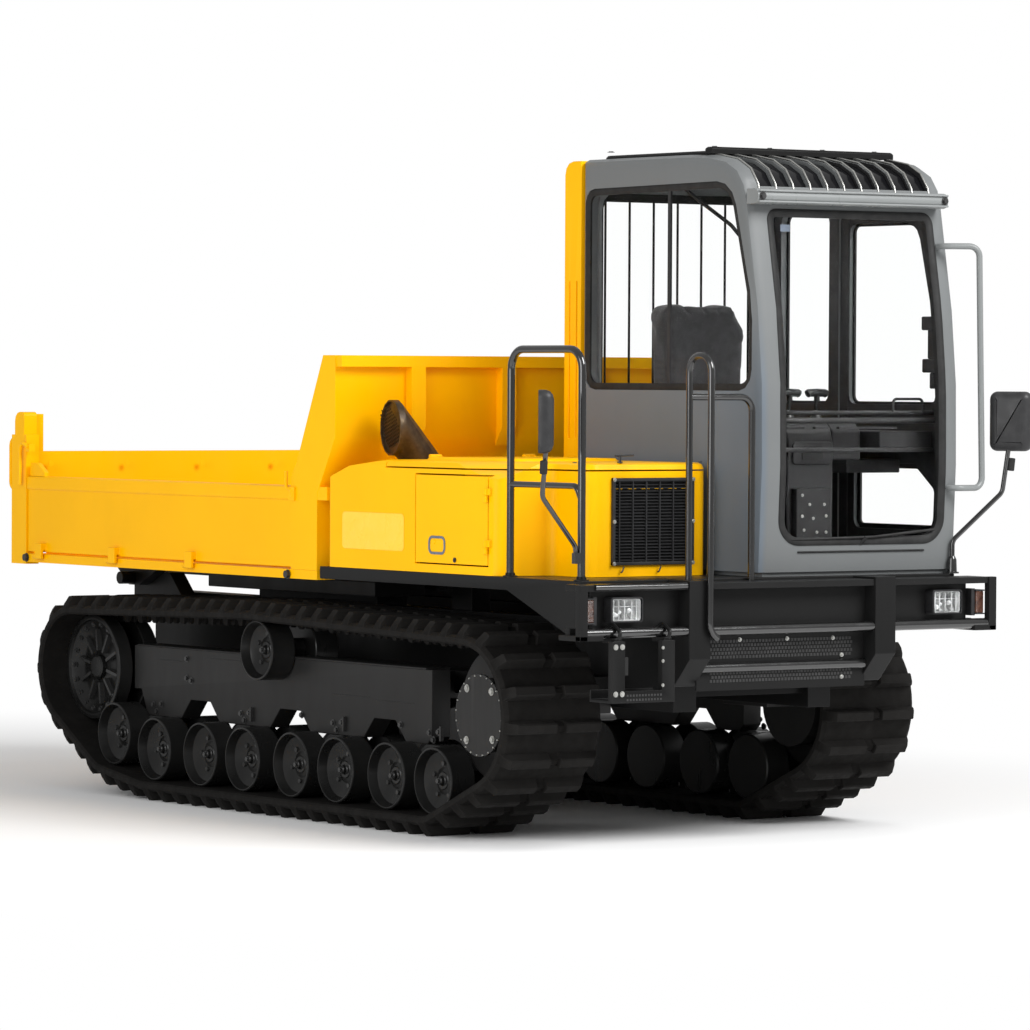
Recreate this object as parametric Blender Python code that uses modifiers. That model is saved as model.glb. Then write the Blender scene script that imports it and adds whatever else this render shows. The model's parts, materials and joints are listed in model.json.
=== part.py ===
"""Tracked dumper: a rubber-tracked carrier with a tipping bed, an offset cab and a side engine hood.

Metres, +Z up. The machine drives towards -Y, its left side (the cab) is +X and the ground is Z = 0.
Lengths along Y below are measured from the foot of the bed's headboard. The empty MACHINE carries
every piece and puts the middle of the machine's length on the origin.
"""
import math

import bmesh
import bpy
from mathutils import Matrix, Vector

# Clearances
GAP = 0.0005            # between pieces that touch
RUN = 0.006             # beside a piece that moves
SEAM = 0.010            # how far joined pieces run into each other
BEYOND = 0.1            # how far a cutter reaches past what it cuts
FLAT = math.radians(0.2)
ARC_STEP = math.radians(30)
ROUND = 16              # sides of a plain round
ROUGH = 12              # sides of a round that hardly shows

# Whole machine
MIDDLE_Y = 0.235        # middle of the machine's length, from the headboard's foot
BODY_HALF = 1.00        # bed, deck and hood end at this distance from the middle

# Rubber tracks
TRACK_GAUGE_HALF = 0.85
TRACK_WIDTH = 0.50
BELT = 0.042
LUG_HEIGHT = 0.045
LUG_COUNT = 66
LUG_ROOT = 0.062
LUG_TIP = 0.040
LUG_END_SLOPE = 0.032

# Wheels inside the tracks
SPROCKET_Y = -1.345
SPROCKET_Z = 0.533
SPROCKET_R = 0.300
SPROCKET_RIM = 0.09
WHEEL_SIDES = 16
COVER_OUT = 1.00
COVER_R = 0.177
COVER_EDGE = 0.012
DRUM_R = 0.19
DRUM_LENGTH = 0.37
IDLER_Y = 1.945
IDLER_Z = 0.585
IDLER_R = 0.252
IDLER_OUT = 0.965
IDLER_WIDTH = 0.23
IDLER_HUB_R = 0.10
IDLER_NUT_R = 0.055
IDLER_NUT_DEEP = 0.022
IDLER_DISH = 0.86       # share of the radius where the dish starts
ROLLER_R = 0.147
ROLLER_WIDTH = 0.36
ROLLER_TREAD = 0.125
ROLLER_AXLE_R = 0.058
ROLLER_SIDES = 12
ROLLER_DISH = 0.90      # share of the radius where the dish starts
ROLLER_LIP = 0.018
ROLLER_DISH_DEEP = 0.055
ROLLER_SPACING = 0.365
REAR_ROLLER_LIFT = 0.052
CARRIER_Y = 0.385
CARRIER_R = 0.138
CARRIER_TOP = 0.873
BEAM_END = 0.03
BEAM_RISE = 0.04
BEAM_HEAD = 0.05
BOGIE_Y = (1.456, 0.685, -0.087, -0.857)
WHEEL_PLAY = 0.004      # the idler's and the sprocket's rims stay this far off the belt

# Side frames of the tracks
SIDE_FRAME_OUT = 0.90
SIDE_FRAME_IN = 0.80
SIDE_FRAME_TOP = 0.70
SIDE_FRAME_FOOT = 0.375
SIDE_FRAME_FRONT = -0.84
SIDE_FRAME_REAR_FOOT = 0.495
FORK_HALF = 0.06
FORK_WALL = 0.04
ARM_HALF = 0.16
ARM_WALL = 0.12
TIE_HALF = 0.11
TIE_HIGH = 0.12
ARCH_TOP = 0.465
ARCH_HALF_FOOT = 0.168
ARCH_HALF_TOP = 0.085
TIE_Y = (1.05, -0.55)

# Main frame
RAIL_X = 0.36
RAIL_HALF = 0.06
RAIL_LOW = 0.56
RAIL_TOP = 0.93
RAIL_REAR = 2.27
RAIL_FRONT = -1.95
BRACKET_FRONT = 1.74
ENGINE_X = (-0.90, -0.32)
ENGINE_Y = (-1.10, -0.32)
ENGINE_TOP = 1.44
TANK_IN = 0.43
TANK_OUT = 0.70
TANK_LOW = 0.985
TANK_TOP = 1.052
TANK_REAR = 1.33
TANK_FOOT = (0.2, 1.2)

# Deck
DECK_TOP = 1.128
DECK_THICK = 0.055
DECK_REAR = -0.095
DECK_FRONT = -2.08
DECK_CORNER_LOW = 0.905
DECK_CORNER_REAR = -1.52
CORNER_WALL = 0.03
DECK_POSTS = (-1.75, -0.35)
DECK_POST_X = 0.05
DECK_POST_Y = 0.08

# Bed
BED_FLOOR_LOW = 1.066
BED_FLOOR_TOP = 1.111
BED_LINING = 0.004      # the inner floor sheet stands this much over the floor
LINING_MARGIN = 0.02     # from the walls round it
BED_FRONT = -0.070
BED_REAR = 2.52
BED_BEAM_X = 0.26
BED_BEAM_HALF = 0.03
BED_BEAM_LOW = 1.005
POST_DEPTH = 0.14
POST_WIDTH = 0.07
POST_TOP = 1.68
POST_HEAD_TOP = 1.79
LEVER_REACH = 0.064
LEVER_R = 0.012
LEVER_TOP = 1.655
LEVER_BEND = 0.03
LEVER_LOW = 1.42
BOARD_TOP = 1.481
BOARD_RAIL_LOW = 1.414
BOARD_WALL = 0.045
BOARD_SKIN_IN = 0.008
BOARD_FRONT = 0.150
BOARD_HINGES = 3
BOARD_HINGE_FIRST = 0.15   # from the bed's rear
BOARD_HINGE_PITCH = 0.291  # as a share of the board's length
BOARD_HINGE_OUT = 0.012
BOARD_HINGE_Z = 1.095
BOARD_BARREL_R = 0.010
BARREL_LONG = 0.025
BARREL_SHIFT = 0.043
STRAP_HALF = 0.03
STRAP_BEND = 1.125
STRAP_TOP = 1.16
LATCH_PLATE_TOP = 1.545
GATE_WALL = 0.045
GATE_IN = 0.04
GATE_PIN_IN = 0.060
GATE_TOP = 1.60
GATE_PIN_R = 0.016
GATE_PIN_DROP = 0.05
HEAD_TOP = 2.064
HEAD_Y = -0.215
HEAD_WALL = 0.045
HEAD_FLANGE = 0.051
HEAD_KNEE = 1.70
HEAD_FOOT = 1.45
HEAD_RIB_REACH = 0.045
HEAD_RIB_LOW = 1.66
HEAD_RIB_HALF = 0.038
HEAD_RIB_X = (-0.585, -0.095, 0.395, 0.80)
WING_WALL = 0.08
STRAP_BLOCK = 0.078     # how far the strap block reaches towards the hood
STRAP_BLOCK_Z = (1.42, 1.48)
WING_TOP_Y = -0.115
WING_LOW_Y = 0.098
WING_LOW_Z = 1.587

# Tipping gear
TIP_Y = 2.18
TIP_Z = 0.995
TIP_PIN_R = 0.030
TIP_PIN_END = 0.677
BRACKET_IN = 0.46
BRACKET_OUT = 0.54
EAR_OUT = 0.60
HOIST_FOOT_Y = 0.75
HOIST_FOOT_Z = 0.680
HOIST_EYE_Y = 1.86
HOIST_EYE_Z = 0.985
HOIST_PIN_R = 0.022
HOIST_BOSS_R = 0.045
HOIST_LUG_IN = 0.070
HOIST_LUG_OUT = 0.100
BARREL_R = 0.062
BARREL_HEAD = 0.10      # from the barrel's head to the rod's eye, at rest
ROD_R = 0.038
ROD_START = 0.18
EYE_R = 0.05
EYE_HALF = 0.0475

# Engine hood
HOOD_IN = 0.095
HOOD_REAR = -0.155
HOOD_FRONT = -1.76
HOOD_TOP = 1.610
HOOD_SLOPE_LOW = 1.521
HOOD_SLOPE_Y = -0.33
HOOD_SLOPE_TOP = 1.578
HOOD_SLOPE = ((-1.0, -1.12, 1.61), (-1.0, -1.46, 1.53), (-0.80, -1.46, 1.61))
WELL_CORNER = 0.30
WELL_LOW = 1.40
NOSE_OUT = 0.735
NOSE_STEP_Y = -1.46
NOSE_STEP_WIDE = 0.05
HOOD_WALL = 0.03
HOOD_ROUND = 0.025
LID_REAR = -0.62
LID_LOW = 1.575
LID_SKIN = 0.02
LID_HINGE_UP = 0.012
LID_BULGE = ((-0.88, -0.72, 0.05), (-0.22, -0.72, 0.05), (-0.22, -1.30, 0.05), (-0.80, -1.30, 0.12))
LID_BULGE_UP = 0.012
LID_HINGE_X = (-0.74, -0.24)
SIDE_DOOR_REAR = -0.852
SIDE_DOOR_FRONT = -1.41
SIDE_DOOR_LOW = 1.165
SIDE_DOOR_TOP = 1.555
SIDE_HINGE_OUT = 0.011
SIDE_HINGE_Z = (1.25, 1.47)
SIDE_DOOR_PIVOT_Z = 1.35
LATCH_Y = -1.023
LATCH_Z = 1.248
LATCH_HALF = 0.036
GRILLE_OUT = -0.610
GRILLE_IN = -0.185
GRILLE_LOW = 1.18
GRILLE_TOP = 1.545
GRILLE_BORDER = 0.018
SLATS = 8
SLAT_THICK = 0.008
MULLIONS = 2
MULLION_THICK = 0.005
EXHAUST_MOUTH = (-0.82, -0.385, 1.745)
EXHAUST_R = 0.125

# Cab
CAB_RIGHT = -0.05
CAB_LEFT = 1.04
CAB_REAR = -0.745
CAB_FRONT = -2.066      # the foremost point of its curved front
CAB_FLOOR = 1.147
CAB_ROOF = 2.935
CAB_WALL = 0.05
CAB_CURVE = (
    # setback from the foremost point, height
    (0.021, CAB_FLOOR), (0.000, 1.60), (0.004, 1.95), (0.036, 2.27), (0.081, 2.52), (0.118, 2.72),
    (0.141, 2.80), (0.191, 2.865), (0.276, 2.908), (0.406, 2.930), (0.566, CAB_ROOF),
)
CAB_ROUND = 0.045
FOOT_IN = 0.035         # the cab's foot stands in from its walls
PANE = 0.006
PANE_IN = 0.018
WINDOW_RIGHT = (
    # y, z, corner radius
    (-0.775, 1.918, 0.08), (-0.775, 2.803, 0.07), (-1.850, 2.815, 0.14), (-1.994, 2.28, 0.50),
    (-1.994, 1.918, 0.09),
)
WINDOW_LEFT = ((-0.85, 1.86, 0.05), (-0.85, 2.72, 0.05), (-1.20, 2.72, 0.05), (-1.20, 1.86, 0.05))
WINDOW_REAR = ((0.03, 1.62, 0.07), (0.03, 2.79, 0.07), (0.96, 2.79, 0.07), (0.96, 1.62, 0.07))
SCREEN_DEEP = 0.24      # the windscreen's opening is cut to here, behind the foremost point
WINDSCREEN = ((0.055, 1.262, 0.11), (0.055, 2.692, 0.05), (0.955, 2.692, 0.05), (0.955, 1.262, 0.11))
DOOR_REAR = -1.27
DOOR_SILL = 1.177
DOORWAY = (
    (DOOR_REAR, DOOR_SILL, 0.03), (DOOR_REAR, 2.72, 0.05), (-1.84, 2.72, 0.12), (-1.965, 2.25, 0.45),
    (-1.985, DOOR_SILL, 0.04),
)
DOOR_THICK = 0.035
DOOR_WINDOW = (
    (-1.33, 1.86, 0.04), (-1.33, 2.66, 0.04), (-1.80, 2.66, 0.10), (-1.92, 2.20, 0.40),
    (-1.935, 1.86, 0.04),
)
DOOR_WINDOW_LOW = (
    (-1.37, 1.31, 0.04), (-1.37, 1.60, 0.02), (-1.80, 1.60, 0.04), (-1.93, 1.50, 0.06), (-1.93, 1.31, 0.02),
)
DOOR_HINGE_OUT = 0.013
DOOR_HINGE_Z = (1.42, 2.48)
DOOR_PIVOT_Z = 1.90
SKYLIGHT_RIGHT = 0.03
SKYLIGHT_LEFT = 0.96
SKYLIGHT_LOW = 2.79
SKYLIGHT_REAR = -1.62
SKYLIGHT_RIBS = 9
RIB_WIDE = 0.012
RIB_IN = 0.004
ROOF_HUMP = ((0.02, -0.80, 0.05), (0.97, -0.80, 0.05), (0.97, -1.62, 0.02), (0.02, -1.62, 0.02))
ROOF_HUMP_TOP = 2.952
ROOF_RAIL_TOP = 2.967
VISOR_FRONT = -2.035
VISOR_REAR = -1.950
VISOR_LOW = 2.712
VISOR_TOP = 2.778
VISOR_OUT = 0.99
PILLAR_DEPTH = 0.125
PILLAR_THICK = 0.07
PILLAR_SLOTS = (0.030, 0.082)
SLOT_WIDE = 0.008
SLOT_DEEP = 0.012
SLOT_Z = (1.70, 2.40)
GUARD_LOW = 1.58
GUARD_TOP = 2.77
GRAB_X = 0.975
GRAB_OUT = 1.14
GRAB_Y = -2.10
GRAB_Z = (1.50, 2.55)
GRAB_R = 0.014
GUARD_BARS = 7
GUARD_FIRST_X = 0.10
GUARD_PITCH = 0.1335
GUARD_BAR = 0.009

# Seat and controls
SEAT_X = 0.49
SEAT_HALF = 0.25
SEAT_STAND = 0.21
SEAT_Z = 1.60
SEAT_THICK = 0.13
SEAT_FRONT = -1.42
SEAT_REAR = -0.93
SEAT_BACK_THICK = 0.11
SEAT_BACK = (
    (0.27, 1.66, 0.05), (0.24, 2.33, 0.07), (0.68, 2.33, 0.06), (0.76, 2.20, 0.05), (0.73, 1.66, 0.05),
)
CONSOLE_FRONT = -1.86
CONSOLE_REAR = -1.70
CONSOLE_TOP = 1.79
CONSOLE_BESIDE = (0.08, 0.18)   # how far it reaches past the outer levers
LEVER_X = (0.33, 0.48)
LEVER_Y = -1.76
CONTROL_R = 0.012
GRIP_Z = 1.905
GRIP_HALF = 0.05
GRIP_R = 0.018

# Front
BUMPER_Y = -2.235
BUMPER_HALF = 1.11
BUMPER_LOW = 0.887
BUMPER_TOP = 1.118
BUMPER_BAR = 0.035
BUMPER_THICK = 0.028
UPRIGHT_IN = 0.44
UPRIGHT_OUT = 0.55
UPRIGHT_LOW = 0.68
UPRIGHT_KNEE = 0.80
UPRIGHT_PROUD = 0.010
LAMP_PLATE_OUT = 0.985
LAMP_PLATE_Y = -2.16
LAMP_X = 0.853
LAMP_Z = 1.015
LAMP_HALF = (0.08, 0.053)
LAMP_DEPTH = 0.05
UPPER_BAR_Z = 0.917
LOWER_BAR_Z = 0.757
BAR_R = 0.022
SKIRT_TOP = 0.90
SKIRT_LOW = 0.66
STEP_HANGER_X = (-0.935, -0.68)
STEP_HANGER_HALF = 0.033
STEP_RIM = 0.05
STEP_PAN = 0.012
STEP_LOW = 0.63
STEP_TOP = 0.885
STEP_WALL = 0.03
STEP_DEEP = 0.16
RAIL_R = 0.0175
CORNER_RAIL_X = -0.97
CORNER_RAIL_Y = (-1.53, -2.045)
CORNER_RAIL_TOP = 2.09
CORNER_RAIL_MIDDLE = 1.52
CENTRE_RAIL_X = (-0.457, -0.127)
CENTRE_RAIL_Y = (-2.10, -2.252)
CENTRE_RAIL_TOP = 2.065
CENTRE_RAIL_MIDDLE = 1.892
CENTRE_RAIL_END = 0.892
CENTRE_RAIL_R = 0.0145
MIRROR_FOOT_X = 0.9989
MIRROR_FOOT_Y = (-2.045, -2.066)
MIRROR_CLAMP_Z = 1.20
MIRROR_ARM_R = 0.011
MIRROR_ARM_Z = (1.27, 1.48)
MIRROR_X = 1.24
MIRROR_Y = -2.165
MIRROR_LOW = 1.66
MIRROR_TOP = 1.92
MIRROR_WIDE = 0.185
MIRROR_THICK = 0.08
MIRROR_YAW_DEG = 35.0

YELLOW = (1.0, 0.53, 0.0)
CAB_GREY = (0.26, 0.275, 0.27)
FRAME_BLACK = (0.02, 0.02, 0.02)
RUBBER = (0.028, 0.027, 0.025)
STEEL = (0.35, 0.35, 0.35)
GLASS = (0.75, 0.80, 0.80)
LAMP = (0.85, 0.86, 0.88)
SEAT_BLACK = (0.03, 0.03, 0.032)


def clear_scene():
    """Remove the objects that a new file starts with."""
    for obj in list(bpy.data.objects):
        bpy.data.objects.remove(obj, do_unlink=True)


def new_collection(name):
    """A collection linked to the scene."""
    collection = bpy.data.collections.new(name)
    bpy.context.scene.collection.children.link(collection)
    return collection


def paint(name, colour, roughness=0.45, metallic=0.0, alpha=1.0):
    """A Principled material."""
    material = bpy.data.materials.new(name)
    material.use_nodes = True
    shader = material.node_tree.nodes["Principled BSDF"]
    shader.inputs["Base Color"].default_value = (*colour, 1.0)
    shader.inputs["Roughness"].default_value = roughness
    shader.inputs["Metallic"].default_value = metallic
    shader.inputs["Alpha"].default_value = alpha
    return material


def mesh_object(name, bm):
    """Turn a bmesh into an object of the working collection."""
    bmesh.ops.recalc_face_normals(bm, faces=bm.faces)
    mesh = bpy.data.meshes.new(name)
    bm.to_mesh(mesh)
    bm.free()
    obj = bpy.data.objects.new(name, mesh)
    CUTTERS.objects.link(obj)
    obj.hide_render = True
    obj.display_type = "WIRE"
    return obj


def box(x, y, z):
    """A block between the low and high value of each axis."""
    bm = bmesh.new()
    size = Vector((abs(x[1] - x[0]), abs(y[1] - y[0]), abs(z[1] - z[0])))
    centre = Vector(((x[0] + x[1]) / 2, (y[0] + y[1]) / 2, (z[0] + z[1]) / 2))
    bmesh.ops.create_cube(bm, size=1.0, matrix=Matrix.Translation(centre) @ Matrix.Diagonal((*size, 1.0)))
    return mesh_object("block", bm)


AXES = {
    # plane: (direction of the outline's first value, of its second value, of the extrusion)
    "yz": (Vector((0, 1, 0)), Vector((0, 0, 1)), Vector((1, 0, 0))),
    "xz": (Vector((1, 0, 0)), Vector((0, 0, 1)), Vector((0, 1, 0))),
    "xy": (Vector((1, 0, 0)), Vector((0, 1, 0)), Vector((0, 0, 1))),
}


def curve_mesh(curve, matrix):
    """Make a curve a closed mesh: its caps are welded and its faces point out."""
    helper = bpy.data.objects.new("outline", curve)
    bpy.context.scene.collection.objects.link(helper)
    helper.matrix_world = matrix
    graph = bpy.context.evaluated_depsgraph_get()
    mesh = bpy.data.meshes.new_from_object(helper.evaluated_get(graph))
    mesh.transform(matrix)
    bpy.data.objects.remove(helper, do_unlink=True)
    bm = bmesh.new()
    bm.from_mesh(mesh)
    bmesh.ops.remove_doubles(bm, verts=bm.verts, dist=0.00005)
    return mesh_object("piece", bm)


def plate(plane, outline, low, high):
    """A flat outline, drawn in a plane, extruded between two places across that plane."""
    first, second, across = AXES[plane]
    curve = bpy.data.curves.new("outline", "CURVE")
    curve.dimensions = "2D"
    curve.fill_mode = "BOTH"
    curve.extrude = abs(high - low) / 2
    spline = curve.splines.new("POLY")
    spline.points.add(len(outline) - 1)
    for point, (u, v) in zip(spline.points, outline):
        point.co = (u, v, 0, 1)
    spline.use_cyclic_u = True
    turn = Matrix((first, second, across)).transposed().to_4x4()
    return curve_mesh(curve, Matrix.Translation(across * (low + high) / 2) @ turn)


def tube(points, radius, sides=6):
    """A round bar along straight runs with mitred corners."""
    curve = bpy.data.curves.new("bar", "CURVE")
    curve.dimensions = "3D"
    curve.bevel_depth = radius
    curve.bevel_resolution = max(0, sides // 2 - 2)
    curve.use_fill_caps = True
    spline = curve.splines.new("POLY")
    spline.points.add(len(points) - 1)
    for point, place in zip(spline.points, points):
        point.co = (*place, 1)
    return curve_mesh(curve, Matrix.Identity(4))


def bend(corners, radius, steps=3):
    """Points of a bar through the corners, each inner corner rounded by an arc."""
    points = [Vector(corners[0])]
    for before, corner, after in zip(corners, corners[1:], corners[2:]):
        corner = Vector(corner)
        back = (Vector(before) - corner).normalized()
        ahead = (Vector(after) - corner).normalized()
        half = back.angle(ahead) / 2
        setback = radius / math.tan(half)
        centre = corner + (back + ahead).normalized() * radius / math.sin(half)
        start = corner + back * setback - centre
        turn_axis = start.cross(corner + ahead * setback - centre).normalized()
        sweep = math.pi - 2 * half
        for step in range(steps + 1):
            points.append(centre + Matrix.Rotation(sweep * step / steps, 3, turn_axis) @ start)
    points.append(Vector(corners[-1]))
    return points


def disc(axis, centre, radius, length, sides=ROUND):
    """A cylinder centred on a point and lying along an axis."""
    bm = bmesh.new()
    bmesh.ops.create_cone(bm, cap_ends=True, segments=sides, radius1=radius, radius2=radius, depth=length)
    turn = Vector((0, 0, 1)).rotation_difference(Vector(axis)).to_matrix().to_4x4()
    bmesh.ops.transform(bm, matrix=Matrix.Translation(Vector(centre)) @ turn, verts=bm.verts)
    return mesh_object("round", bm)


def turned(profile, centre, direction, sides=ROUND):
    """A profile of (distance along the axle, radius) turned about an X axle by a Screw modifier."""
    bm = bmesh.new()
    points = [bm.verts.new((radius, 0, along)) for along, radius in profile]
    for start, end in zip(points, points[1:]):
        bm.edges.new((start, end))
    mesh = bpy.data.meshes.new("profile")
    bm.to_mesh(mesh)
    bm.free()
    helper = bpy.data.objects.new("profile", mesh)
    bpy.context.scene.collection.objects.link(helper)
    screw = helper.modifiers.new("turn", "SCREW")
    screw.steps = sides
    screw.render_steps = sides
    screw.use_merge_vertices = True
    screw.merge_threshold = 0.0001
    graph = bpy.context.evaluated_depsgraph_get()
    solid = bpy.data.meshes.new_from_object(helper.evaluated_get(graph))
    bpy.data.objects.remove(helper, do_unlink=True)
    bm = bmesh.new()
    bm.from_mesh(solid)
    bmesh.ops.remove_doubles(bm, verts=bm.verts, dist=0.0001)
    turn = Vector((0, 0, 1)).rotation_difference(Vector((direction, 0, 0))).to_matrix().to_4x4()
    bmesh.ops.transform(bm, matrix=Matrix.Translation(Vector(centre)) @ turn, verts=bm.verts)
    return mesh_object("turned", bm)


def combine(base, others, operation):
    """Apply Boolean modifiers of one kind to a base solid and remove the others."""
    for other in others:
        modifier = base.modifiers.new(operation.lower(), "BOOLEAN")
        modifier.operation = operation
        modifier.solver = "EXACT"
        modifier.object = other
    graph = bpy.context.evaluated_depsgraph_get()
    mesh = bpy.data.meshes.new_from_object(base.evaluated_get(graph))
    base.modifiers.clear()
    base.data = mesh
    for other in others:
        bpy.data.objects.remove(other, do_unlink=True)
    return base


def join(base, *others):
    """One solid from pieces that overlap."""
    return combine(base, others, "UNION")


def cut(base, *others):
    """A solid less its cutters."""
    return combine(base, others, "DIFFERENCE")


def rounded(corners):
    """An outline from corners of (u, v, radius), each rounded by an arc; a radius of 0 stays sharp."""
    points = []
    for index, (u, v, radius) in enumerate(corners):
        corner = Vector((u, v))
        if radius == 0:
            points.append(corner)
            continue
        back = (Vector(corners[index - 1][:2]) - corner).normalized()
        ahead = (Vector(corners[(index + 1) % len(corners)][:2]) - corner).normalized()
        half = back.angle(ahead) / 2
        setback = radius / math.tan(half)
        centre = corner + (back + ahead).normalized() * radius / math.sin(half)
        first = corner + back * setback - centre
        last = corner + ahead * setback - centre
        start = math.atan2(first.y, first.x)
        sweep = (math.atan2(last.y, last.x) - start + math.pi) % (2 * math.pi) - math.pi
        parts = max(1, round(abs(sweep) / ARC_STEP))
        for step in range(parts + 1):
            angle = start + sweep * step / parts
            points.append(centre + Vector((math.cos(angle), math.sin(angle))) * radius)
    return points


def inset(outline, distance):
    """An outline drawn in by a distance along its edges' normals."""
    points = [Vector(point[:2]) for point in outline]
    following = points[1:] + points[:1]
    area = sum(near.x * far.y - far.x * near.y for near, far in zip(points, following))
    inward = math.copysign(1.0, area)
    moved = []
    for index, point in enumerate(points):
        before = (point - points[index - 1]).normalized()
        after = (following[index] - point).normalized()
        normals = (Vector((-before.y, before.x)) + Vector((-after.y, after.x))) * inward
        moved.append(point + normals * distance / (1 + before.dot(after)))
    return moved


def span(side, near, far):
    """The low and high X of a piece between two distances from the middle, on one side."""
    return tuple(sorted((side * near, side * far)))


def softened(obj, chosen, width, segments=2):
    """Round the edges that a test picks, after the flat faces are made whole."""
    bm = bmesh.new()
    bm.from_mesh(obj.data)
    bmesh.ops.dissolve_limit(bm, angle_limit=FLAT, verts=bm.verts, edges=bm.edges)
    edges = [edge for edge in bm.edges if chosen(*(vert.co for vert in edge.verts))]
    bmesh.ops.bevel(
        bm, geom=edges, offset=width, offset_type="OFFSET", segments=segments, profile=0.5, affect="EDGES",
        clamp_overlap=True,
    )
    bm.to_mesh(obj.data)
    bm.free()
    return obj


def blocks(spans):
    """Several blocks that stay clear of each other, as one cutter or one set of bars."""
    bm = bmesh.new()
    for x, y, z in spans:
        size = Vector((x[1] - x[0], y[1] - y[0], z[1] - z[0]))
        middle = Vector((x[0] + x[1], y[0] + y[1], z[0] + z[1])) / 2
        bmesh.ops.create_cube(bm, size=1.0, matrix=Matrix.Translation(middle) @ Matrix.Diagonal((*size, 1.0)))
    return mesh_object("blocks", bm)


def common(base, other):
    """What two solids share."""
    return combine(base, (other,), "INTERSECT")


def node(name, obj, material, parent=None):
    """Name a finished solid, give it its material and its parent."""
    obj.name = name
    obj.data.name = name
    obj.data.materials.clear()
    obj.data.materials.append(material)
    obj.data.shade_smooth()
    obj.data.set_sharp_from_angle(angle=math.radians(32))
    CUTTERS.objects.unlink(obj)
    DUMPER.objects.link(obj)
    obj.hide_render = False
    obj.display_type = "TEXTURED"
    carrier = parent or MACHINE
    obj.parent = carrier
    if parent is not None:
        obj.data.transform(Matrix.Translation(-Vector(parent.location)))
    return obj


def pivot(name, place, parent=None):
    """An empty on a joint's axis, which its moving pieces hang on."""
    empty = bpy.data.objects.new(name, None)
    DUMPER.objects.link(empty)
    empty.location = place
    empty.parent = parent or MACHINE
    return empty


# Tracks
def tangent(first, second):
    """Where the outer line over two circles (y, z, radius) touches each; the loop runs clockwise."""
    (y1, z1, r1), (y2, z2, r2) = first, second
    step = Vector((y2 - y1, z2 - z1))
    lean = math.acos((r1 - r2) / step.length)
    angle = math.atan2(step.y, step.x) + lean
    out = Vector((math.cos(angle), math.sin(angle)))
    return Vector((y1, z1)) + out * r1, Vector((y2, z2)) + out * r2, angle


def belt_path():
    """The belt's inner line over its wheels, as arcs and straight runs; the last value is the length."""
    roller_z = BELT + LUG_HEIGHT + ROLLER_R
    wheels = [
        (SPROCKET_Y, SPROCKET_Z, SPROCKET_R),
        (CARRIER_Y, CARRIER_TOP - CARRIER_R, CARRIER_R),
        (IDLER_Y, IDLER_Z, IDLER_R),
        (BOGIE_Y[0] + ROLLER_SPACING / 2, roller_z + REAR_ROLLER_LIFT, ROLLER_R),
        (BOGIE_Y[0] - ROLLER_SPACING / 2, roller_z, ROLLER_R),
        (BOGIE_Y[-1] - ROLLER_SPACING / 2, roller_z, ROLLER_R),
    ]
    touches = [tangent(a, b) for a, b in zip(wheels, wheels[1:] + wheels[:1])]
    pieces = []
    for index, (start, end, angle) in enumerate(touches):
        y, z, radius = wheels[index]
        arrive = touches[index - 1][2]
        sweep = (arrive - angle) % (2 * math.pi)
        pieces.append(("arc", Vector((y, z)), radius, arrive, sweep, radius * sweep))
        pieces.append(("line", start, end, angle, None, (end - start).length))
    return pieces


def on_path(pieces, length):
    """Point and outward normal of the belt's inner line at a length along it."""
    length %= sum(piece[-1] for piece in pieces)
    for piece in pieces:
        if length <= piece[-1]:
            break
        length -= piece[-1]
    if piece[0] == "arc":
        _, centre, radius, arrive, sweep, run = piece
        angle = arrive - (sweep * length / run if run else 0)
        out = Vector((math.cos(angle), math.sin(angle)))
        return centre + out * radius, out
    _, start, end, angle, _, run = piece
    out = Vector((math.cos(angle), math.sin(angle)))
    return start.lerp(end, length / run), out


def inner_corners(pieces, step=math.radians(12)):
    """Corners of the belt's inner face, whose flats touch the wheels: (length along the path, point)."""
    corners = []
    along = 0.0
    for piece in pieces:
        if piece[0] == "arc":
            _, centre, radius, arrive, sweep, run = piece
            count = max(1, math.ceil(sweep / step))
            part = sweep / count
            for index in range(count):
                angle = arrive - part * (index + 0.5)
                reach = radius / math.cos(part / 2)
                point = centre + Vector((math.cos(angle), math.sin(angle))) * reach
                corners.append((along + run * (index + 0.5) / count, point))
        along += piece[-1]
    return corners


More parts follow.
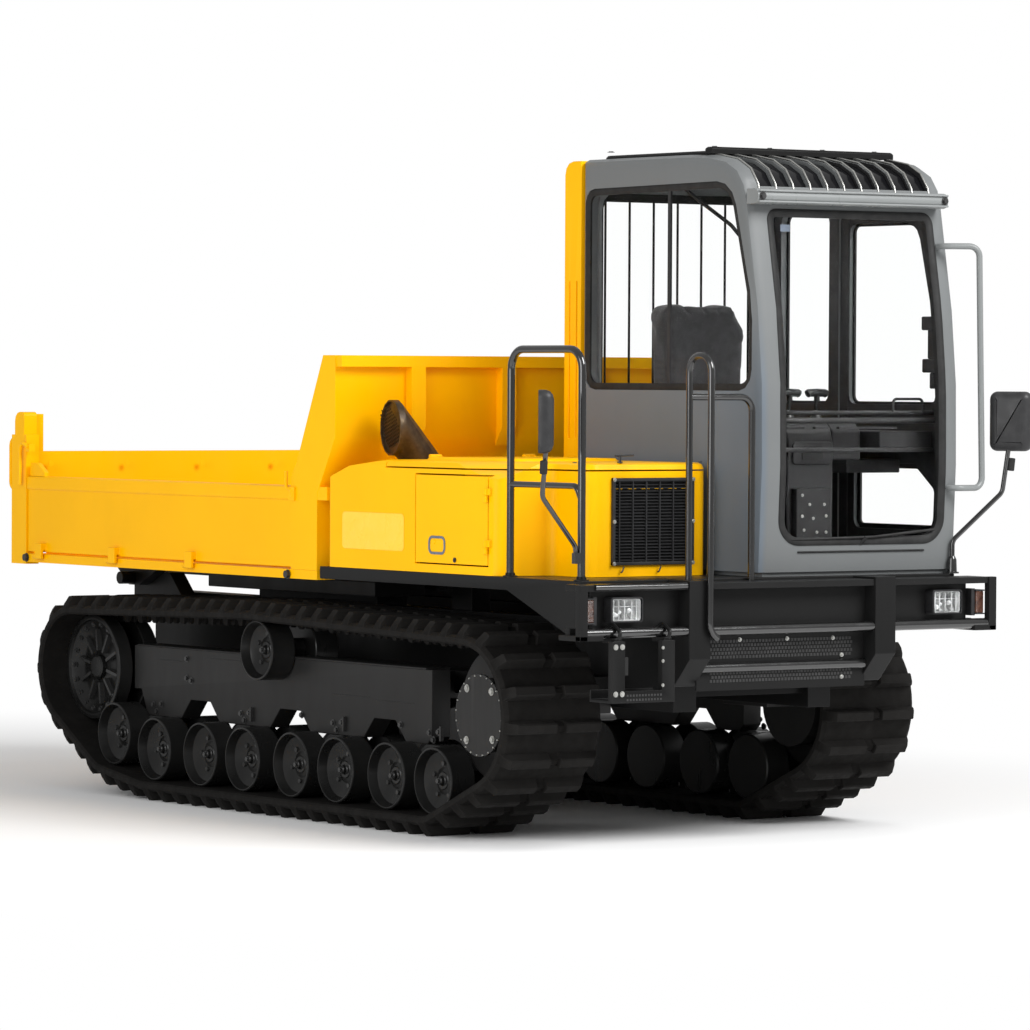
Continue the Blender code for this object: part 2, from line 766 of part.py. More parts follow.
def track(side):
    """One rubber belt: the loop with its cross lugs, whose ends slope down to the belt's edge."""
    pieces = belt_path()
    total = sum(piece[-1] for piece in pieces)
    pitch = total / LUG_COUNT
    half = TRACK_WIDTH / 2
    centre = side * TRACK_GAUGE_HALF
    # place across the belt, share of the lug's height there
    sections = ((-half, 0.0), (-half + LUG_END_SLOPE, 1.0), (half - LUG_END_SLOPE, 1.0), (half, 0.0))
    # offset along the belt, share of the lug's height
    lug = ((-LUG_ROOT / 2, 0.0), (-LUG_TIP / 2, 1.0), (LUG_TIP / 2, 1.0), (LUG_ROOT / 2, 0.0))
    stations = [(index + 0.5) * pitch + offset for index in range(LUG_COUNT) for offset, _ in lug]
    corners = inner_corners(pieces)
    bm = bmesh.new()
    outer_rings = []
    for across, share in sections:
        points = []
        for number, station in enumerate(stations):
            point, out = on_path(pieces, station)
            place = point + out * (BELT + LUG_HEIGHT * lug[number % len(lug)][1] * share)
            points.append(bm.verts.new((centre + across, place.x, place.y)))
        outer_rings.append(points)
    inner_rings = [
        [bm.verts.new((centre + across, point.x, point.y)) for _, point in corners]
        for across in (-half, half)
    ]
    count = len(stations)
    for near, far in zip(outer_rings, outer_rings[1:]):
        for index in range(count):
            after = (index + 1) % count
            bm.faces.new((near[index], near[after], far[after], far[index]))
    near, far = inner_rings
    for index in range(len(corners)):
        after = (index + 1) % len(corners)
        bm.faces.new((near[index], far[index], far[after], near[after]))
    for outer, inner in ((outer_rings[0], near), (outer_rings[-1], far)):
        for index, (low, _) in enumerate(corners):
            after = (index + 1) % len(corners)
            high = corners[after][0] + (total if after == 0 else 0)
            spanned = [(place, number) for number, place in enumerate(stations) if low < place <= high]
            spanned += [
                (place + total, number) for number, place in enumerate(stations) if place + total <= high
            ]
            run = [number for _, number in sorted(spanned)]
            if run:
                reached = [outer[run[0] - 1]] + [outer[number] for number in run]
                bm.faces.new([inner[index]] + reached + [inner[after]])
            else:
                last = max(
                    (number for number, place in enumerate(stations) if place <= low), default=count - 1,
                )
                bm.faces.new((inner[index], outer[last], inner[after]))
    return mesh_object("track", bm)


def roller(side, y, z, radius):
    """The two discs of a double roller, the dished one outboard."""
    dish = radius * ROLLER_DISH
    profile = [
        (ROLLER_DISH_DEEP, 0.0), (ROLLER_DISH_DEEP, dish - ROLLER_LIP), (0.0, dish), (0.0, radius),
        (ROLLER_TREAD, radius),
        (ROLLER_TREAD, 0.0),
    ]
    outer = side * (TRACK_GAUGE_HALF + ROLLER_WIDTH / 2)
    middle = side * (TRACK_GAUGE_HALF - ROLLER_WIDTH / 2 + ROLLER_TREAD / 2)
    inner = disc((1, 0, 0), (middle, y, z), radius, ROLLER_TREAD, ROLLER_SIDES)
    return join(turned(profile, (outer, y, z), -side, ROLLER_SIDES), inner)


def bogie(side, index):
    """A rocking pair of rollers and the beam that joins their axles under the side frame."""
    low = BELT + LUG_HEIGHT + ROLLER_R + GAP
    centre = BOGIE_Y[index]
    lift = REAR_ROLLER_LIFT if index == 0 else 0.0
    reach = ROLLER_SPACING / 2
    rear = roller(side, centre + reach, low + lift, ROLLER_R)
    front = roller(side, centre - reach, low, ROLLER_R)
    end = reach + BEAM_END
    outline = [
        (centre - end, low - BEAM_END), (centre + end, low + lift - BEAM_END),
        (centre + end, low + lift + BEAM_RISE),
        (centre + BEAM_HEAD, SIDE_FRAME_FOOT - GAP), (centre - BEAM_HEAD, SIDE_FRAME_FOOT - GAP),
        (centre - end, low + BEAM_RISE),
    ]
    half_beam = ROLLER_WIDTH / 2 - ROLLER_TREAD + SEAM / 2
    middle = side * TRACK_GAUGE_HALF
    beam = plate("yz", outline, middle - half_beam, middle + half_beam)
    return join(beam, rear, front)


def sprocket(side):
    """The driven wheel: cover disc outboard, the rim that drives the belt's middle, and the drive's drum."""
    rim = SPROCKET_R - WHEEL_PLAY
    near = COVER_OUT - TRACK_GAUGE_HALF - SPROCKET_RIM / 2
    far = near + SPROCKET_RIM
    drum = COVER_OUT - TRACK_GAUGE_HALF + DRUM_LENGTH / 2
    profile = [
        (0.0, 0.0), (0.0, COVER_R - COVER_EDGE), (COVER_EDGE, COVER_R), (near, COVER_R), (near, rim),
        (far, rim),
        (far, DRUM_R), (drum, DRUM_R), (drum, 0.0),
    ]
    return turned(profile, (side * COVER_OUT, SPROCKET_Y, SPROCKET_Z), -side, WHEEL_SIDES)


def idler(side):
    """The rear wheel: a dished rim outboard, a groove in its middle and a plain rim inboard."""
    rim = IDLER_R - WHEEL_PLAY
    dish = rim * IDLER_DISH
    third = IDLER_WIDTH / 3
    profile = [
        (IDLER_NUT_DEEP, 0.0), (IDLER_NUT_DEEP, IDLER_NUT_R), (ROLLER_DISH_DEEP, IDLER_NUT_R),
        (ROLLER_DISH_DEEP, dish - ROLLER_LIP), (0.0, dish), (0.0, rim), (third, rim), (third, IDLER_HUB_R),
        (2 * third, IDLER_HUB_R), (2 * third, rim), (IDLER_WIDTH, rim), (IDLER_WIDTH, 0.0),
    ]
    return turned(profile, (side * IDLER_OUT, IDLER_Y, IDLER_Z), -side, WHEEL_SIDES)


def side_frame(side):
    """A track's side frame: a long beam with an arch between the bogies, and its ties to the main frame."""
    front_foot = BOGIE_Y[-1] + BEAM_HEAD
    outline = [
        (SIDE_FRAME_FRONT, SIDE_FRAME_TOP), (SIDE_FRAME_FRONT, SIDE_FRAME_FOOT + BEAM_END),
        (front_foot, SIDE_FRAME_FOOT),
    ]
    for middle in sorted((rear + front) / 2 for rear, front in zip(BOGIE_Y, BOGIE_Y[1:])):
        outline.append((middle - ARCH_HALF_FOOT, SIDE_FRAME_FOOT))
        outline.append((middle - ARCH_HALF_TOP, ARCH_TOP))
        outline.append((middle + ARCH_HALF_TOP, ARCH_TOP))
        outline.append((middle + ARCH_HALF_FOOT, SIDE_FRAME_FOOT))
    rear_foot = BOGIE_Y[0] + ARCH_HALF_TOP
    idler_clear = IDLER_Y - IDLER_R - 0.03
    outline += [
        (rear_foot, SIDE_FRAME_FOOT), (rear_foot + 0.06, SIDE_FRAME_REAR_FOOT),
        (idler_clear, SIDE_FRAME_REAR_FOOT),
        (idler_clear, SIDE_FRAME_TOP),
    ]
    across = span(side, SIDE_FRAME_IN, SIDE_FRAME_OUT)
    beam = plate("yz", outline, *across)
    rail_face = RAIL_X + RAIL_HALF + GAP
    ties = [
        box(
            span(side, rail_face, SIDE_FRAME_IN + SEAM), (y - TIE_HALF, y + TIE_HALF),
            (RAIL_LOW, RAIL_LOW + TIE_HIGH),
        )
        for y in TIE_Y
    ]
    # fork to the idler's hub, inboard of the wheel
    fork_out = IDLER_OUT - IDLER_WIDTH - GAP
    fork_z = (IDLER_Z - FORK_HALF, IDLER_Z + FORK_HALF)
    fork = box(
        span(side, fork_out - FORK_WALL, fork_out), (idler_clear - FORK_WALL, IDLER_Y + FORK_HALF), fork_z,
    )
    bridge = box(
        span(side, fork_out - FORK_WALL, SIDE_FRAME_IN + SEAM), (idler_clear - 0.10, idler_clear - 0.005),
        fork_z,
    )
    # bracket and axle of the carrier roller
    carrier_z = CARRIER_TOP - CARRIER_R - GAP
    post_x = span(side, SIDE_FRAME_IN + SEAM, SIDE_FRAME_OUT - SEAM)
    post = box(
        post_x, (CARRIER_Y - BEAM_HEAD, CARRIER_Y + BEAM_HEAD),
        (SIDE_FRAME_TOP - SEAM, carrier_z + SEAM / 2),
    )
    wheel = roller(side, CARRIER_Y, carrier_z, CARRIER_R)
    middle = (side * TRACK_GAUGE_HALF, CARRIER_Y, carrier_z)
    axle = disc((1, 0, 0), middle, ROLLER_AXLE_R, ROLLER_WIDTH - ROLLER_TREAD, 8)
    # arm to the drive's drum
    drum_in = TRACK_GAUGE_HALF - DRUM_LENGTH / 2 - GAP
    arm = box(
        span(side, rail_face, drum_in), (SPROCKET_Y - ARM_HALF, SPROCKET_Y + ARM_HALF),
        (SPROCKET_Z, SPROCKET_Z + ARM_HALF),
    )
    link_y = (SPROCKET_Y + ARM_HALF / 2, TIE_Y[1] + TIE_HALF / 2)
    link = box(span(side, drum_in - ARM_WALL, drum_in - SEAM), link_y, (SPROCKET_Z + 0.05, SPROCKET_Z + 0.15))
    return join(beam, *ties, fork, bridge, post, axle, wheel, arm, link)


def make_tracks(rubber, black):
    """Both belts with their frames and wheels."""
    for side, word in ((-1, "right"), (1, "left")):
        node(f"track_{word}", track(side), rubber)
        node(f"side_frame_{word}", side_frame(side), black)
        node(f"sprocket_{word}", sprocket(side), black)
        node(f"idler_{word}", idler(side), black)
        for index in range(len(BOGIE_Y)):
            node(f"bogie_{word}_{index + 1}", bogie(side, index), black)


# Main frame and deck
def main_frame():
    """Two rails with cross members, the hoist's lugs and the rear tipping brackets."""
    rails = [
        box(
            span(side, RAIL_X - RAIL_HALF, RAIL_X + RAIL_HALF), (RAIL_FRONT, RAIL_REAR),
            (RAIL_LOW, RAIL_TOP),
        )
        for side in (-1, 1)
    ]
    crosses = [
        box((-RAIL_X, RAIL_X), (y - RAIL_HALF, y + RAIL_HALF), (RAIL_LOW + RAIL_HALF, RAIL_TOP - RAIL_HALF))
        for y in (RAIL_FRONT + 0.10, -0.62, 0.45, RAIL_REAR - 0.10)
    ]
    low = RAIL_TOP - 0.10
    # the shallow A of the tipping bracket
    outline = [
        (BRACKET_FRONT, low), (RAIL_REAR, low), (RAIL_REAR, TIP_Z - 0.01), (TIP_Y + 0.045, TIP_Z + TIP_PIN_R),
        (TIP_Y - 0.24, TIP_Z + TIP_PIN_R),
    ]
    brackets = []
    for side in (-1, 1):
        brackets.append(plate("yz", outline, *span(side, BRACKET_IN, BRACKET_OUT)))
        reach = (BRACKET_FRONT + RAIL_HALF, RAIL_REAR - SEAM)
        brackets.append(
            box(span(side, RAIL_X, BRACKET_IN + SEAM), reach, (low - RAIL_HALF / 2, RAIL_TOP - 0.02))
        )
    lugs = [
        box(
            span(side, HOIST_LUG_IN, HOIST_LUG_OUT), (0.40, HOIST_FOOT_Y + HOIST_BOSS_R),
            (HOIST_FOOT_Z - 0.06, HOIST_FOOT_Z + 0.06),
        )
        for side in (-1, 1)
    ]
    pin = disc((1, 0, 0), (0, HOIST_FOOT_Y, HOIST_FOOT_Z), HOIST_PIN_R, 2 * HOIST_LUG_OUT - SEAM, ROUGH)
    return join(*rails, *crosses, *brackets, *lugs, pin)


def make_frame(black, steel):
    """Main frame, engine, deck and the long boxes beside the bed's front."""
    node("main_frame", main_frame(), black)
    under = DECK_TOP - DECK_THICK
    deck = box((-BODY_HALF, BODY_HALF), (DECK_FRONT, DECK_REAR), (under, DECK_TOP))
    posts = [
        box(
            (x - DECK_POST_X, x + DECK_POST_X), (y - DECK_POST_Y, y + DECK_POST_Y),
            (RAIL_TOP + GAP, under + SEAM),
        )
        for x in (-RAIL_X, RAIL_X) for y in DECK_POSTS
    ]
    corner = [
        (DECK_FRONT, DECK_TOP), (DECK_FRONT, DECK_CORNER_LOW), (DECK_FRONT + 0.10, DECK_CORNER_LOW),
        (DECK_CORNER_REAR, under + SEAM), (DECK_CORNER_REAR, DECK_TOP),
    ]
    skirts = [plate("yz", corner, *span(side, BODY_HALF - CORNER_WALL, BODY_HALF)) for side in (-1, 1)]
    node("deck", join(deck, *posts, *skirts), black)
    for side, word in ((-1, "right"), (1, "left")):
        tank = box(span(side, TANK_IN, TANK_OUT), (DECK_REAR + SEAM, TANK_REAR), (TANK_LOW, TANK_TOP))
        foot = box(span(side, RAIL_X - 0.03, TANK_IN + 0.07), TANK_FOOT, (RAIL_TOP + GAP, TANK_LOW + SEAM))
        node(f"side_box_{word}", join(tank, foot), black)
    node("engine_block", box(ENGINE_X, ENGINE_Y, (DECK_TOP + GAP, ENGINE_TOP)), steel)


# Bed
def board_hinges():
    """Where the side boards' hinges are, spread evenly from the bed's rear."""
    pitch = (BED_REAR - BOARD_FRONT) * BOARD_HINGE_PITCH
    return [BED_REAR - BOARD_HINGE_FIRST - pitch * index for index in range(BOARD_HINGES)]


def bed_floor():
    """Floor with its raised lining, beams, rear posts with latch levers, tipping ears and hinge barrels."""
    floor = box(
        (-BODY_HALF + 0.002, BODY_HALF - 0.002), (BED_FRONT, BED_REAR),
        (BED_FLOOR_LOW, BED_FLOOR_TOP - BED_LINING),
    )
    inside = BODY_HALF - WING_WALL - LINING_MARGIN
    lining = box(
        (-inside, inside), (BED_FRONT + HEAD_WALL + LINING_MARGIN, BED_REAR - LINING_MARGIN),
        (BED_FLOOR_LOW + SEAM, BED_FLOOR_TOP),
    )
    beams = [
        box(
            span(side, BED_BEAM_X - BED_BEAM_HALF, BED_BEAM_X + BED_BEAM_HALF),
            (BED_FRONT + 0.10, BED_REAR - 0.05), (BED_BEAM_LOW, BED_FLOOR_LOW + SEAM),
        )
        for side in (-1, 1)
    ]
    back = BED_REAR + POST_DEPTH
    posts = []
    levers = []
    ears = []
    barrels = []
    ear = [
        (TIP_Y - 0.30, BED_FLOOR_LOW + SEAM), (TIP_Y - 0.05, TIP_Z - TIP_PIN_R - 0.005),
        (TIP_Y + 0.04, TIP_Z - TIP_PIN_R - 0.005),
        (TIP_Y + 0.20, BED_FLOOR_LOW + SEAM),
    ]
    for side in (-1, 1):
        across = span(side, BODY_HALF - POST_WIDTH, BODY_HALF)
        posts.append(box(across, (BED_REAR - 0.001, back), (BED_FLOOR_LOW - 0.01, POST_TOP)))
        head = rounded(((BED_REAR + 0.02, POST_TOP - SEAM, 0), (BED_REAR + 0.11, POST_TOP - SEAM, 0),
                        (BED_REAR + 0.11, POST_HEAD_TOP, 0.045), (BED_REAR + 0.02, POST_HEAD_TOP, 0.02)))
        posts.append(plate("yz", head, *across))
        x = side * (BODY_HALF - POST_WIDTH / 2)
        ends = (back - 2 * SEAM, back + LEVER_REACH)
        route = [
            (x, ends[0], LEVER_TOP), (x, ends[1], LEVER_TOP), (x, ends[1], LEVER_LOW),
            (x, ends[0], LEVER_LOW),
        ]
        levers.append(tube(bend(route, LEVER_BEND), LEVER_R, 8))
        ears.append(plate("yz", ear, *span(side, BRACKET_OUT + RUN, EAR_OUT)))
        pin = span(side, BRACKET_OUT + GAP, TIP_PIN_END)
        ears.append(disc((1, 0, 0), (sum(pin) / 2, TIP_Y, TIP_Z), TIP_PIN_R, pin[1] - pin[0], ROUGH))
        for y in board_hinges():
            x = side * (BODY_HALF + BOARD_HINGE_OUT)
            barrels.append(
                disc((0, 1, 0), (x, y + BARREL_SHIFT, BOARD_HINGE_Z), BOARD_BARREL_R, BARREL_LONG, 8)
            )
            leaf = span(side, BODY_HALF - SEAM, BODY_HALF + BOARD_HINGE_OUT)
            leaf_y = (y + BARREL_SHIFT - BARREL_LONG / 2, y + BARREL_SHIFT + BARREL_LONG / 2)
            barrels.append(box(leaf, leaf_y, (BOARD_HINGE_Z - 0.0085, BOARD_HINGE_Z + 0.0085)))
    eye = [
        box(
            span(side, EYE_HALF + 0.0025, EYE_HALF + 0.0265), (HOIST_EYE_Y - 0.07, HOIST_EYE_Y + 0.07),
            (HOIST_EYE_Z - 0.045, BED_FLOOR_LOW + SEAM),
        )
        for side in (-1, 1)
    ]
    return join(floor, lining, *beams, *posts, *levers, *ears, *eye, *barrels)


def headboard():
    """The bed's front wall with swept wings, a top flange, slanting ribs and a strap block."""
    base = BED_FLOOR_TOP - BED_LINING + GAP
    end = BOARD_FRONT - RUN
    wing = [
        (BED_FRONT, base), (end, base), (end, BOARD_TOP + 0.04), (WING_LOW_Y, WING_LOW_Z),
        (WING_TOP_Y, HEAD_TOP),
        (HEAD_Y, HEAD_TOP), (HEAD_Y, HEAD_KNEE), (BED_FRONT, HEAD_FOOT),
    ]
    face = [
        (BED_FRONT, base), (BED_FRONT + HEAD_WALL, base), (BED_FRONT + HEAD_WALL, HEAD_FOOT + 0.01),
        (HEAD_Y + HEAD_WALL, HEAD_KNEE + 0.02), (HEAD_Y + HEAD_WALL, HEAD_TOP), (HEAD_Y, HEAD_TOP),
        (HEAD_Y, HEAD_KNEE),
        (BED_FRONT, HEAD_FOOT),
    ]
    wings = [plate("yz", wing, *span(side, BODY_HALF - WING_WALL, BODY_HALF)) for side in (-1, 1)]
    head = plate("yz", face, -BODY_HALF + SEAM, BODY_HALF - SEAM)
    front = HEAD_Y - HEAD_RIB_REACH
    flange_low = HEAD_TOP - HEAD_FLANGE
    flange = box(
        (-BODY_HALF + 0.005, BODY_HALF - 0.005), (front, HEAD_Y + SEAM), (flange_low, HEAD_TOP - 0.001),
    )
    # a rib leans back to nothing where the face bends away
    rib = [
        (HEAD_Y + SEAM, HEAD_RIB_LOW), (front, HEAD_KNEE + 0.05), (front, flange_low + SEAM),
        (HEAD_Y + SEAM, flange_low + SEAM),
    ]
    ribs = [plate("yz", rib, x - HEAD_RIB_HALF, x + HEAD_RIB_HALF) for x in HEAD_RIB_X]
    blocks_at = [
        box(
            span(side, BODY_HALF - 0.05, BODY_HALF - 0.002), (BED_FRONT - STRAP_BLOCK, BED_FRONT + SEAM),
            STRAP_BLOCK_Z,
        )
        for side in (-1, 1)
    ]
    return join(head, *wings, flange, *ribs, *blocks_at)


def side_board(side):
    """A drop side: pressed skin, a top rail that stands proud, hinge straps and the rear latch plate."""
    inner = BODY_HALF - BOARD_WALL
    skin = BODY_HALF - BOARD_SKIN_IN
    low = BED_FLOOR_TOP + RUN
    outline = [
        (inner, low), (skin, low), (skin, BOARD_RAIL_LOW), (BODY_HALF, BOARD_RAIL_LOW + BOARD_SKIN_IN),
        (BODY_HALF, BOARD_TOP - BOARD_SKIN_IN), (skin, BOARD_TOP), (inner, BOARD_TOP),
    ]
    board = plate("xz", [(side * x, z) for x, z in outline], BOARD_FRONT, BED_REAR - RUN)
    rear = BED_REAR - 0.02
    latch = rounded((
        (rear - 0.14, BOARD_TOP - SEAM, 0), (rear, BOARD_TOP - SEAM, 0), (rear, LATCH_PLATE_TOP, 0.02),
        (rear - 0.07, LATCH_PLATE_TOP, 0.02), (rear - 0.14, BOARD_TOP + 0.02, 0.0),
    ))
    pieces = [plate("yz", latch, *span(side, BODY_HALF - 0.035, BODY_HALF - 0.01))]
    strap_out = BODY_HALF + BOARD_HINGE_OUT + BOARD_BARREL_R
    for y in board_hinges():
        across = (y - STRAP_HALF, y + STRAP_HALF)
        pieces.append(box(span(side, skin - SEAM, strap_out), across, (STRAP_BEND, STRAP_TOP)))
        pieces.append(
            box(
                span(side, BODY_HALF + RUN, strap_out), across,
                (BOARD_HINGE_Z - BOARD_BARREL_R, STRAP_BEND + SEAM),
            )
        )
    return join(board, *pieces)


def tailgate():
    """The rear flap: a panel on two arms with pins in the posts' heads."""
    inner = BODY_HALF - POST_WIDTH - RUN
    y = BED_REAR + GATE_IN
    panel = box((-inner, inner), (y, y + GATE_WALL), (BED_FLOOR_TOP + RUN, GATE_TOP))
    lip = box((-inner, inner), (y + GATE_WALL - SEAM, y + GATE_WALL + 0.012), (GATE_TOP - 0.06, GATE_TOP))
    pieces = []
    pin_z = POST_HEAD_TOP - GATE_PIN_DROP
    for side in (-1, 1):
        arm = span(side, inner - 0.045, inner - 0.005)
        pieces.append(box(arm, (y + 0.005, y + GATE_WALL), (GATE_TOP - 0.02, POST_HEAD_TOP - 0.01)))
        pin = span(side, inner - 0.015, BODY_HALF - POST_WIDTH - GAP)
        pieces.append(
            disc((1, 0, 0), (sum(pin) / 2, BED_REAR + GATE_PIN_IN, pin_z), GATE_PIN_R, pin[1] - pin[0], 8)
        )
    return join(panel, lip, *pieces)


def make_bed(yellow):
    """The tipping bed: floor and subframe, headboard, drop sides and tailgate."""
    hub = pivot("bed_axis", (0, TIP_Y, TIP_Z))
    node("bed_floor", bed_floor(), yellow, hub)
    node("headboard", headboard(), yellow, hub)
    for side, word in ((-1, "right"), (1, "left")):
        place = (
            side * (BODY_HALF + BOARD_HINGE_OUT), (BOARD_FRONT + BED_REAR) / 2 - TIP_Y,
            BOARD_HINGE_Z - TIP_Z,
        )
        place_child(
            f"side_board_{word}", side_board(side), yellow, pivot(f"side_axis_{word}", place, hub), hub,
        )
    gate_axis = pivot(
        "gate_axis", (0, BED_REAR + GATE_PIN_IN - TIP_Y, POST_HEAD_TOP - GATE_PIN_DROP - TIP_Z), hub,
    )
    place_child("tailgate", tailgate(), yellow, gate_axis, hub)


def place_child(name, obj, material, axis, hub):
    """A piece on a joint that itself hangs on another joint."""
    obj.data.transform(Matrix.Translation(-(Vector(hub.location) + Vector(axis.location))))
    done = node(name, obj, material)
    done.parent = axis
    return done


def make_hoist(black, steel):
    """The tipping cylinder: barrel on the main frame, rod under the bed."""
    foot = Vector((0, HOIST_FOOT_Y, HOIST_FOOT_Z))
    eye = Vector((0, HOIST_EYE_Y, HOIST_EYE_Z))
    along = (eye - foot).normalized()
    length = (eye - foot).length
    swing = pivot("hoist_axis", foot)

    def bar(start, end, radius, sides):
        """A round bar between two distances along the cylinder."""
        return disc(along, foot + along * (start + end) / 2, radius, end - start, sides)

    barrel = join(
        bar(0.028, length - BARREL_HEAD, BARREL_R, ROUGH),
        disc((1, 0, 0), foot, HOIST_BOSS_R, 2 * (HOIST_LUG_IN - GAP), ROUGH),
    )
    barrel = cut(barrel, disc((1, 0, 0), foot, HOIST_PIN_R + 0.0025, 2 * HOIST_LUG_OUT, ROUGH))
    barrel = cut(barrel, bar(0.16, 0.16 + length, ROD_R + GAP, ROUGH))
    node("hoist_barrel", barrel, black, swing)
    knuckle = disc((1, 0, 0), eye, EYE_R, 2 * EYE_HALF, ROUGH)
    node("hoist_rod", join(bar(ROD_START, length, ROD_R, ROUGH), knuckle), steel, swing)


# Engine hood
def hood_plan():
    """Plan of the hood: full behind, stepped in at the nose on the right; corners of (x, y, radius)."""
    step = NOSE_STEP_Y - NOSE_STEP_WIDE
    return (
        (-BODY_HALF, HOOD_REAR, 0.03), (-BODY_HALF, NOSE_STEP_Y, 0.05), (-NOSE_OUT, step, 0.05),
        (-NOSE_OUT, HOOD_FRONT, 0.06), (-HOOD_IN, HOOD_FRONT, 0.06), (-HOOD_IN, HOOD_REAR, 0.03),
    )


def hood_solid():
    """The hood's outer form: its plan with rounded top edges and the front right corner sloping down."""
    solid = plate("xy", rounded(hood_plan()), DECK_TOP + GAP, HOOD_TOP)
    solid = softened(solid, lambda a, b: min(a.z, b.z) > HOOD_TOP - GAP, HOOD_ROUND)
    # the plane through three points on the outer top edges
    bm = bmesh.new()
    slope = [Vector(place) for place in HOOD_SLOPE]
    normal = (slope[1] - slope[0]).cross(slope[2] - slope[0])
    normal *= math.copysign(1.0, normal.z) / normal.length
    middle = sum(slope, Vector()) / len(slope)
    spread = [middle + (point - middle) * 2.5 for point in slope]
    low = [bm.verts.new(point) for point in spread]
    high = [bm.verts.new(point + normal * 0.2) for point in spread]
    for index in range(3):
        after = (index + 1) % 3
        bm.faces.new((low[index], low[after], high[after], high[index]))
    bm.faces.new(low)
    bm.faces.new(high)
    return cut(solid, mesh_object("slope", bm))


def hood_well():
    """Plan of the room under the lid: a wall's thickness in, and the sloping corner left full."""
    left_full = NOSE_STEP_Y + WELL_CORNER
    outline = inset([corner[:2] for corner in hood_plan()], HOOD_WALL)
    rear, _, step, nose, inner, inner_rear = outline
    return [rear, (rear.x, left_full), (step.x, step.y + HOOD_WALL), nose, inner, inner_rear]


def grille():
    """The nose's grille: a frame with tilted louvres before upright bars."""
    y = (HOOD_FRONT + 0.004, HOOD_FRONT + HOOD_WALL - 0.004)
    x = (GRILLE_OUT + GAP, GRILLE_IN - GAP)
    z = (GRILLE_LOW + GAP, GRILLE_TOP - GAP)
    inner_x = (x[0] + GRILLE_BORDER, x[1] - GRILLE_BORDER)
    inner_z = (z[0] + GRILLE_BORDER, z[1] - GRILLE_BORDER)
    rim = cut(box(x, y, z), box(inner_x, (y[0] - SEAM, y[1] + SEAM), inner_z))
    pitch = (inner_z[1] - inner_z[0]) / SLATS
    lean = pitch * 0.45
    slats = []
    for index in range(SLATS):
        low = inner_z[0] + pitch * (index + 0.25)
        outline = [
            (y[0] + 0.003, low), (y[1] - 0.008, low + lean), (y[1] - 0.008, low + lean + SLAT_THICK),
            (y[0] + 0.003, low + SLAT_THICK),
        ]
        slats.append(plate("yz", outline, inner_x[0] - 0.002, inner_x[1] + 0.002))
    step = (inner_x[1] - inner_x[0]) / (MULLIONS + 1)
    bars = blocks([
        (
            (inner_x[0] + step * index - MULLION_THICK / 2, inner_x[0] + step * index + MULLION_THICK / 2),
            (y[1] - 0.010, y[1] - 0.002), (inner_z[0] - 0.002, inner_z[1] + 0.002),
        )
        for index in range(1, MULLIONS + 1)
    ])
    return join(rim, bars, *slats)


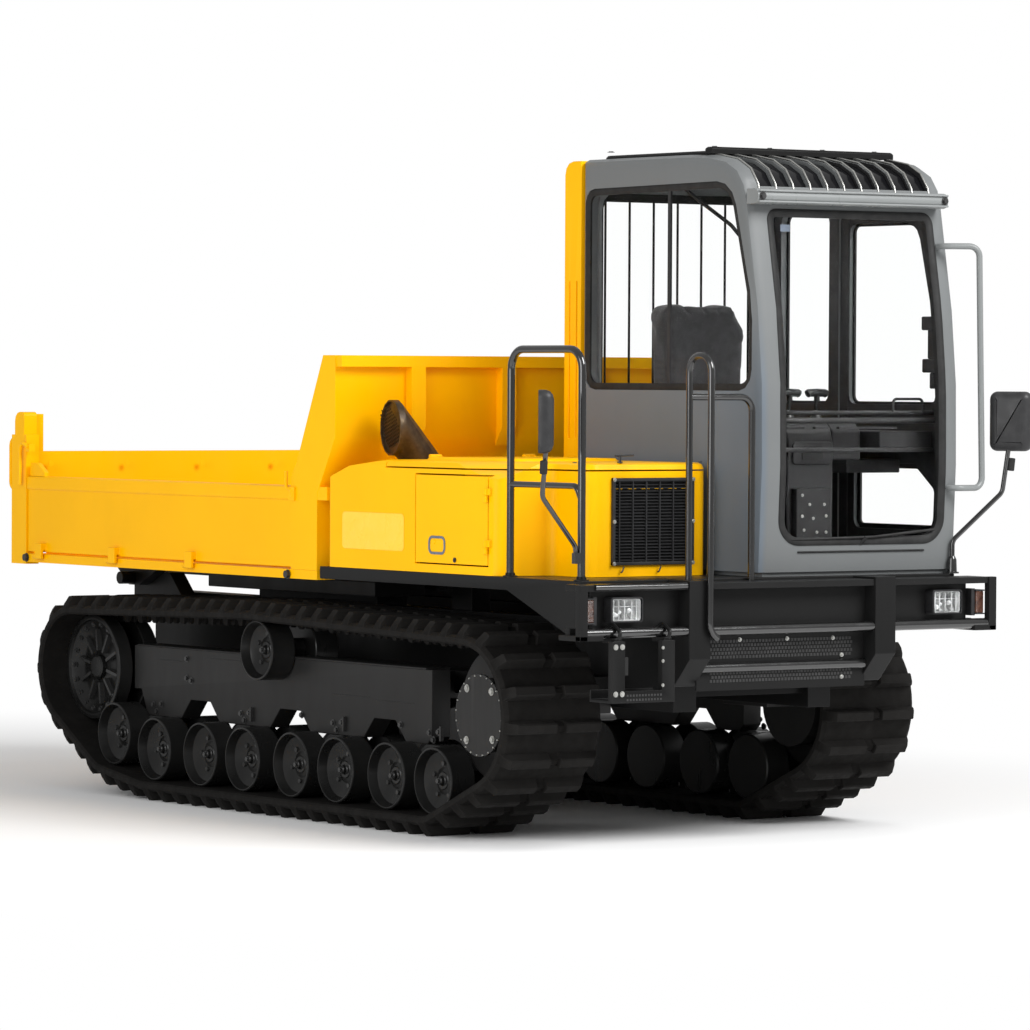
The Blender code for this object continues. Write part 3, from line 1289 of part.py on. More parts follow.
def make_hood(yellow, black):
    """The engine hood on the right: fixed shell, hinged lid, side door, grille and exhaust."""
    over = HOOD_TOP + BEYOND
    right = -BODY_HALF - BEYOND
    rear_slope = plate("yz", [
        (HOOD_REAR + BEYOND, HOOD_SLOPE_LOW), (HOOD_REAR, HOOD_SLOPE_LOW), (HOOD_SLOPE_Y, HOOD_SLOPE_TOP),
        (LID_REAR, HOOD_TOP),
        (LID_REAR, over), (HOOD_REAR + BEYOND, over),
    ], right, 0.0)
    room = plate(
        "xy", inset([corner[:2] for corner in hood_plan()], HOOD_WALL), DECK_TOP - 0.05,
        HOOD_SLOPE_LOW - HOOD_WALL,
    )
    lid_hole = box((right, 0.0), (HOOD_FRONT - BEYOND, LID_REAR), (LID_LOW, over))
    well = cut(
        plate("xy", hood_well(), WELL_LOW, over),
        box((right, 0.0), (LID_REAR - 0.04, 0.0), (WELL_LOW - BEYOND, over + BEYOND)),
    )
    door_hole = box(
        (right, -BODY_HALF + HOOD_WALL + SEAM), (SIDE_DOOR_FRONT, SIDE_DOOR_REAR),
        (SIDE_DOOR_LOW, SIDE_DOOR_TOP),
    )
    grille_hole = box(
        (GRILLE_OUT, GRILLE_IN), (HOOD_FRONT - SEAM, HOOD_FRONT + HOOD_WALL + SEAM),
        (GRILLE_LOW, GRILLE_TOP),
    )
    shell = cut(hood_solid(), rear_slope, room, lid_hole, well, door_hole, grille_hole)
    hinge_z = HOOD_TOP + LID_HINGE_UP
    lid_hinges = [
        hinge_halves((1, 0, 0), (x, LID_REAR - RUN / 2, hinge_z), (0, -0.035, -0.016), (0, 0.035, -0.020))
        for x in LID_HINGE_X
    ]
    hinge_x = -BODY_HALF - SIDE_HINGE_OUT
    side_hinges = [
        hinge_halves(
            (0, 0, 1), (hinge_x, SIDE_DOOR_FRONT + RUN / 2, z), (0.016, 0.03, 0), (0.016, -0.025, 0),
        )
        for z in SIDE_HINGE_Z
    ]
    node(
        "hood_shell", join(shell, *[piece for pair in lid_hinges + side_hinges for piece in pair[1]]),
        yellow,
    )
    node("grille", grille(), black)

    behind = box((right, 0.0), (LID_REAR - RUN, 0.0), (DECK_TOP - BEYOND, over))
    below = box((right, 0.0), (HOOD_FRONT - BEYOND, 0.0), (DECK_TOP - BEYOND, LID_LOW + RUN))
    hollow = cut(
        plate("xy", hood_well(), LID_LOW - BEYOND, HOOD_TOP - LID_SKIN),
        box((right, 0.0), (LID_REAR - HOOD_WALL, 0.0), (LID_LOW - 0.2, over)),
    )
    lid = cut(hood_solid(), behind, below, hollow)
    bulge = plate("xy", rounded(LID_BULGE), HOOD_TOP - SEAM, HOOD_TOP + LID_BULGE_UP)
    bulge = softened(bulge, lambda a, b: min(a.z, b.z) > HOOD_TOP, LID_BULGE_UP * 0.8, 1)
    lid_axis = pivot("lid_axis", (0, LID_REAR - RUN / 2, hinge_z))
    node("hood_lid", join(lid, bulge, *[piece for pair in lid_hinges for piece in pair[0]]), yellow, lid_axis)

    door_axis = pivot("side_door_axis", (hinge_x, SIDE_DOOR_FRONT + RUN / 2, SIDE_DOOR_PIVOT_Z))
    door = box(
        (-BODY_HALF, -BODY_HALF + HOOD_WALL), (SIDE_DOOR_FRONT + RUN, SIDE_DOOR_REAR - RUN),
        (SIDE_DOOR_LOW + RUN, SIDE_DOOR_TOP - RUN),
    )
    latch = box(
        (-BODY_HALF - SEAM, -BODY_HALF + 0.012), (LATCH_Y - LATCH_HALF, LATCH_Y + LATCH_HALF),
        (LATCH_Z - LATCH_HALF, LATCH_Z + LATCH_HALF),
    )
    node(
        "hood_side_door", join(cut(door, latch), *[piece for pair in side_hinges for piece in pair[0]]),
        yellow, door_axis,
    )
    node("exhaust", exhaust(), black)


def hinge_halves(axis, centre, leaf, leaf_fixed, radius=0.010, half=0.03):
    """Two knuckles end to end on a joint's axis, each with a leaf: the moving half and the fixed half."""
    direction = Vector(axis)
    halves = []
    for sign, reach in ((-1, leaf), (1, leaf_fixed)):
        middle = Vector(centre) + direction * sign * (half + GAP) / 2
        knuckle = disc(direction, middle, radius, half, 8)
        corner = middle + Vector(reach)
        ends = [
            sorted((middle[i] - abs(direction[i]) * half / 2, corner[i] + abs(direction[i]) * half / 2))
            for i in range(3)
        ]
        halves.append((knuckle, box(*ends)))
    return halves


def ring(bm, centre, normal, radius, sides=ROUND):
    """A circle of points about a centre."""
    turn = Vector((0, 0, 1)).rotation_difference(Vector(normal)).to_matrix()
    points = []
    for index in range(sides):
        angle = 2 * math.pi * index / sides
        points.append(
            bm.verts.new(Vector(centre) + turn @ Vector((math.cos(angle), math.sin(angle), 0)) * radius)
        )
    return points


def exhaust():
    """The duct: a round mouth facing right over an inclined, narrowing body that enters the hood."""
    mouth = Vector(EXHAUST_MOUTH)
    facing = Vector((-math.cos(math.radians(12)), math.sin(math.radians(12)), 0))
    foot = Vector((mouth.x + 0.20, mouth.y - 0.03, HOOD_SLOPE_TOP - 0.03))
    bm = bmesh.new()
    rings = [ring(bm, place, normal, radius) for place, normal, radius in (
        (mouth, facing, EXHAUST_R), (mouth - facing * 0.03, facing, EXHAUST_R),
        (foot, Vector((-0.45, 0.0, 1.0)), EXHAUST_R * 0.62),
    )]
    for near, far in zip(rings, rings[1:]):
        for index in range(ROUND):
            after = (index + 1) % ROUND
            bm.faces.new((near[index], near[after], far[after], far[index]))
    bm.faces.new(rings[0])
    bm.faces.new(rings[-1])
    duct = mesh_object("duct", bm)
    below = plate("yz", [
        (0.2, 1.0), (0.2, HOOD_SLOPE_LOW), (HOOD_REAR, HOOD_SLOPE_LOW + GAP),
        (HOOD_SLOPE_Y, HOOD_SLOPE_TOP + GAP),
        (LID_REAR, HOOD_TOP + GAP), (-1.0, HOOD_TOP + GAP), (-1.0, 1.0),
    ], -1.2, 0.2)
    recess = disc(facing, mouth, EXHAUST_R - 0.008, 0.03)
    return cut(duct, below, recess)


# Cab
def cab_outline():
    """Side view of the cab: curved front running into the roof, straight rear and floor."""
    front = [(CAB_FRONT + setback, z) for setback, z in CAB_CURVE]
    return [*front, (CAB_REAR, CAB_ROOF), (CAB_REAR, CAB_FLOOR)]


def cab_skin(outer, inner, opening):
    """The curved strip between two depths under the cab's skin, inside an opening."""
    strip = cut(
        plate("yz", inset(cab_outline(), outer), CAB_RIGHT - BEYOND, CAB_LEFT + BEYOND),
        plate("yz", inset(cab_outline(), inner), CAB_RIGHT - 0.2, CAB_LEFT + 0.2),
    )
    return common(strip, opening)


def cab_shell():
    """The cab's shell with its windows, doorway, skylight ribs, foot and fixed hinge halves."""
    solid = plate("yz", cab_outline(), CAB_RIGHT, CAB_LEFT)
    edge = (CAB_RIGHT + GAP, CAB_LEFT - GAP)
    solid = softened(
        solid,
        lambda a, b: max(a.z, b.z) > CAB_FLOOR + GAP and (max(a.x, b.x) < edge[0] or min(a.x, b.x) > edge[1]),
        CAB_ROUND,
    )
    room = plate("yz", inset(cab_outline(), CAB_WALL), CAB_RIGHT + CAB_WALL, CAB_LEFT - CAB_WALL)
    beyond = CAB_WALL + 0.02
    windscreen = plate("xz", rounded(WINDSCREEN), CAB_FRONT - BEYOND, CAB_FRONT + SCREEN_DEEP)
    right = plate("yz", rounded(WINDOW_RIGHT), CAB_RIGHT - BEYOND, CAB_RIGHT + beyond)
    rear = plate("xz", rounded(WINDOW_REAR), CAB_REAR - beyond, CAB_REAR + BEYOND)
    left = plate("yz", rounded(WINDOW_LEFT), CAB_LEFT - beyond, CAB_LEFT + BEYOND)
    doorway = plate("yz", rounded(DOORWAY), CAB_LEFT - beyond, CAB_LEFT + BEYOND)
    skylight = box(
        (SKYLIGHT_RIGHT, SKYLIGHT_LEFT), (CAB_FRONT - BEYOND, SKYLIGHT_REAR),
        (SKYLIGHT_LOW, CAB_ROOF + BEYOND),
    )
    shell = cut(solid, room, windscreen, right, rear, left, doorway, skylight)
    step = (SKYLIGHT_LEFT - SKYLIGHT_RIGHT) / (SKYLIGHT_RIBS + 1)
    bars = blocks([
        (
            (SKYLIGHT_RIGHT + step * index - RIB_WIDE / 2, SKYLIGHT_RIGHT + step * index + RIB_WIDE / 2),
            (CAB_FRONT - BEYOND, SKYLIGHT_REAR + SEAM), (SKYLIGHT_LOW - SEAM, CAB_ROOF + BEYOND),
        )
        for index in range(1, SKYLIGHT_RIBS + 1)
    ])
    ribs = cab_skin(RIB_IN, PANE_IN - GAP, bars)
    foot = box(
        (CAB_RIGHT + FOOT_IN, CAB_LEFT - FOOT_IN), (CAB_FRONT + FOOT_IN, CAB_REAR - FOOT_IN),
        (DECK_TOP + GAP, CAB_FLOOR + SEAM),
    )
    return join(shell, ribs, foot)


def side_pane(name, corners, side_x, inward, glass, parent=None):
    """A flat pane in a side wall's opening."""
    low, high = sorted((side_x + inward * PANE_IN, side_x + inward * (PANE_IN + PANE)))
    return node(name, plate("yz", inset(rounded(corners), GAP), low, high), glass, parent)


def make_cab(grey, black, glass, yellow):
    """The offset cab: shell, roof, glass, door, bars and pillar."""
    hinge_x = CAB_LEFT + DOOR_HINGE_OUT
    hinges = [
        hinge_halves(
            (0, 0, 1), (hinge_x, DOOR_REAR - RUN / 2, z), (-0.018, -0.045, 0), (-0.018, 0.04, 0), 0.012,
        )
        for z in DOOR_HINGE_Z
    ]
    node("cab_shell", join(cab_shell(), *[piece for pair in hinges for piece in pair[1]]), grey)

    top = CAB_ROOF + GAP
    hump = plate("xy", rounded(ROOF_HUMP), top, ROOF_HUMP_TOP)
    hump = softened(hump, lambda a, b: min(a.z, b.z) > top + GAP, 0.010, 1)
    rail_y = (SKYLIGHT_REAR - 0.025, SKYLIGHT_REAR + 0.025)
    rail = box((CAB_RIGHT + CAB_ROUND, CAB_LEFT - CAB_ROUND), rail_y, (top, ROOF_RAIL_TOP))
    rail = softened(rail, lambda a, b: min(a.z, b.z) > top + GAP, 0.008, 1)
    node("cab_roof", join(hump, rail), grey)
    visor = rounded(
        (
            (VISOR_FRONT, VISOR_LOW, 0.03), (VISOR_FRONT, VISOR_TOP, 0.03), (VISOR_REAR, VISOR_TOP, 0),
            (VISOR_REAR, VISOR_LOW, 0),
        )
    )
    node("visor_bar", plate("yz", visor, CAB_RIGHT, VISOR_OUT), grey)

    screen = plate("xz", inset(rounded(WINDSCREEN), GAP), CAB_FRONT - BEYOND, CAB_FRONT + SCREEN_DEEP)
    node("windscreen", cab_skin(PANE_IN, PANE_IN + PANE, screen), glass)
    opening = box(
        (SKYLIGHT_RIGHT + GAP, SKYLIGHT_LEFT - GAP), (CAB_FRONT - BEYOND, SKYLIGHT_REAR - GAP),
        (SKYLIGHT_LOW + GAP, CAB_ROOF + BEYOND),
    )
    node("roof_glass", cab_skin(PANE_IN, PANE_IN + PANE, opening), glass)
    side_pane("window_right", WINDOW_RIGHT, CAB_RIGHT, 1, glass)
    side_pane("window_left", WINDOW_LEFT, CAB_LEFT, -1, glass)
    rear_y = (CAB_REAR - PANE_IN - PANE, CAB_REAR - PANE_IN)
    node("window_rear", plate("xz", inset(rounded(WINDOW_REAR), GAP), *rear_y), glass)

    hinge = pivot("door_axis", (hinge_x, DOOR_REAR - RUN / 2, DOOR_PIVOT_Z))
    door = plate("yz", inset(rounded(DOORWAY), RUN), CAB_LEFT - DOOR_THICK, CAB_LEFT)
    for corners in (DOOR_WINDOW, DOOR_WINDOW_LOW):
        door = cut(door, plate("yz", rounded(corners), CAB_LEFT - BEYOND, CAB_LEFT + BEYOND))
    node("cab_door", join(door, *[piece for pair in hinges for piece in pair[0]]), grey, hinge)
    side_pane("door_glass", DOOR_WINDOW, CAB_LEFT, -1, glass, hinge)
    side_pane("door_glass_low", DOOR_WINDOW_LOW, CAB_LEFT, -1, glass, hinge)

    low, high = GRAB_Z
    ends = [CAB_FRONT + interpolated(z - GRAB_R) - 4 * GAP for z in (low, high)]
    rail = bend([
        (GRAB_X, ends[0], low), (GRAB_X, ends[0] - 0.05, low), (GRAB_OUT, GRAB_Y, low),
        (GRAB_OUT, GRAB_Y, high),
        (GRAB_X, ends[1] - 0.05, high), (GRAB_X, ends[1], high),
    ], 0.02, 2)
    node("grab_handle", tube(rail, GRAB_R), grey)

    bars = [
        box(
            (x - GUARD_BAR, x + GUARD_BAR), (CAB_REAR + GAP, CAB_REAR + 0.02),
            (GUARD_LOW - 0.03, GUARD_TOP + 0.03),
        )
        for x in [GUARD_FIRST_X + GUARD_PITCH * index for index in range(GUARD_BARS)]
    ]
    last = GUARD_FIRST_X + GUARD_PITCH * (GUARD_BARS - 1)
    ties = [
        box(
            (GUARD_FIRST_X - 0.05, last + 0.05), (CAB_REAR + 0.012, CAB_REAR + 0.028),
            (z - 0.012, z + 0.012),
        )
        for z in (GUARD_LOW, GUARD_TOP)
    ]
    node("rear_guard", join(*ties, *bars), black)

    rear = CAB_REAR + PILLAR_DEPTH
    outline = rounded(
        (
            (CAB_REAR + GAP, DECK_TOP + GAP, 0), (rear, DECK_TOP + GAP, 0), (rear, CAB_ROOF - 0.005, 0.06),
            (CAB_REAR + GAP, CAB_ROOF - 0.005, 0),
        )
    )
    pillar = plate("yz", outline, CAB_RIGHT, CAB_RIGHT + PILLAR_THICK)
    slots = blocks([
        ((CAB_RIGHT - SEAM, CAB_RIGHT + SLOT_DEEP), (CAB_REAR + y, CAB_REAR + y + SLOT_WIDE), SLOT_Z)
        for y in PILLAR_SLOTS
    ])
    node("rear_pillar", cut(pillar, slots), yellow)


def interpolated(z):
    """How far the cab's front stands behind its foremost point at a height."""
    for (near, low), (far, high) in zip(CAB_CURVE, CAB_CURVE[1:]):
        if z <= high:
            return near + (far - near) * (z - low) / (high - low)
    return CAB_CURVE[-1][0]


def make_inside(black, seat_black):
    """Seat on its stand, console with the two travel levers."""
    floor = CAB_FLOOR + CAB_WALL + GAP
    middle = SEAT_X
    across = (middle - SEAT_STAND, middle + SEAT_STAND)
    node("seat_stand", box(across, (SEAT_FRONT + 0.10, SEAT_REAR - 0.02), (floor, SEAT_Z)), black)
    cushion = rounded((
        (middle - SEAT_HALF, SEAT_FRONT, 0.07), (middle - SEAT_HALF, SEAT_REAR, 0.05),
        (middle + SEAT_HALF, SEAT_REAR, 0.05),
        (middle + SEAT_HALF, SEAT_FRONT, 0.07),
    ))
    node("seat_cushion", plate("xy", cushion, SEAT_Z + GAP, SEAT_Z + SEAT_THICK), seat_black)
    node(
        "seat_back", plate("xz", rounded(SEAT_BACK), SEAT_REAR + GAP, SEAT_REAR + SEAT_BACK_THICK),
        seat_black,
    )
    left = LEVER_X[0] - CONSOLE_BESIDE[0]
    right = LEVER_X[1] + CONSOLE_BESIDE[1]
    front = CONSOLE_FRONT
    outline = [
        (front, floor), (front, CONSOLE_TOP - 0.04), (front + 0.03, CONSOLE_TOP),
        (CONSOLE_REAR, CONSOLE_TOP - 0.02), (CONSOLE_REAR, floor),
    ]
    console = plate("yz", outline, left, right)
    levers = [
        tube([(x, LEVER_Y, CONSOLE_TOP - BEYOND), (x, LEVER_Y - 0.02, GRIP_Z)], CONTROL_R, 8)
        for x in LEVER_X
    ]
    grips = [
        tube([(x - GRIP_HALF, LEVER_Y - 0.02, GRIP_Z), (x + GRIP_HALF, LEVER_Y - 0.02, GRIP_Z)], GRIP_R, 8)
        for x in LEVER_X
    ]
    node("console", join(console, *levers, *grips), black)


# Front
def bumper():
    """Top channel, open end frames, lamp plates, upright plates, cross tubes, panel and skirt."""
    y = BUMPER_Y
    back = DECK_FRONT - GAP
    reach = BUMPER_HALF - BUMPER_BAR
    top = box((-reach, reach), (y + SEAM, back), (BUMPER_TOP - BUMPER_THICK, BUMPER_TOP))
    pieces = []
    plate_y = (LAMP_PLATE_Y, LAMP_PLATE_Y + BUMPER_BAR)
    for side in (-1, 1):
        pieces.append(
            box(span(side, reach - SEAM, BUMPER_HALF), (y, y + BUMPER_BAR), (BUMPER_LOW, BUMPER_TOP))
        )
        pieces.append(
            box(
                span(side, reach - BUMPER_BAR, reach), (y + SEAM, back),
                (UPPER_BAR_Z - BAR_R, BUMPER_TOP - SEAM),
            )
        )
        pieces.append(
            box(span(side, UPRIGHT_OUT - SEAM, LAMP_PLATE_OUT), plate_y, (UPPER_BAR_Z, BUMPER_TOP - SEAM))
        )
        outline = [
            (y, BUMPER_TOP + UPRIGHT_PROUD), (y, UPRIGHT_KNEE), (y + 0.11, UPRIGHT_LOW),
            (y + 0.15, UPRIGHT_LOW), (back, UPRIGHT_KNEE),
            (back, BUMPER_TOP + UPRIGHT_PROUD),
        ]
        pieces.append(plate("yz", outline, *span(side, UPRIGHT_IN, UPRIGHT_OUT)))
    upper = tube([(-reach, y + 0.025, UPPER_BAR_Z), (reach, y + 0.025, UPPER_BAR_Z)], BAR_R)
    lower = tube(
        [(-UPRIGHT_IN - SEAM, y + 0.08, LOWER_BAR_Z), (UPRIGHT_IN + SEAM, y + 0.08, LOWER_BAR_Z)], BAR_R,
    )
    across = (-UPRIGHT_IN - SEAM, UPRIGHT_IN + SEAM)
    panel = box(across, plate_y, (SKIRT_TOP, BUMPER_TOP - SEAM))
    skirt = box(across, (LAMP_PLATE_Y + SEAM, LAMP_PLATE_Y + 2 * SEAM), (SKIRT_LOW, SKIRT_TOP + SEAM))
    return join(top, *pieces, upper, lower, panel, skirt)


def boarding_step():
    """Two hangers on the bumper's tube with a folded tread between their feet."""
    front = BUMPER_Y - STEP_WALL
    half = STEP_HANGER_HALF
    hangers = [
        box((x - half, x + half), (front, BUMPER_Y - GAP), (STEP_LOW, STEP_TOP)) for x in STEP_HANGER_X
    ]
    outer = (STEP_HANGER_X[0] - half, STEP_HANGER_X[1] + half)
    rim = STEP_LOW + STEP_RIM
    pan = STEP_LOW + STEP_PAN
    tread = plate("yz", [
        (front, STEP_LOW), (front, rim), (front + SEAM, rim), (front + SEAM, pan),
        (front + STEP_DEEP - SEAM, pan), (front + STEP_DEEP - SEAM, rim), (front + STEP_DEEP, rim),
        (front + STEP_DEEP, STEP_LOW),
    ], *outer)
    # the tube is six-sided with a flat below
    hook_top = UPPER_BAR_Z - BAR_R * math.cos(math.radians(30)) - GAP
    hooks = [
        box((x - 0.02, x + 0.02), (front + 0.005, BUMPER_Y + 0.06), (hook_top - 0.02, hook_top))
        for x in STEP_HANGER_X
    ]
    return join(tread, *hangers, *hooks)


def handrail_corner():
    """The rail round the deck's right front corner with its cross bar."""
    x = CORNER_RAIL_X
    rear, front = CORNER_RAIL_Y
    foot = DECK_TOP + GAP
    rail = bend(
        [(x, rear, foot), (x, rear, CORNER_RAIL_TOP), (x, front, CORNER_RAIL_TOP), (x, front, foot)], 0.08,
    )
    middle = CORNER_RAIL_MIDDLE
    cross = bend([(x, rear, middle), (x, front + 0.05, middle), (x, front, middle - 0.05)], 0.03, 2)
    return join(tube(rail, RAIL_R), tube(cross, RAIL_R * 0.8))


def handrail_centre():
    """The loop at the bumper's right upright, hooked over the tube, and the rail to its left."""
    x, far_x = CENTRE_RAIL_X
    rear, front = CENTRE_RAIL_Y
    foot = BUMPER_TOP + UPRIGHT_PROUD + GAP
    loop = bend(
        [
            (x, rear, foot), (x, rear, CENTRE_RAIL_TOP), (x, front, CENTRE_RAIL_TOP),
            (x, front, CENTRE_RAIL_END),
        ],
        0.07,
    )
    side = bend(
        [(x, rear, CENTRE_RAIL_MIDDLE), (far_x, rear, CENTRE_RAIL_MIDDLE), (far_x, rear, BUMPER_TOP + GAP)],
        0.06,
    )
    return join(tube(loop, CENTRE_RAIL_R), tube(side, CENTRE_RAIL_R))


def mirror(side):
    """A mirror's head, turned outwards, on its bent arm from the deck's corner."""
    x = side * MIRROR_FOOT_X
    right = side < 0
    y = MIRROR_FOOT_Y[0] if right else MIRROR_FOOT_Y[1]
    low = MIRROR_CLAMP_Z if right else DECK_TOP + GAP
    arm = bend([
        (x, y, low), (x, y, MIRROR_ARM_Z[0]), (side * (MIRROR_X - 0.02), y - 0.07, MIRROR_ARM_Z[1]),
        (side * MIRROR_X, MIRROR_Y, MIRROR_TOP - 0.07),
    ], 0.05)
    half = MIRROR_WIDE / 2
    outline = rounded(
        (
            (-half, MIRROR_LOW, 0.03), (-half, MIRROR_TOP, 0.03), (half, MIRROR_TOP, 0.03),
            (half, MIRROR_LOW, 0.03),
        )
    )
    head = plate("yz", outline, -MIRROR_THICK / 2, MIRROR_THICK / 2)
    turn = Matrix.Rotation(side * math.radians(MIRROR_YAW_DEG), 4, "Z")
    head.data.transform(Matrix.Translation((side * MIRROR_X, MIRROR_Y, 0)) @ turn)
    return join(tube(arm, MIRROR_ARM_R), head)


def make_front(black, lamp):
    """Bumper, lamps, step, handrails and mirrors."""
    node("bumper", bumper(), black)
    half_x, half_z = LAMP_HALF
    for side, word in ((-1, "right"), (1, "left")):
        x = side * LAMP_X
        outline = rounded(
            (
                (x - half_x, LAMP_Z - half_z, 0.012), (x - half_x, LAMP_Z + half_z, 0.012),
                (x + half_x, LAMP_Z + half_z, 0.012), (x + half_x, LAMP_Z - half_z, 0.012),
            )
        )
        node(f"headlight_{word}", plate("xz", outline, LAMP_PLATE_Y - LAMP_DEPTH, LAMP_PLATE_Y - GAP), lamp)
        node(f"mirror_{word}", mirror(side), black)
    node("boarding_step", boarding_step(), black)
    node("handrail_corner", handrail_corner(), black)
    node("handrail_centre", handrail_centre(), black)


def build():
    """Make every piece."""
    yellow = paint("yellow_paint", YELLOW, 0.35)
    grey = paint("grey_paint", CAB_GREY, 0.40)
    black = paint("black_paint", FRAME_BLACK, 0.50)
    rubber = paint("rubber", RUBBER, 0.85)
    steel = paint("steel", STEEL, 0.35, 1.0)
    glass = paint("glass", GLASS, 0.05, 0.0, 0.2)
    lamp = paint("lamp_glass", LAMP, 0.10, 0.2)
    seat_black = paint("seat_cloth", SEAT_BLACK, 0.8)
    make_tracks(rubber, black)
    make_frame(black, steel)
    make_bed(yellow)
    make_hoist(black, steel)
    make_hood(yellow, black)
    make_cab(grey, black, glass, yellow)
    make_inside(black, seat_black)
    make_front(black, lamp)


clear_scene()
DUMPER = new_collection("tracked_dumper")
CUTTERS = new_collection("cutters")
MACHINE = bpy.data.objects.new("machine", None)
DUMPER.objects.link(MACHINE)
MACHINE.location = (0, -MIDDLE_Y, 0)
build()
bpy.context.view_layer.update()
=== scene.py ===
"""Looks of the tracked dumper: finishes, fasteners, glass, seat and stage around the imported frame."""

import json
import math

import bmesh
import bpy
from mathutils import Matrix, Vector


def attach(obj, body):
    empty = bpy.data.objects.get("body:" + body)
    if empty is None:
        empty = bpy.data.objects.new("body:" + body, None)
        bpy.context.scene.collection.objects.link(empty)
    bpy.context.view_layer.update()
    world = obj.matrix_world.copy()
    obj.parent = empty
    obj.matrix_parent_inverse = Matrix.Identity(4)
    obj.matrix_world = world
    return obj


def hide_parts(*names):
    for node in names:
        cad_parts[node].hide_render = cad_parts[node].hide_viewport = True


bl_info = {
    "name": "Tracked dumper",
    "version": (1, 0, 0),
    "blender": (4, 5, 0),
    "location": "3D View > Sidebar > Dumper",
    "description": "Dresses the packed frame of a tracked dumper with its finishes and small parts",
    "category": "Object",
}

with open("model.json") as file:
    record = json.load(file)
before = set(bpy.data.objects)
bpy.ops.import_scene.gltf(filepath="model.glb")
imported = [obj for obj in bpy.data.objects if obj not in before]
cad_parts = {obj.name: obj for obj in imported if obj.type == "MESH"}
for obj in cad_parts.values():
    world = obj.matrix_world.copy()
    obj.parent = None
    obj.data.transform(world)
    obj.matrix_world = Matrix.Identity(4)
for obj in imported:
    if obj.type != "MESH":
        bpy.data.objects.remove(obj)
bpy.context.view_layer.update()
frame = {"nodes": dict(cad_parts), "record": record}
BODY_OF = {node: body for body, nodes in frame["record"]["behaviour"]["bodies"].items() for node in nodes}

# Camera: solved from the machine's own straight edges
CAMERA_PLACE = (-14.003, -20.459, 1.973)
CAMERA_YAW_DEG = 34.931
CAMERA_PITCH_DEG = 1.467
CAMERA_ROLL_DEG = 0.309
CAMERA_LENS_MM = 188.8
SENSOR_MM = 36.0

SHARP_DEG = 30.0
DECK_TOP = 1.1285
CAB_FRONT = -2.066
MIDDLE_Y = 0.235        # lengths along Y are measured from the bed's headboard, as in the part's source


# Geometry helpers
def at(x, y, z):
    """A world place from a length along Y that is measured from the headboard."""
    return Vector((x, y - MIDDLE_Y, z))


def span(side, near, far):
    """Two distances from the machine's middle on one side, in rising order."""
    return tuple(sorted((side * near, side * far)))


def bend(corners, radius, steps=4):
    """Points of a bar through the corners, each inner corner rounded by an arc."""
    points = [Vector(corners[0])]
    for before, corner, after in zip(corners, corners[1:], corners[2:]):
        corner = Vector(corner)
        back = (Vector(before) - corner).normalized()
        ahead = (Vector(after) - corner).normalized()
        half = back.angle(ahead) / 2
        setback = radius / math.tan(half)
        centre = corner + (back + ahead).normalized() * radius / math.sin(half)
        start = corner + back * setback - centre
        axis = start.cross(corner + ahead * setback - centre).normalized()
        for step in range(steps + 1):
            points.append(centre + Matrix.Rotation((math.pi - 2 * half) * step / steps, 3, axis) @ start)
    points.append(Vector(corners[-1]))
    return points


def rounded(corners, step_deg=15.0):
    """An outline from corners of (u, v, radius), each rounded by an arc; a radius of 0 stays sharp."""
    points = []
    for index, (u, v, radius) in enumerate(corners):
        corner = Vector((u, v))
        if radius == 0:
            points.append(corner)
            continue
        back = (Vector(corners[index - 1][:2]) - corner).normalized()
        ahead = (Vector(corners[(index + 1) % len(corners)][:2]) - corner).normalized()
        half = back.angle(ahead) / 2
        setback = radius / math.tan(half)
        centre = corner + (back + ahead).normalized() * radius / math.sin(half)
        first = corner + back * setback - centre
        last = corner + ahead * setback - centre
        start = math.atan2(first.y, first.x)
        sweep = (math.atan2(last.y, last.x) - start + math.pi) % (2 * math.pi) - math.pi
        parts = max(1, round(abs(sweep) / math.radians(step_deg)))
        for step in range(parts + 1):
            angle = start + sweep * step / parts
            points.append(centre + Vector((math.cos(angle), math.sin(angle))) * radius)
    return points


def rectangle(u, v, radius, step_deg=15.0):
    """An outline between the low and high value of each axis with rounded corners."""
    return rounded(
        [(u[0], v[0], radius), (u[0], v[1], radius), (u[1], v[1], radius), (u[1], v[0], radius)], step_deg,
    )


def inset(outline, distance):
    """An outline drawn in by a distance along its edges' normals; a negative distance grows it."""
    points = [Vector(point[:2]) for point in outline]
    following = points[1:] + points[:1]
    area = sum(near.x * far.y - far.x * near.y for near, far in zip(points, following))
    inward = math.copysign(1.0, area)
    moved = []
    for before, point, after in zip(points[-1:] + points[:-1], points, following):
        first = (point - before).normalized()
        second = (after - point).normalized()
        normal = Vector((-first.y - second.y, first.x + second.x)).normalized() * inward
        share = normal.dot(Vector((-first.y, first.x)) * inward)
        moved.append(point + normal * distance / max(0.3, share))
    return moved


PLANES = {
    # plane: (direction of the outline's first value, of its second value, of the thickness)
    "yz": (Vector((0, 1, 0)), Vector((0, 0, 1)), Vector((1, 0, 0))),
    "xz": (Vector((1, 0, 0)), Vector((0, 0, 1)), Vector((0, 1, 0))),
    "xy": (Vector((1, 0, 0)), Vector((0, 1, 0)), Vector((0, 0, 1))),
}


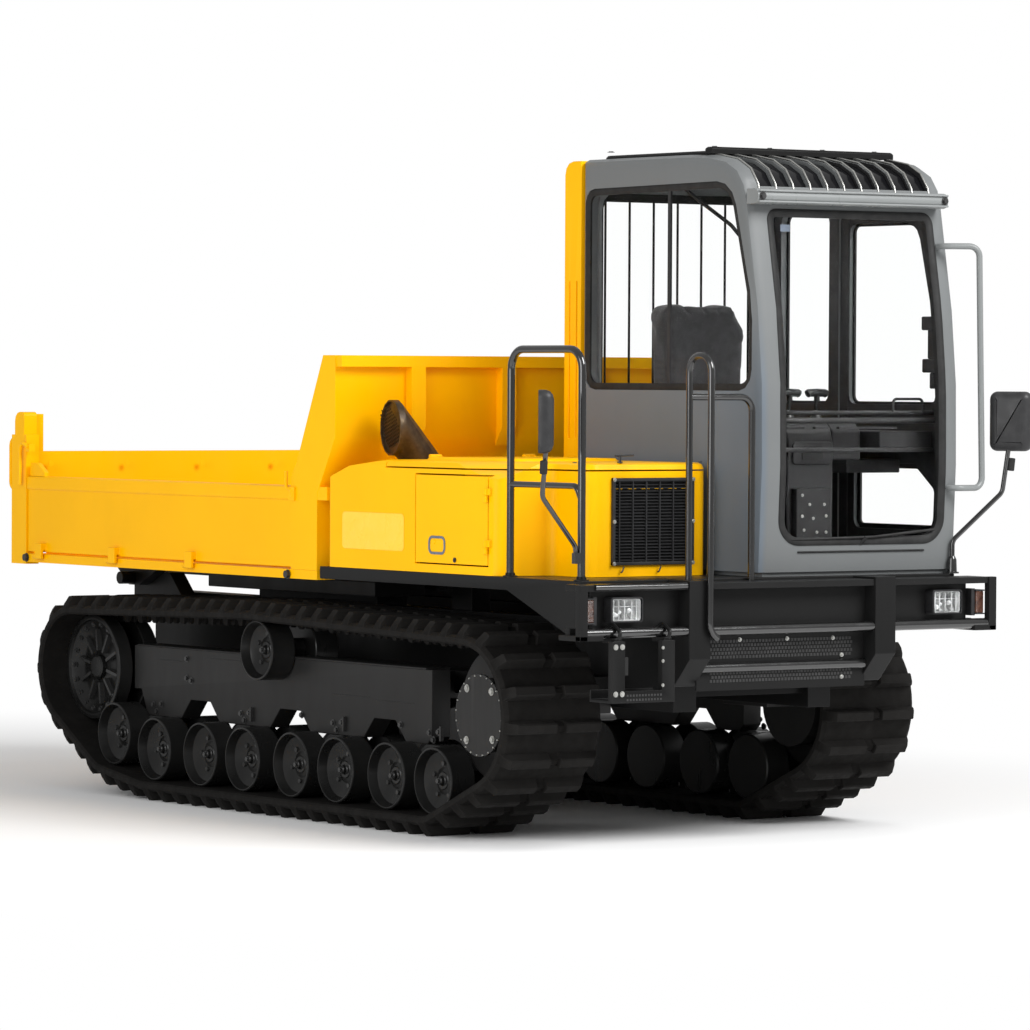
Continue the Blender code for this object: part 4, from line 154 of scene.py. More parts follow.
class Shape:
    """A mesh made of simple closed forms; each call's faces get the shape's current material number."""

    def __init__(self):
        self.bm = bmesh.new()
        self.number = 0

    def add(self, places, faces):
        """Points and the faces over them."""
        points = [self.bm.verts.new(place) for place in places]
        for face in faces:
            made = self.bm.faces.new([points[index] for index in face])
            made.material_index = self.number
        return points

    def box(self, x, y, z, turn=None):
        """A block between the low and high value of each axis, turned about its middle."""
        middle = Vector(((x[0] + x[1]) / 2, (y[0] + y[1]) / 2, (z[0] + z[1]) / 2))
        places = []
        for index in range(8):
            corner = Vector((x[index & 1], y[index >> 1 & 1], z[index >> 2 & 1])) - middle
            places.append(middle + (turn @ corner if turn else corner))
        self.add(places, ((0, 2, 3, 1), (4, 5, 7, 6), (0, 1, 5, 4), (2, 6, 7, 3), (0, 4, 6, 2), (1, 3, 7, 5)))

    def yblock(self, x, y, z, turn=None):
        """A block whose Y values are measured from the headboard."""
        self.box(x, (y[0] - MIDDLE_Y, y[1] - MIDDLE_Y), z, turn)

    def loop(self, rings, closed=True, caps=True):
        """Skin over rings of equal length; each ring is closed, the row of rings is open or closed."""
        rows = [[self.bm.verts.new(place) for place in ring] for ring in rings]
        pairs = list(zip(rows, rows[1:])) + ([(rows[-1], rows[0])] if closed and not caps else [])
        for near, far in pairs:
            for index in range(len(near)):
                after = (index + 1) % len(near)
                made = self.bm.faces.new((near[index], near[after], far[after], far[index]))
                made.material_index = self.number
        if caps:
            for ring in (rows[0], rows[-1]):
                self.bm.faces.new(ring).material_index = self.number

    def plate(self, plane, outline, low, high, turn=None):
        """A flat outline of (u, v) given thickness between two places across its plane."""
        first, second, across = PLANES[plane]
        shift = Vector((0, -MIDDLE_Y, 0))
        rings = []
        for place in (low, high):
            ring = [
                first * u + second * v + across * place + shift
                for u, v in (tuple(point)[:2] for point in outline)
            ]
            rings.append([turn @ point for point in ring] if turn else ring)
        self.loop(rings)

    def bar(self, points, radius, sides=12, closed=False):
        """A round bar along points, its rings kept square to the run."""
        points = [Vector(point) for point in points]
        rings = []
        count = len(points)
        normal = None
        for index, point in enumerate(points):
            before = points[index - 1] if index or closed else point
            after = points[(index + 1) % count] if index < count - 1 or closed else point
            first = (point - before).normalized() if point != before else (after - point).normalized()
            second = (after - point).normalized() if point != after else first
            ahead = (first + second).normalized()
            stretch = 1 / max(0.5, ahead.dot(second))
            if normal is None:
                normal = ahead.orthogonal().normalized()
            normal = (normal - ahead * normal.dot(ahead)).normalized()
            side = ahead.cross(normal)
            fold = first.cross(second)
            fold = fold.normalized() if fold.length > 1e-5 else None
            ring = []
            for step in range(sides):
                angle = 2 * math.pi * step / sides
                out = normal * math.cos(angle) + side * math.sin(angle)
                if fold:
                    across = out - fold * out.dot(fold)
                    out = fold * out.dot(fold) + across * stretch
                ring.append(point + out * radius)
            rings.append(ring)
        self.loop(rings, caps=not closed)

    def lathe(self, profile, centre, axis, sides=32):
        """A profile of (distance along the axis, radius) turned about the axis through a centre."""
        axis = Vector(axis).normalized()
        first = axis.orthogonal().normalized()
        if abs(axis.x) > 0.9:
            first = Vector((0, 0, 1))
        second = axis.cross(first)
        rows = []
        for along, radius in profile:
            middle = Vector(centre) + axis * along
            if radius <= 0:
                rows.append([self.bm.verts.new(middle)])
                continue
            ring = []
            for step in range(sides):
                angle = 2 * math.pi * step / sides
                out = first * math.cos(angle) + second * math.sin(angle)
                ring.append(self.bm.verts.new(middle + out * radius))
            rows.append(ring)
        for near, far in zip(rows, rows[1:]):
            for step in range(sides):
                after = (step + 1) % sides
                if len(near) == 1 and len(far) == 1:
                    continue
                if len(near) == 1:
                    made = self.bm.faces.new((near[0], far[step], far[after]))
                elif len(far) == 1:
                    made = self.bm.faces.new((near[step], far[0], near[after]))
                else:
                    made = self.bm.faces.new((near[step], near[after], far[after], far[step]))
                made.material_index = self.number

    def disc(self, axis, centre, radius, length, sides=24):
        """A plain round centred on a point."""
        half = length / 2
        self.lathe(((-half, 0), (-half, radius), (half, radius), (half, 0)), centre, axis, sides)

    def made(
        self, name, materials, body=None, replaced=(), slot=None, bevel=0.0, segments=2, sharp=SHARP_DEG,
    ):
        """Close the mesh, round its edges and hand it over as a piece."""
        bmesh.ops.recalc_face_normals(self.bm, faces=self.bm.faces)
        mesh = bpy.data.meshes.new(name)
        self.bm.to_mesh(mesh)
        self.bm.free()
        if bevel:
            mesh = rounded_mesh(mesh, bevel, segments, materials)
        return finished(name, mesh, materials, body, replaced, 0 if bevel else sharp)


def rounded_mesh(mesh, width, segments, materials, angle_deg=40.0):
    """A mesh with its sharp edges rounded and its flat faces shaded flat."""
    for material in materials:
        mesh.materials.append(material)
    mesh.shade_smooth()
    helper = bpy.data.objects.new("soften", mesh)
    bpy.context.scene.collection.objects.link(helper)
    bevel = helper.modifiers.new("round", "BEVEL")
    bevel.width = width
    bevel.segments = segments
    bevel.limit_method = "ANGLE"
    bevel.angle_limit = math.radians(angle_deg)
    bevel.use_clamp_overlap = True
    bevel.miter_outer = "MITER_ARC"
    weighted = helper.modifiers.new("shading", "WEIGHTED_NORMAL")
    weighted.keep_sharp = True
    return applied(helper)


def collection(name):
    """A collection of that name under the scene."""
    found = bpy.data.collections.get(name)
    if found is None:
        found = bpy.data.collections.new(name)
        bpy.context.scene.collection.children.link(found)
    return found


def finished(name, mesh, materials, body=None, replaced=(), sharp=SHARP_DEG):
    """Make a mesh a piece at the origin with its materials, its shading, its body and what it replaces."""
    obj = bpy.data.objects.new(name, mesh)
    mesh.name = name
    collection("Looks").objects.link(obj)
    if materials:
        mesh.materials.clear()
        for material in materials:
            mesh.materials.append(material)
    mesh.shade_smooth()
    if sharp:
        mesh.set_sharp_from_angle(angle=math.radians(sharp))
    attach(obj, body or "chassis")
    if replaced:
        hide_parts(*replaced)
    return obj


def applied(obj):
    """The evaluated mesh of a helper object, which is then removed."""
    bpy.context.view_layer.update()
    graph = bpy.context.evaluated_depsgraph_get()
    mesh = bpy.data.meshes.new_from_object(obj.evaluated_get(graph))
    bpy.data.objects.remove(obj, do_unlink=True)
    return mesh


def merged_copy(node):
    """A CAD node's mesh with its doubles merged and its flat areas made single faces."""
    bm = bmesh.new()
    bm.from_mesh(frame["nodes"][node].data)
    bmesh.ops.remove_doubles(bm, verts=bm.verts, dist=0.00002)
    bmesh.ops.dissolve_limit(bm, angle_limit=math.radians(1.0), verts=bm.verts, edges=bm.edges)
    return bm


def softened(node, width, material, segments=2):
    """A CAD node's form with rounded edges, standing for the node."""
    bm = merged_copy(node)
    mesh = bpy.data.meshes.new(node)
    bm.to_mesh(mesh)
    bm.free()
    mesh.materials.clear()
    mesh = rounded_mesh(mesh, width, segments, [material])
    return finished(node + "_skin", mesh, [material], BODY_OF[node], (node,), sharp=0)


# Geometry Nodes trees
def tree_with(name, inputs):
    """A node group with a geometry input and output and the named inputs."""
    tree = bpy.data.node_groups.new(name, "GeometryNodeTree")
    tree.interface.new_socket(name="Geometry", in_out="INPUT", socket_type="NodeSocketGeometry")
    tree.interface.new_socket(name="Geometry", in_out="OUTPUT", socket_type="NodeSocketGeometry")
    for label, kind, value in inputs:
        socket = tree.interface.new_socket(name=label, in_out="INPUT", socket_type=kind)
        if value is not None:
            socket.default_value = value
    return tree, tree.nodes.new("NodeGroupInput"), tree.nodes.new("NodeGroupOutput")


def placing(tree, source, points, shape):
    """Put a shape on points, its Z axis along their facing and its Y axis along their lay."""
    new, link = tree.nodes.new, tree.links.new
    turned = None
    for label, axis, pivot in (("facing", "Z", "AUTO"), ("lay", "Y", "Z")):
        read = new("GeometryNodeInputNamedAttribute")
        read.data_type = "FLOAT_VECTOR"
        read.inputs["Name"].default_value = label
        turn = new("FunctionNodeAlignRotationToVector")
        turn.axis = axis
        turn.pivot_axis = pivot
        link(read.outputs["Attribute"], turn.inputs["Vector"])
        if turned:
            link(turned, turn.inputs["Rotation"])
        turned = turn.outputs["Rotation"]
    put = new("GeometryNodeInstanceOnPoints")
    link(points, put.inputs["Points"])
    link(shape, put.inputs["Instance"])
    link(turned, put.inputs["Rotation"])
    real = new("GeometryNodeRealizeInstances")
    link(put.outputs["Instances"], real.inputs[0])
    dressed = new("GeometryNodeSetMaterial")
    link(real.outputs[0], dressed.inputs["Geometry"])
    link(source.outputs["Material"], dressed.inputs["Material"])
    return dressed.outputs[0]


def screw_tree():
    """Hexagon heads on washers, one on each point."""
    tree, source, end = tree_with("screw_heads", (
        ("Head radius", "NodeSocketFloat", 0.010), ("Head height", "NodeSocketFloat", 0.008),
        ("Washer radius", "NodeSocketFloat", 0.014), ("Head sides", "NodeSocketInt", 6),
        ("Material", "NodeSocketMaterial", None),
    ))
    new, link = tree.nodes.new, tree.links.new
    both = new("GeometryNodeJoinGeometry")
    for radius, height, sides, lift in (
        ("Washer radius", None, 16, 0.001), ("Head radius", "Head height", None, 0.002),
    ):
        round_form = new("GeometryNodeMeshCylinder")
        round_form.inputs["Vertices"].default_value = sides or 6
        round_form.inputs["Depth"].default_value = 0.002
        link(source.outputs[radius], round_form.inputs["Radius"])
        if height:
            link(source.outputs[height], round_form.inputs["Depth"])
            link(source.outputs["Head sides"], round_form.inputs["Vertices"])
        raised = new("ShaderNodeMath")
        raised.operation = "MULTIPLY_ADD"
        raised.inputs[1].default_value = 0.5
        raised.inputs[2].default_value = lift if height else 0.0
        raised.inputs[0].default_value = 0.002
        if height:
            link(source.outputs[height], raised.inputs[0])
        place = new("ShaderNodeCombineXYZ")
        link(raised.outputs[0], place.inputs["Z"])
        moved = new("GeometryNodeTransform")
        link(round_form.outputs["Mesh"], moved.inputs["Geometry"])
        link(place.outputs[0], moved.inputs["Translation"])
        link(moved.outputs[0], both.inputs[0])
    link(placing(tree, source, source.outputs["Geometry"], both.outputs[0]), end.inputs[0])
    return tree


def repeat_tree():
    """One shape on each point, with what touches welded."""
    tree, source, end = tree_with("repeated_shape", (
        ("Shape", "NodeSocketObject", None), ("Weld", "NodeSocketFloat", 0.0),
        ("Material", "NodeSocketMaterial", None),
    ))
    new, link = tree.nodes.new, tree.links.new
    shape = new("GeometryNodeObjectInfo")
    link(source.outputs["Shape"], shape.inputs["Object"])
    placed = placing(tree, source, source.outputs["Geometry"], shape.outputs["Geometry"])
    weld = new("GeometryNodeMergeByDistance")
    link(placed, weld.inputs["Geometry"])
    link(source.outputs["Weld"], weld.inputs["Distance"])
    link(weld.outputs[0], end.inputs[0])
    return tree


def on_points(name, tree, places, values, materials, body=None, replaced=(), sharp=SHARP_DEG):
    """Run a tree over places of (point, facing, lay) and hand the result over as a piece."""
    mesh = bpy.data.meshes.new(name)
    mesh.from_pydata([tuple(place[0]) for place in places], [], [])
    for label, number in (("facing", 1), ("lay", 2)):
        attribute = mesh.attributes.new(label, "FLOAT_VECTOR", "POINT")
        attribute.data.foreach_set(
            "vector", [value for place in places for value in Vector(place[number]).normalized()],
        )
    helper = bpy.data.objects.new("points", mesh)
    bpy.context.scene.collection.objects.link(helper)
    modifier = helper.modifiers.new("tree", "NODES")
    modifier.node_group = bpy.data.node_groups.get(tree) or TREES[tree]()
    identifiers = {
        item.name: item.identifier
        for item in modifier.node_group.interface.items_tree if item.in_out == "INPUT"
    }
    for label, value in {**values, "Material": materials[0]}.items():
        modifier[identifiers[label]] = value
    result = applied(helper)
    return finished(name, result, materials, body, replaced, sharp)


TREES = {"screw_heads": screw_tree, "repeated_shape": repeat_tree}


def screws(name, places, radius, material, body=None, height=None, sides=6, washer=1.45, lay=(0.3, 0.2, 0.9)):
    """Screw heads at (point, facing)."""
    values = {
        "Head radius": radius, "Head height": height or radius * 0.8, "Washer radius": radius * washer,
        "Head sides": sides,
    }
    spots = [(point, facing, lay) for point, facing in places]
    return on_points(name, "screw_heads", spots, values, [material], body)


def repeated(name, shape, places, material, body=None, weld=0.0, replaced=(), sharp=SHARP_DEG):
    """A shape's mesh repeated at (point, facing, lay)."""
    bmesh.ops.recalc_face_normals(shape.bm, faces=shape.bm.faces)
    mesh = bpy.data.meshes.new("pattern")
    shape.bm.to_mesh(mesh)
    shape.bm.free()
    pattern = bpy.data.objects.new("pattern", mesh)
    bpy.context.scene.collection.objects.link(pattern)
    obj = on_points(
        name, "repeated_shape", places, {"Shape": pattern, "Weld": weld}, [material], body, replaced,
        sharp,
    )
    bpy.data.objects.remove(pattern, do_unlink=True)
    return obj


# Material helpers
class Finish:
    """A material being made: each call adds one node and gives back its output."""

    def __init__(self, name, colour, roughness=0.5, metallic=0.0):
        self.material = bpy.data.materials.new(name)
        self.material.use_nodes = True
        self.tree = self.material.node_tree
        self.shader = self.tree.nodes["Principled BSDF"]
        self.shader.inputs["Base Color"].default_value = (*colour, 1.0)
        self.shader.inputs["Roughness"].default_value = roughness
        self.shader.inputs["Metallic"].default_value = metallic
        self.place = self.add("ShaderNodeTexCoord").outputs["Object"]

    def add(self, kind, **settings):
        """Add a node with these settings."""
        made = self.tree.nodes.new(kind)
        for key, value in settings.items():
            setattr(made, key, value)
        return made

    def link(self, source, target):
        """Feed a socket from an output or a plain value."""
        if isinstance(source, (int, float, tuple)):
            target.default_value = source
        else:
            self.tree.links.new(source, target)

    def noise(self, scale, detail=3.0, roughness=0.5, stretch=None):
        """Fractal noise over the piece, from 0 to 1."""
        made = self.add("ShaderNodeTexNoise")
        made.inputs["Scale"].default_value = scale
        made.inputs["Detail"].default_value = detail
        made.inputs["Roughness"].default_value = roughness
        source = self.place
        if stretch:
            mapping = self.add("ShaderNodeMapping")
            mapping.inputs["Scale"].default_value = stretch
            self.link(self.place, mapping.inputs["Vector"])
            source = mapping.outputs["Vector"]
        self.link(source, made.inputs["Vector"])
        return made.outputs["Fac"]

    def spread(self, value, low, high, to_low=0.0, to_high=1.0):
        """Map one range onto another, held at its ends."""
        made = self.add("ShaderNodeMapRange", interpolation_type="SMOOTHSTEP")
        for key, number in (("From Min", low), ("From Max", high), ("To Min", to_low), ("To Max", to_high)):
            made.inputs[key].default_value = number
        self.link(value, made.inputs["Value"])
        return made.outputs["Result"]

    def math(self, operation, first, second=0.0):
        """One sum on two values."""
        made = self.add("ShaderNodeMath", operation=operation)
        self.link(first, made.inputs[0])
        self.link(second, made.inputs[1])
        return made.outputs[0]

    def blend(self, share, first, second, kind="MIX"):
        """Two colours mixed by a share."""
        made = self.add("ShaderNodeMix", data_type="RGBA", blend_type=kind)
        self.link(share, made.inputs[0])
        for source, socket in ((first, made.inputs[6]), (second, made.inputs[7])):
            self.link((*source, 1.0) if isinstance(source, tuple) and len(source) == 3 else source, socket)
        return made.outputs[2]

    def axis(self, name):
        """One coordinate of the place."""
        made = self.add("ShaderNodeSeparateXYZ")
        self.link(self.place, made.inputs[0])
        return made.outputs[name]

    def edges(self, low=0.52, high=0.60):
        """Where the surface turns a corner outwards."""
        made = self.add("ShaderNodeNewGeometry")
        return self.spread(made.outputs["Pointiness"], low, high)

    def wave(self, scale, axis="X", distortion=0.0):
        """Even bands along an axis."""
        made = self.add("ShaderNodeTexWave", bands_direction=axis)
        made.inputs["Scale"].default_value = scale
        made.inputs["Distortion"].default_value = distortion
        self.link(self.place, made.inputs["Vector"])
        return made.outputs["Fac"]

    def colour(self, source):
        """Feed the shader's colour."""
        self.link(source, self.shader.inputs["Base Color"])

    def rough(self, source):
        """Feed the shader's roughness."""
        self.link(source, self.shader.inputs["Roughness"])

    def bump(self, height, distance, strength=1.0):
        """Relief of a height in metres."""
        made = self.add("ShaderNodeBump")
        made.inputs["Strength"].default_value = strength
        made.inputs["Distance"].default_value = distance
        self.link(height, made.inputs["Height"])
        if self.shader.inputs["Normal"].links:
            self.link(self.shader.inputs["Normal"].links[0].from_socket, made.inputs["Normal"])
        self.link(made.outputs["Normal"], self.shader.inputs["Normal"])

    def set(self, **sockets):
        """Plain values on the shader's own sockets."""
        for key, value in sockets.items():
            self.shader.inputs[key.replace("_", " ")].default_value = value


def paint(
    name, colour, roughness, peel=0.00010, dust=0.06, dust_colour=(0.30, 0.27, 0.22), lighter=0.25,
    coat=0.04, shine=0.22, cancel_hood_light=False,
):
    """Sprayed steel: faint orange peel, cloudy gloss, dust low down, lighter edges; on request painted light,
    a bluer tint low on the cab's right side against the hood's yellow light.
    """
    made = Finish(name, colour, roughness)
    cloud = made.noise(2.2, 4.0, 0.6)
    streak = made.noise(9.0, 4.0, 0.6, stretch=(1.0, 1.0, 0.25))
    shaded = made.add("ShaderNodeHueSaturation")
    made.link((*colour, 1.0), shaded.inputs["Color"])
    made.link(made.spread(cloud, 0.3, 0.7, 0.975, 1.025), shaded.inputs["Value"])
    low = made.spread(made.axis("Z"), 1.6, 0.2, 0.25, 1.0)
    share = made.math("MULTIPLY", made.math("MULTIPLY", made.spread(streak, 0.45, 0.75), low), dust)
    dusty = made.blend(share, shaded.outputs["Color"], dust_colour)
    edge = tuple(min(1.0, value * 1.2 + 0.02) for value in colour)
    coloured = made.blend(made.math("MULTIPLY", made.edges(0.53, 0.62), lighter), dusty, edge)
    if cancel_hood_light:
        # painted light: the hood throws yellow light on the cab's right wall, so the paint is made bluer low
        # down on that side to cancel it
        low_down = made.spread(made.axis("Z"), 2.35, 1.85)
        beside = made.spread(made.axis("X"), -0.005, -0.03)
        coloured = made.blend(
            made.math("MULTIPLY", low_down, beside), coloured, (0.93, 1.04, 1.19), "MULTIPLY",
        )
    made.colour(coloured)
    made.rough(made.spread(streak, 0.3, 0.8, roughness - 0.04, roughness + 0.10))
    made.bump(made.noise(420.0, 2.0, 0.4), peel, 0.5)
    made.set(Coat_Weight=coat, Coat_Roughness=0.15, Specular_IOR_Level=shine)
    return made.material


def plain(name, colour, roughness, metallic=0.0, grain=300.0, depth=0.0002, second=None, size=20.0):
    """A finish of two near tones with a fine grain."""
    made = Finish(name, colour, roughness, metallic)
    second = second or tuple(value * 1.35 + 0.004 for value in colour)
    made.colour(made.blend(made.spread(made.noise(size, 4.0, 0.6), 0.35, 0.75), colour, second))
    made.rough(
        made.spread(made.noise(size * 0.6, 3.0), 0.3, 0.7, max(0.02, roughness - 0.06), roughness + 0.06)
    )
    made.bump(made.noise(grain, 3.0), depth, 0.5)
    made.set(Specular_IOR_Level=0.3 if metallic == 0 else 0.5)
    return made.material


FINISHES = {}


def finish(name):
    """A finish by its name."""
    return FINISHES[name]


def make_finishes(colours):
    """Make every finish that the pieces use."""
    FINISHES["yellow"] = paint(
        "yellow_paint", tuple(colours.yellow), 0.34, dust=0.02, lighter=0.15, coat=0.03, shine=0.10,
    )
    # the cab's grey paint carries painted light: bluer low down on its right wall, against the hood's yellow
    # light
    FINISHES["grey"] = paint("grey_paint", tuple(colours.grey), 0.40, dust=0.03, lighter=0.3, cancel_hood_light=True)
    FINISHES["black"] = paint(
        "black_paint", tuple(colours.black), 0.34, dust=0.0, lighter=0.8, coat=0.0, shine=0.12,
    )
    FINISHES["undercarriage"] = paint(
        "undercarriage_paint", (0.0105, 0.0102, 0.010), 0.42, dust=0.01, lighter=0.8, coat=0.0, shine=0.24,
    )
    FINISHES["wheel"] = paint(
        "wheel_paint", (0.007, 0.007, 0.0068), 0.30, dust=0.01, lighter=1.0, coat=0.0, shine=0.3,
    )
    FINISHES["shadow"] = plain("shadow_black", (0.006, 0.006, 0.006), 0.75)
    FINISHES["matt_black"] = paint(
        "matt_black_paint", (0.0045, 0.0045, 0.0045), 0.5, dust=0.0, lighter=0.5, coat=0.0, shine=0.06,
    )
    FINISHES["seal"] = plain("seal_rubber", (0.012, 0.012, 0.012), 0.62)
    FINISHES["plastic"] = plain("moulded_plastic", (0.018, 0.018, 0.019), 0.48, grain=700.0, depth=0.0003)
    FINISHES["knob"] = plain("knob_plastic", (0.012, 0.012, 0.012), 0.22)
    FINISHES["steel"] = plain("bright_steel", (0.55, 0.55, 0.54), 0.25, 1.0)
    FINISHES["visor"] = paint(
        "visor_grey", (0.20, 0.21, 0.21), 0.30, dust=0.0, lighter=0.5, coat=0.1, shine=0.3,
    )
    FINISHES["mirror_back"] = plain("mirror_back", (0.024, 0.024, 0.025), 0.42, second=(0.036, 0.036, 0.037))
    FINISHES["mesh_rim"] = plain("mesh_rim", (0.030, 0.030, 0.030), 0.35)
    dark = Finish("dark_glass", (0.006, 0.006, 0.007), 0.06)
    dark.rough(dark.spread(dark.noise(5.0), 0.3, 0.7, 0.04, 0.10))
    dark.set(Specular_IOR_Level=0.3)
    FINISHES["dark_glass"] = dark.material
    FINISHES["steel_dark"] = plain("dark_steel", (0.012, 0.009, 0.006), 0.5, 0.6)
    FINISHES["rail"] = paint(
        "rail_enamel", (0.005, 0.005, 0.005), 0.13, 0.00003, 0.0, lighter=0.2, coat=0.6, shine=0.7,
    )
    FINISHES["pale_yellow"] = plain("blank_plate_yellow", (1.0, 0.62, 0.05), 0.30, second=(1.0, 0.64, 0.07))
    FINISHES["zinc"] = plain("zinc_screw", (0.42, 0.42, 0.40), 0.33, 0.9, size=60.0)
    FINISHES["dark_screw"] = plain("dark_screw", (0.045, 0.045, 0.045), 0.35, 0.5)
    FINISHES["catch"] = plain("catch_grey", (0.16, 0.19, 0.24), 0.30, 0.4)
    FINISHES["exhaust"] = plain("browned_sheet", (0.050, 0.033, 0.020), 0.42, 0.6, second=(0.11, 0.075, 0.04))
    FINISHES["floor_mat"] = plain("floor_mat", (0.020, 0.020, 0.020), 0.8, grain=160.0, depth=0.001)
    rubber = Finish("track_rubber", tuple(colours.rubber), 0.70)
    cloud = rubber.spread(rubber.noise(12.0, 5.0, 0.62), 0.38, 0.72)
    tone = rubber.blend(cloud, tuple(colours.rubber), tuple(value * 1.5 for value in colours.rubber))
    rubbed = rubber.math("MULTIPLY", rubber.edges(0.52, 0.62), 0.50)
    rubber.colour(rubber.blend(rubbed, tone, (0.024, 0.023, 0.022)))
    rubber.rough(rubber.spread(rubber.noise(30.0), 0.3, 0.7, 0.58, 0.82))
    rubber.set(Specular_IOR_Level=0.05)
    rubber.bump(rubber.noise(240.0, 3.0), 0.0006, 0.4)
    rubber.bump(rubber.noise(28.0, 3.0), 0.0012, 0.3)
    FINISHES["rubber"] = rubber.material
    glass = Finish("window_glass", (0.995, 1.0, 0.998), 0.0)
    glass.set(Transmission_Weight=1.0, IOR=1.04)
    glass.rough(glass.spread(glass.noise(3.0), 0.3, 0.7, 0.0, 0.004))
    FINISHES["glass"] = glass.material
    lens = Finish("lamp_lens", (0.95, 0.96, 0.97), 0.03)
    lens.set(Transmission_Weight=1.0, IOR=1.06)
    lens.bump(lens.wave(38.0), 0.0015, 0.25)
    FINISHES["lens"] = lens.material
    # painted reflection: the lamps' reflector is partly metal, but its pale grey with brighter patches stands
    # in for the bright surroundings that its mirror would reflect
    FINISHES["chrome"] = plain(
        "reflector_chrome_painted_reflection", (0.60, 0.60, 0.59), 0.12, 0.35, grain=60.0, depth=0.004,
        second=(0.85, 0.85, 0.84),
    )
    amber = Finish("amber_lens", (0.14, 0.045, 0.025), 0.12)
    amber.set(Transmission_Weight=0.15, IOR=1.45)
    amber.bump(amber.wave(60.0, "Z"), 0.002, 0.5)
    amber.colour(
        amber.blend(amber.spread(amber.noise(40.0), 0.3, 0.7), (0.045, 0.016, 0.010), (0.12, 0.050, 0.030))
    )
    FINISHES["amber"] = amber.material
    mirror = Finish("mirror_glass", (0.82, 0.84, 0.85), 0.03, 1.0)
    mirror.rough(mirror.spread(mirror.noise(6.0), 0.3, 0.7, 0.02, 0.05))
    FINISHES["mirror"] = mirror.material
    cloth = Finish("seat_cloth", (0.030, 0.030, 0.032), 0.85)
    weave = cloth.math("MULTIPLY", cloth.wave(260.0, "X"), cloth.wave(260.0, "Z"))
    cloth.colour(
        cloth.blend(
            cloth.spread(cloth.noise(22.0, 4.0), 0.3, 0.7), (0.022, 0.022, 0.024), (0.045, 0.045, 0.048),
        )
    )
    cloth.bump(weave, 0.0006, 0.6)
    cloth.set(Sheen_Weight=0.25, Sheen_Roughness=0.5)
    FINISHES["cloth"] = cloth.material
    FINISHES["lamp"] = FINISHES["chrome"]


CARRIED_FINISH = {
    # the record's slot: the finish made here
    "rubber": "rubber", "undercarriage_black": "undercarriage", "frame_black": "black",
    "bright_steel": "steel", "exhaust_brown": "exhaust", "yellow_paint": "yellow",
    "cab_grey": "grey", "glass": "glass", "seat_cloth": "cloth", "lamp_clear": "lamp",
}
SIDES = ((-1, "right"), (1, "left"))


# Undercarriage sizes, as in the part's source
GAUGE_HALF = 0.85
BELT = 0.042
LUG_HEIGHT = 0.045
LUG_COUNT = 66
ROLLER_R = 0.147
ROLLER_PITCH = 0.365
BOGIE_Y = (1.456, 0.685, -0.087, -0.857)
REAR_LIFT = 0.052
SPROCKET = (-1.345, 0.533, 0.300)
CARRIER = (0.385, 0.735, 0.138)
IDLER = (1.945, 0.585, 0.252)


def tangent(first, second):
    """Where the outer line over two circles (y, z, radius) touches each; the loop runs clockwise."""
    (y1, z1, r1), (y2, z2, r2) = first, second
    step = Vector((y2 - y1, z2 - z1))
    angle = math.atan2(step.y, step.x) + math.acos((r1 - r2) / step.length)
    out = Vector((math.cos(angle), math.sin(angle)))
    return Vector((y1, z1)) + out * r1, Vector((y2, z2)) + out * r2, angle


def belt_runs():
    """The belt's inner line over its wheels, as arcs and straight runs; the last value is the length."""
    low = BELT + LUG_HEIGHT + ROLLER_R
    half = ROLLER_PITCH / 2
    wheels = [
        SPROCKET, CARRIER, IDLER, (BOGIE_Y[0] + half, low + REAR_LIFT, ROLLER_R),
        (BOGIE_Y[0] - half, low, ROLLER_R), (BOGIE_Y[-1] - half, low, ROLLER_R),
    ]
    touches = [tangent(a, b) for a, b in zip(wheels, wheels[1:] + wheels[:1])]
    runs = []
    for index, (start, end, angle) in enumerate(touches):
        y, z, radius = wheels[index]
        arrive = touches[index - 1][2]
        sweep = (arrive - angle) % (2 * math.pi)
        runs.append(("arc", Vector((y, z)), radius, arrive, sweep, radius * sweep))
        runs.append(("line", start, end, angle, None, (end - start).length))
    return runs


def on_belt(runs, length):
    """Point and outward direction (y, z) of the belt's inner line at a length along it."""
    length %= sum(run[-1] for run in runs)
    for run in runs:
        if length <= run[-1]:
            break
        length -= run[-1]
    if run[0] == "arc":
        _, centre, radius, arrive, sweep, total = run
        angle = arrive - (sweep * length / total if total else 0)
        out = Vector((math.cos(angle), math.sin(angle)))
        return centre + out * radius, out
    _, start, end, angle, _, total = run
    return start.lerp(end, length / total), Vector((math.cos(angle), math.sin(angle)))


def belt_stops(runs):
    """Lengths along the belt where its band needs a corner."""
    stops = []
    along = 0.0
    for run in runs:
        parts = max(1, math.ceil(run[4] / math.radians(7))) if run[0] == "arc" else 1
        stops += [along + run[-1] * index / parts for index in range(parts)]
        along += run[-1]
    return stops


BAND = (
    # the band's section: place across its middle, height over its inner face
    (-0.250, 0.008), (-0.250, 0.029), (-0.231, BELT), (0.231, BELT), (0.250, 0.029), (0.250, 0.008),
    (0.240, 0.0), (-0.240, 0.0),
)
LUG = (
    # a lug's sections: place across, half width at its root, half width and height of its top
    (-0.249, 0.026, 0.022, -0.012), (-0.238, 0.030, 0.019, 0.014), (-0.214, 0.031, 0.019, LUG_HEIGHT),
    (-0.040, 0.031, 0.019, LUG_HEIGHT), (-0.034, 0.031, 0.012, 0.030), (0.006, 0.031, 0.012, 0.030),
    (0.012, 0.031, 0.019, LUG_HEIGHT), (0.214, 0.031, 0.019, LUG_HEIGHT), (0.238, 0.030, 0.019, 0.014),
    (0.249, 0.026, 0.022, -0.012),
)


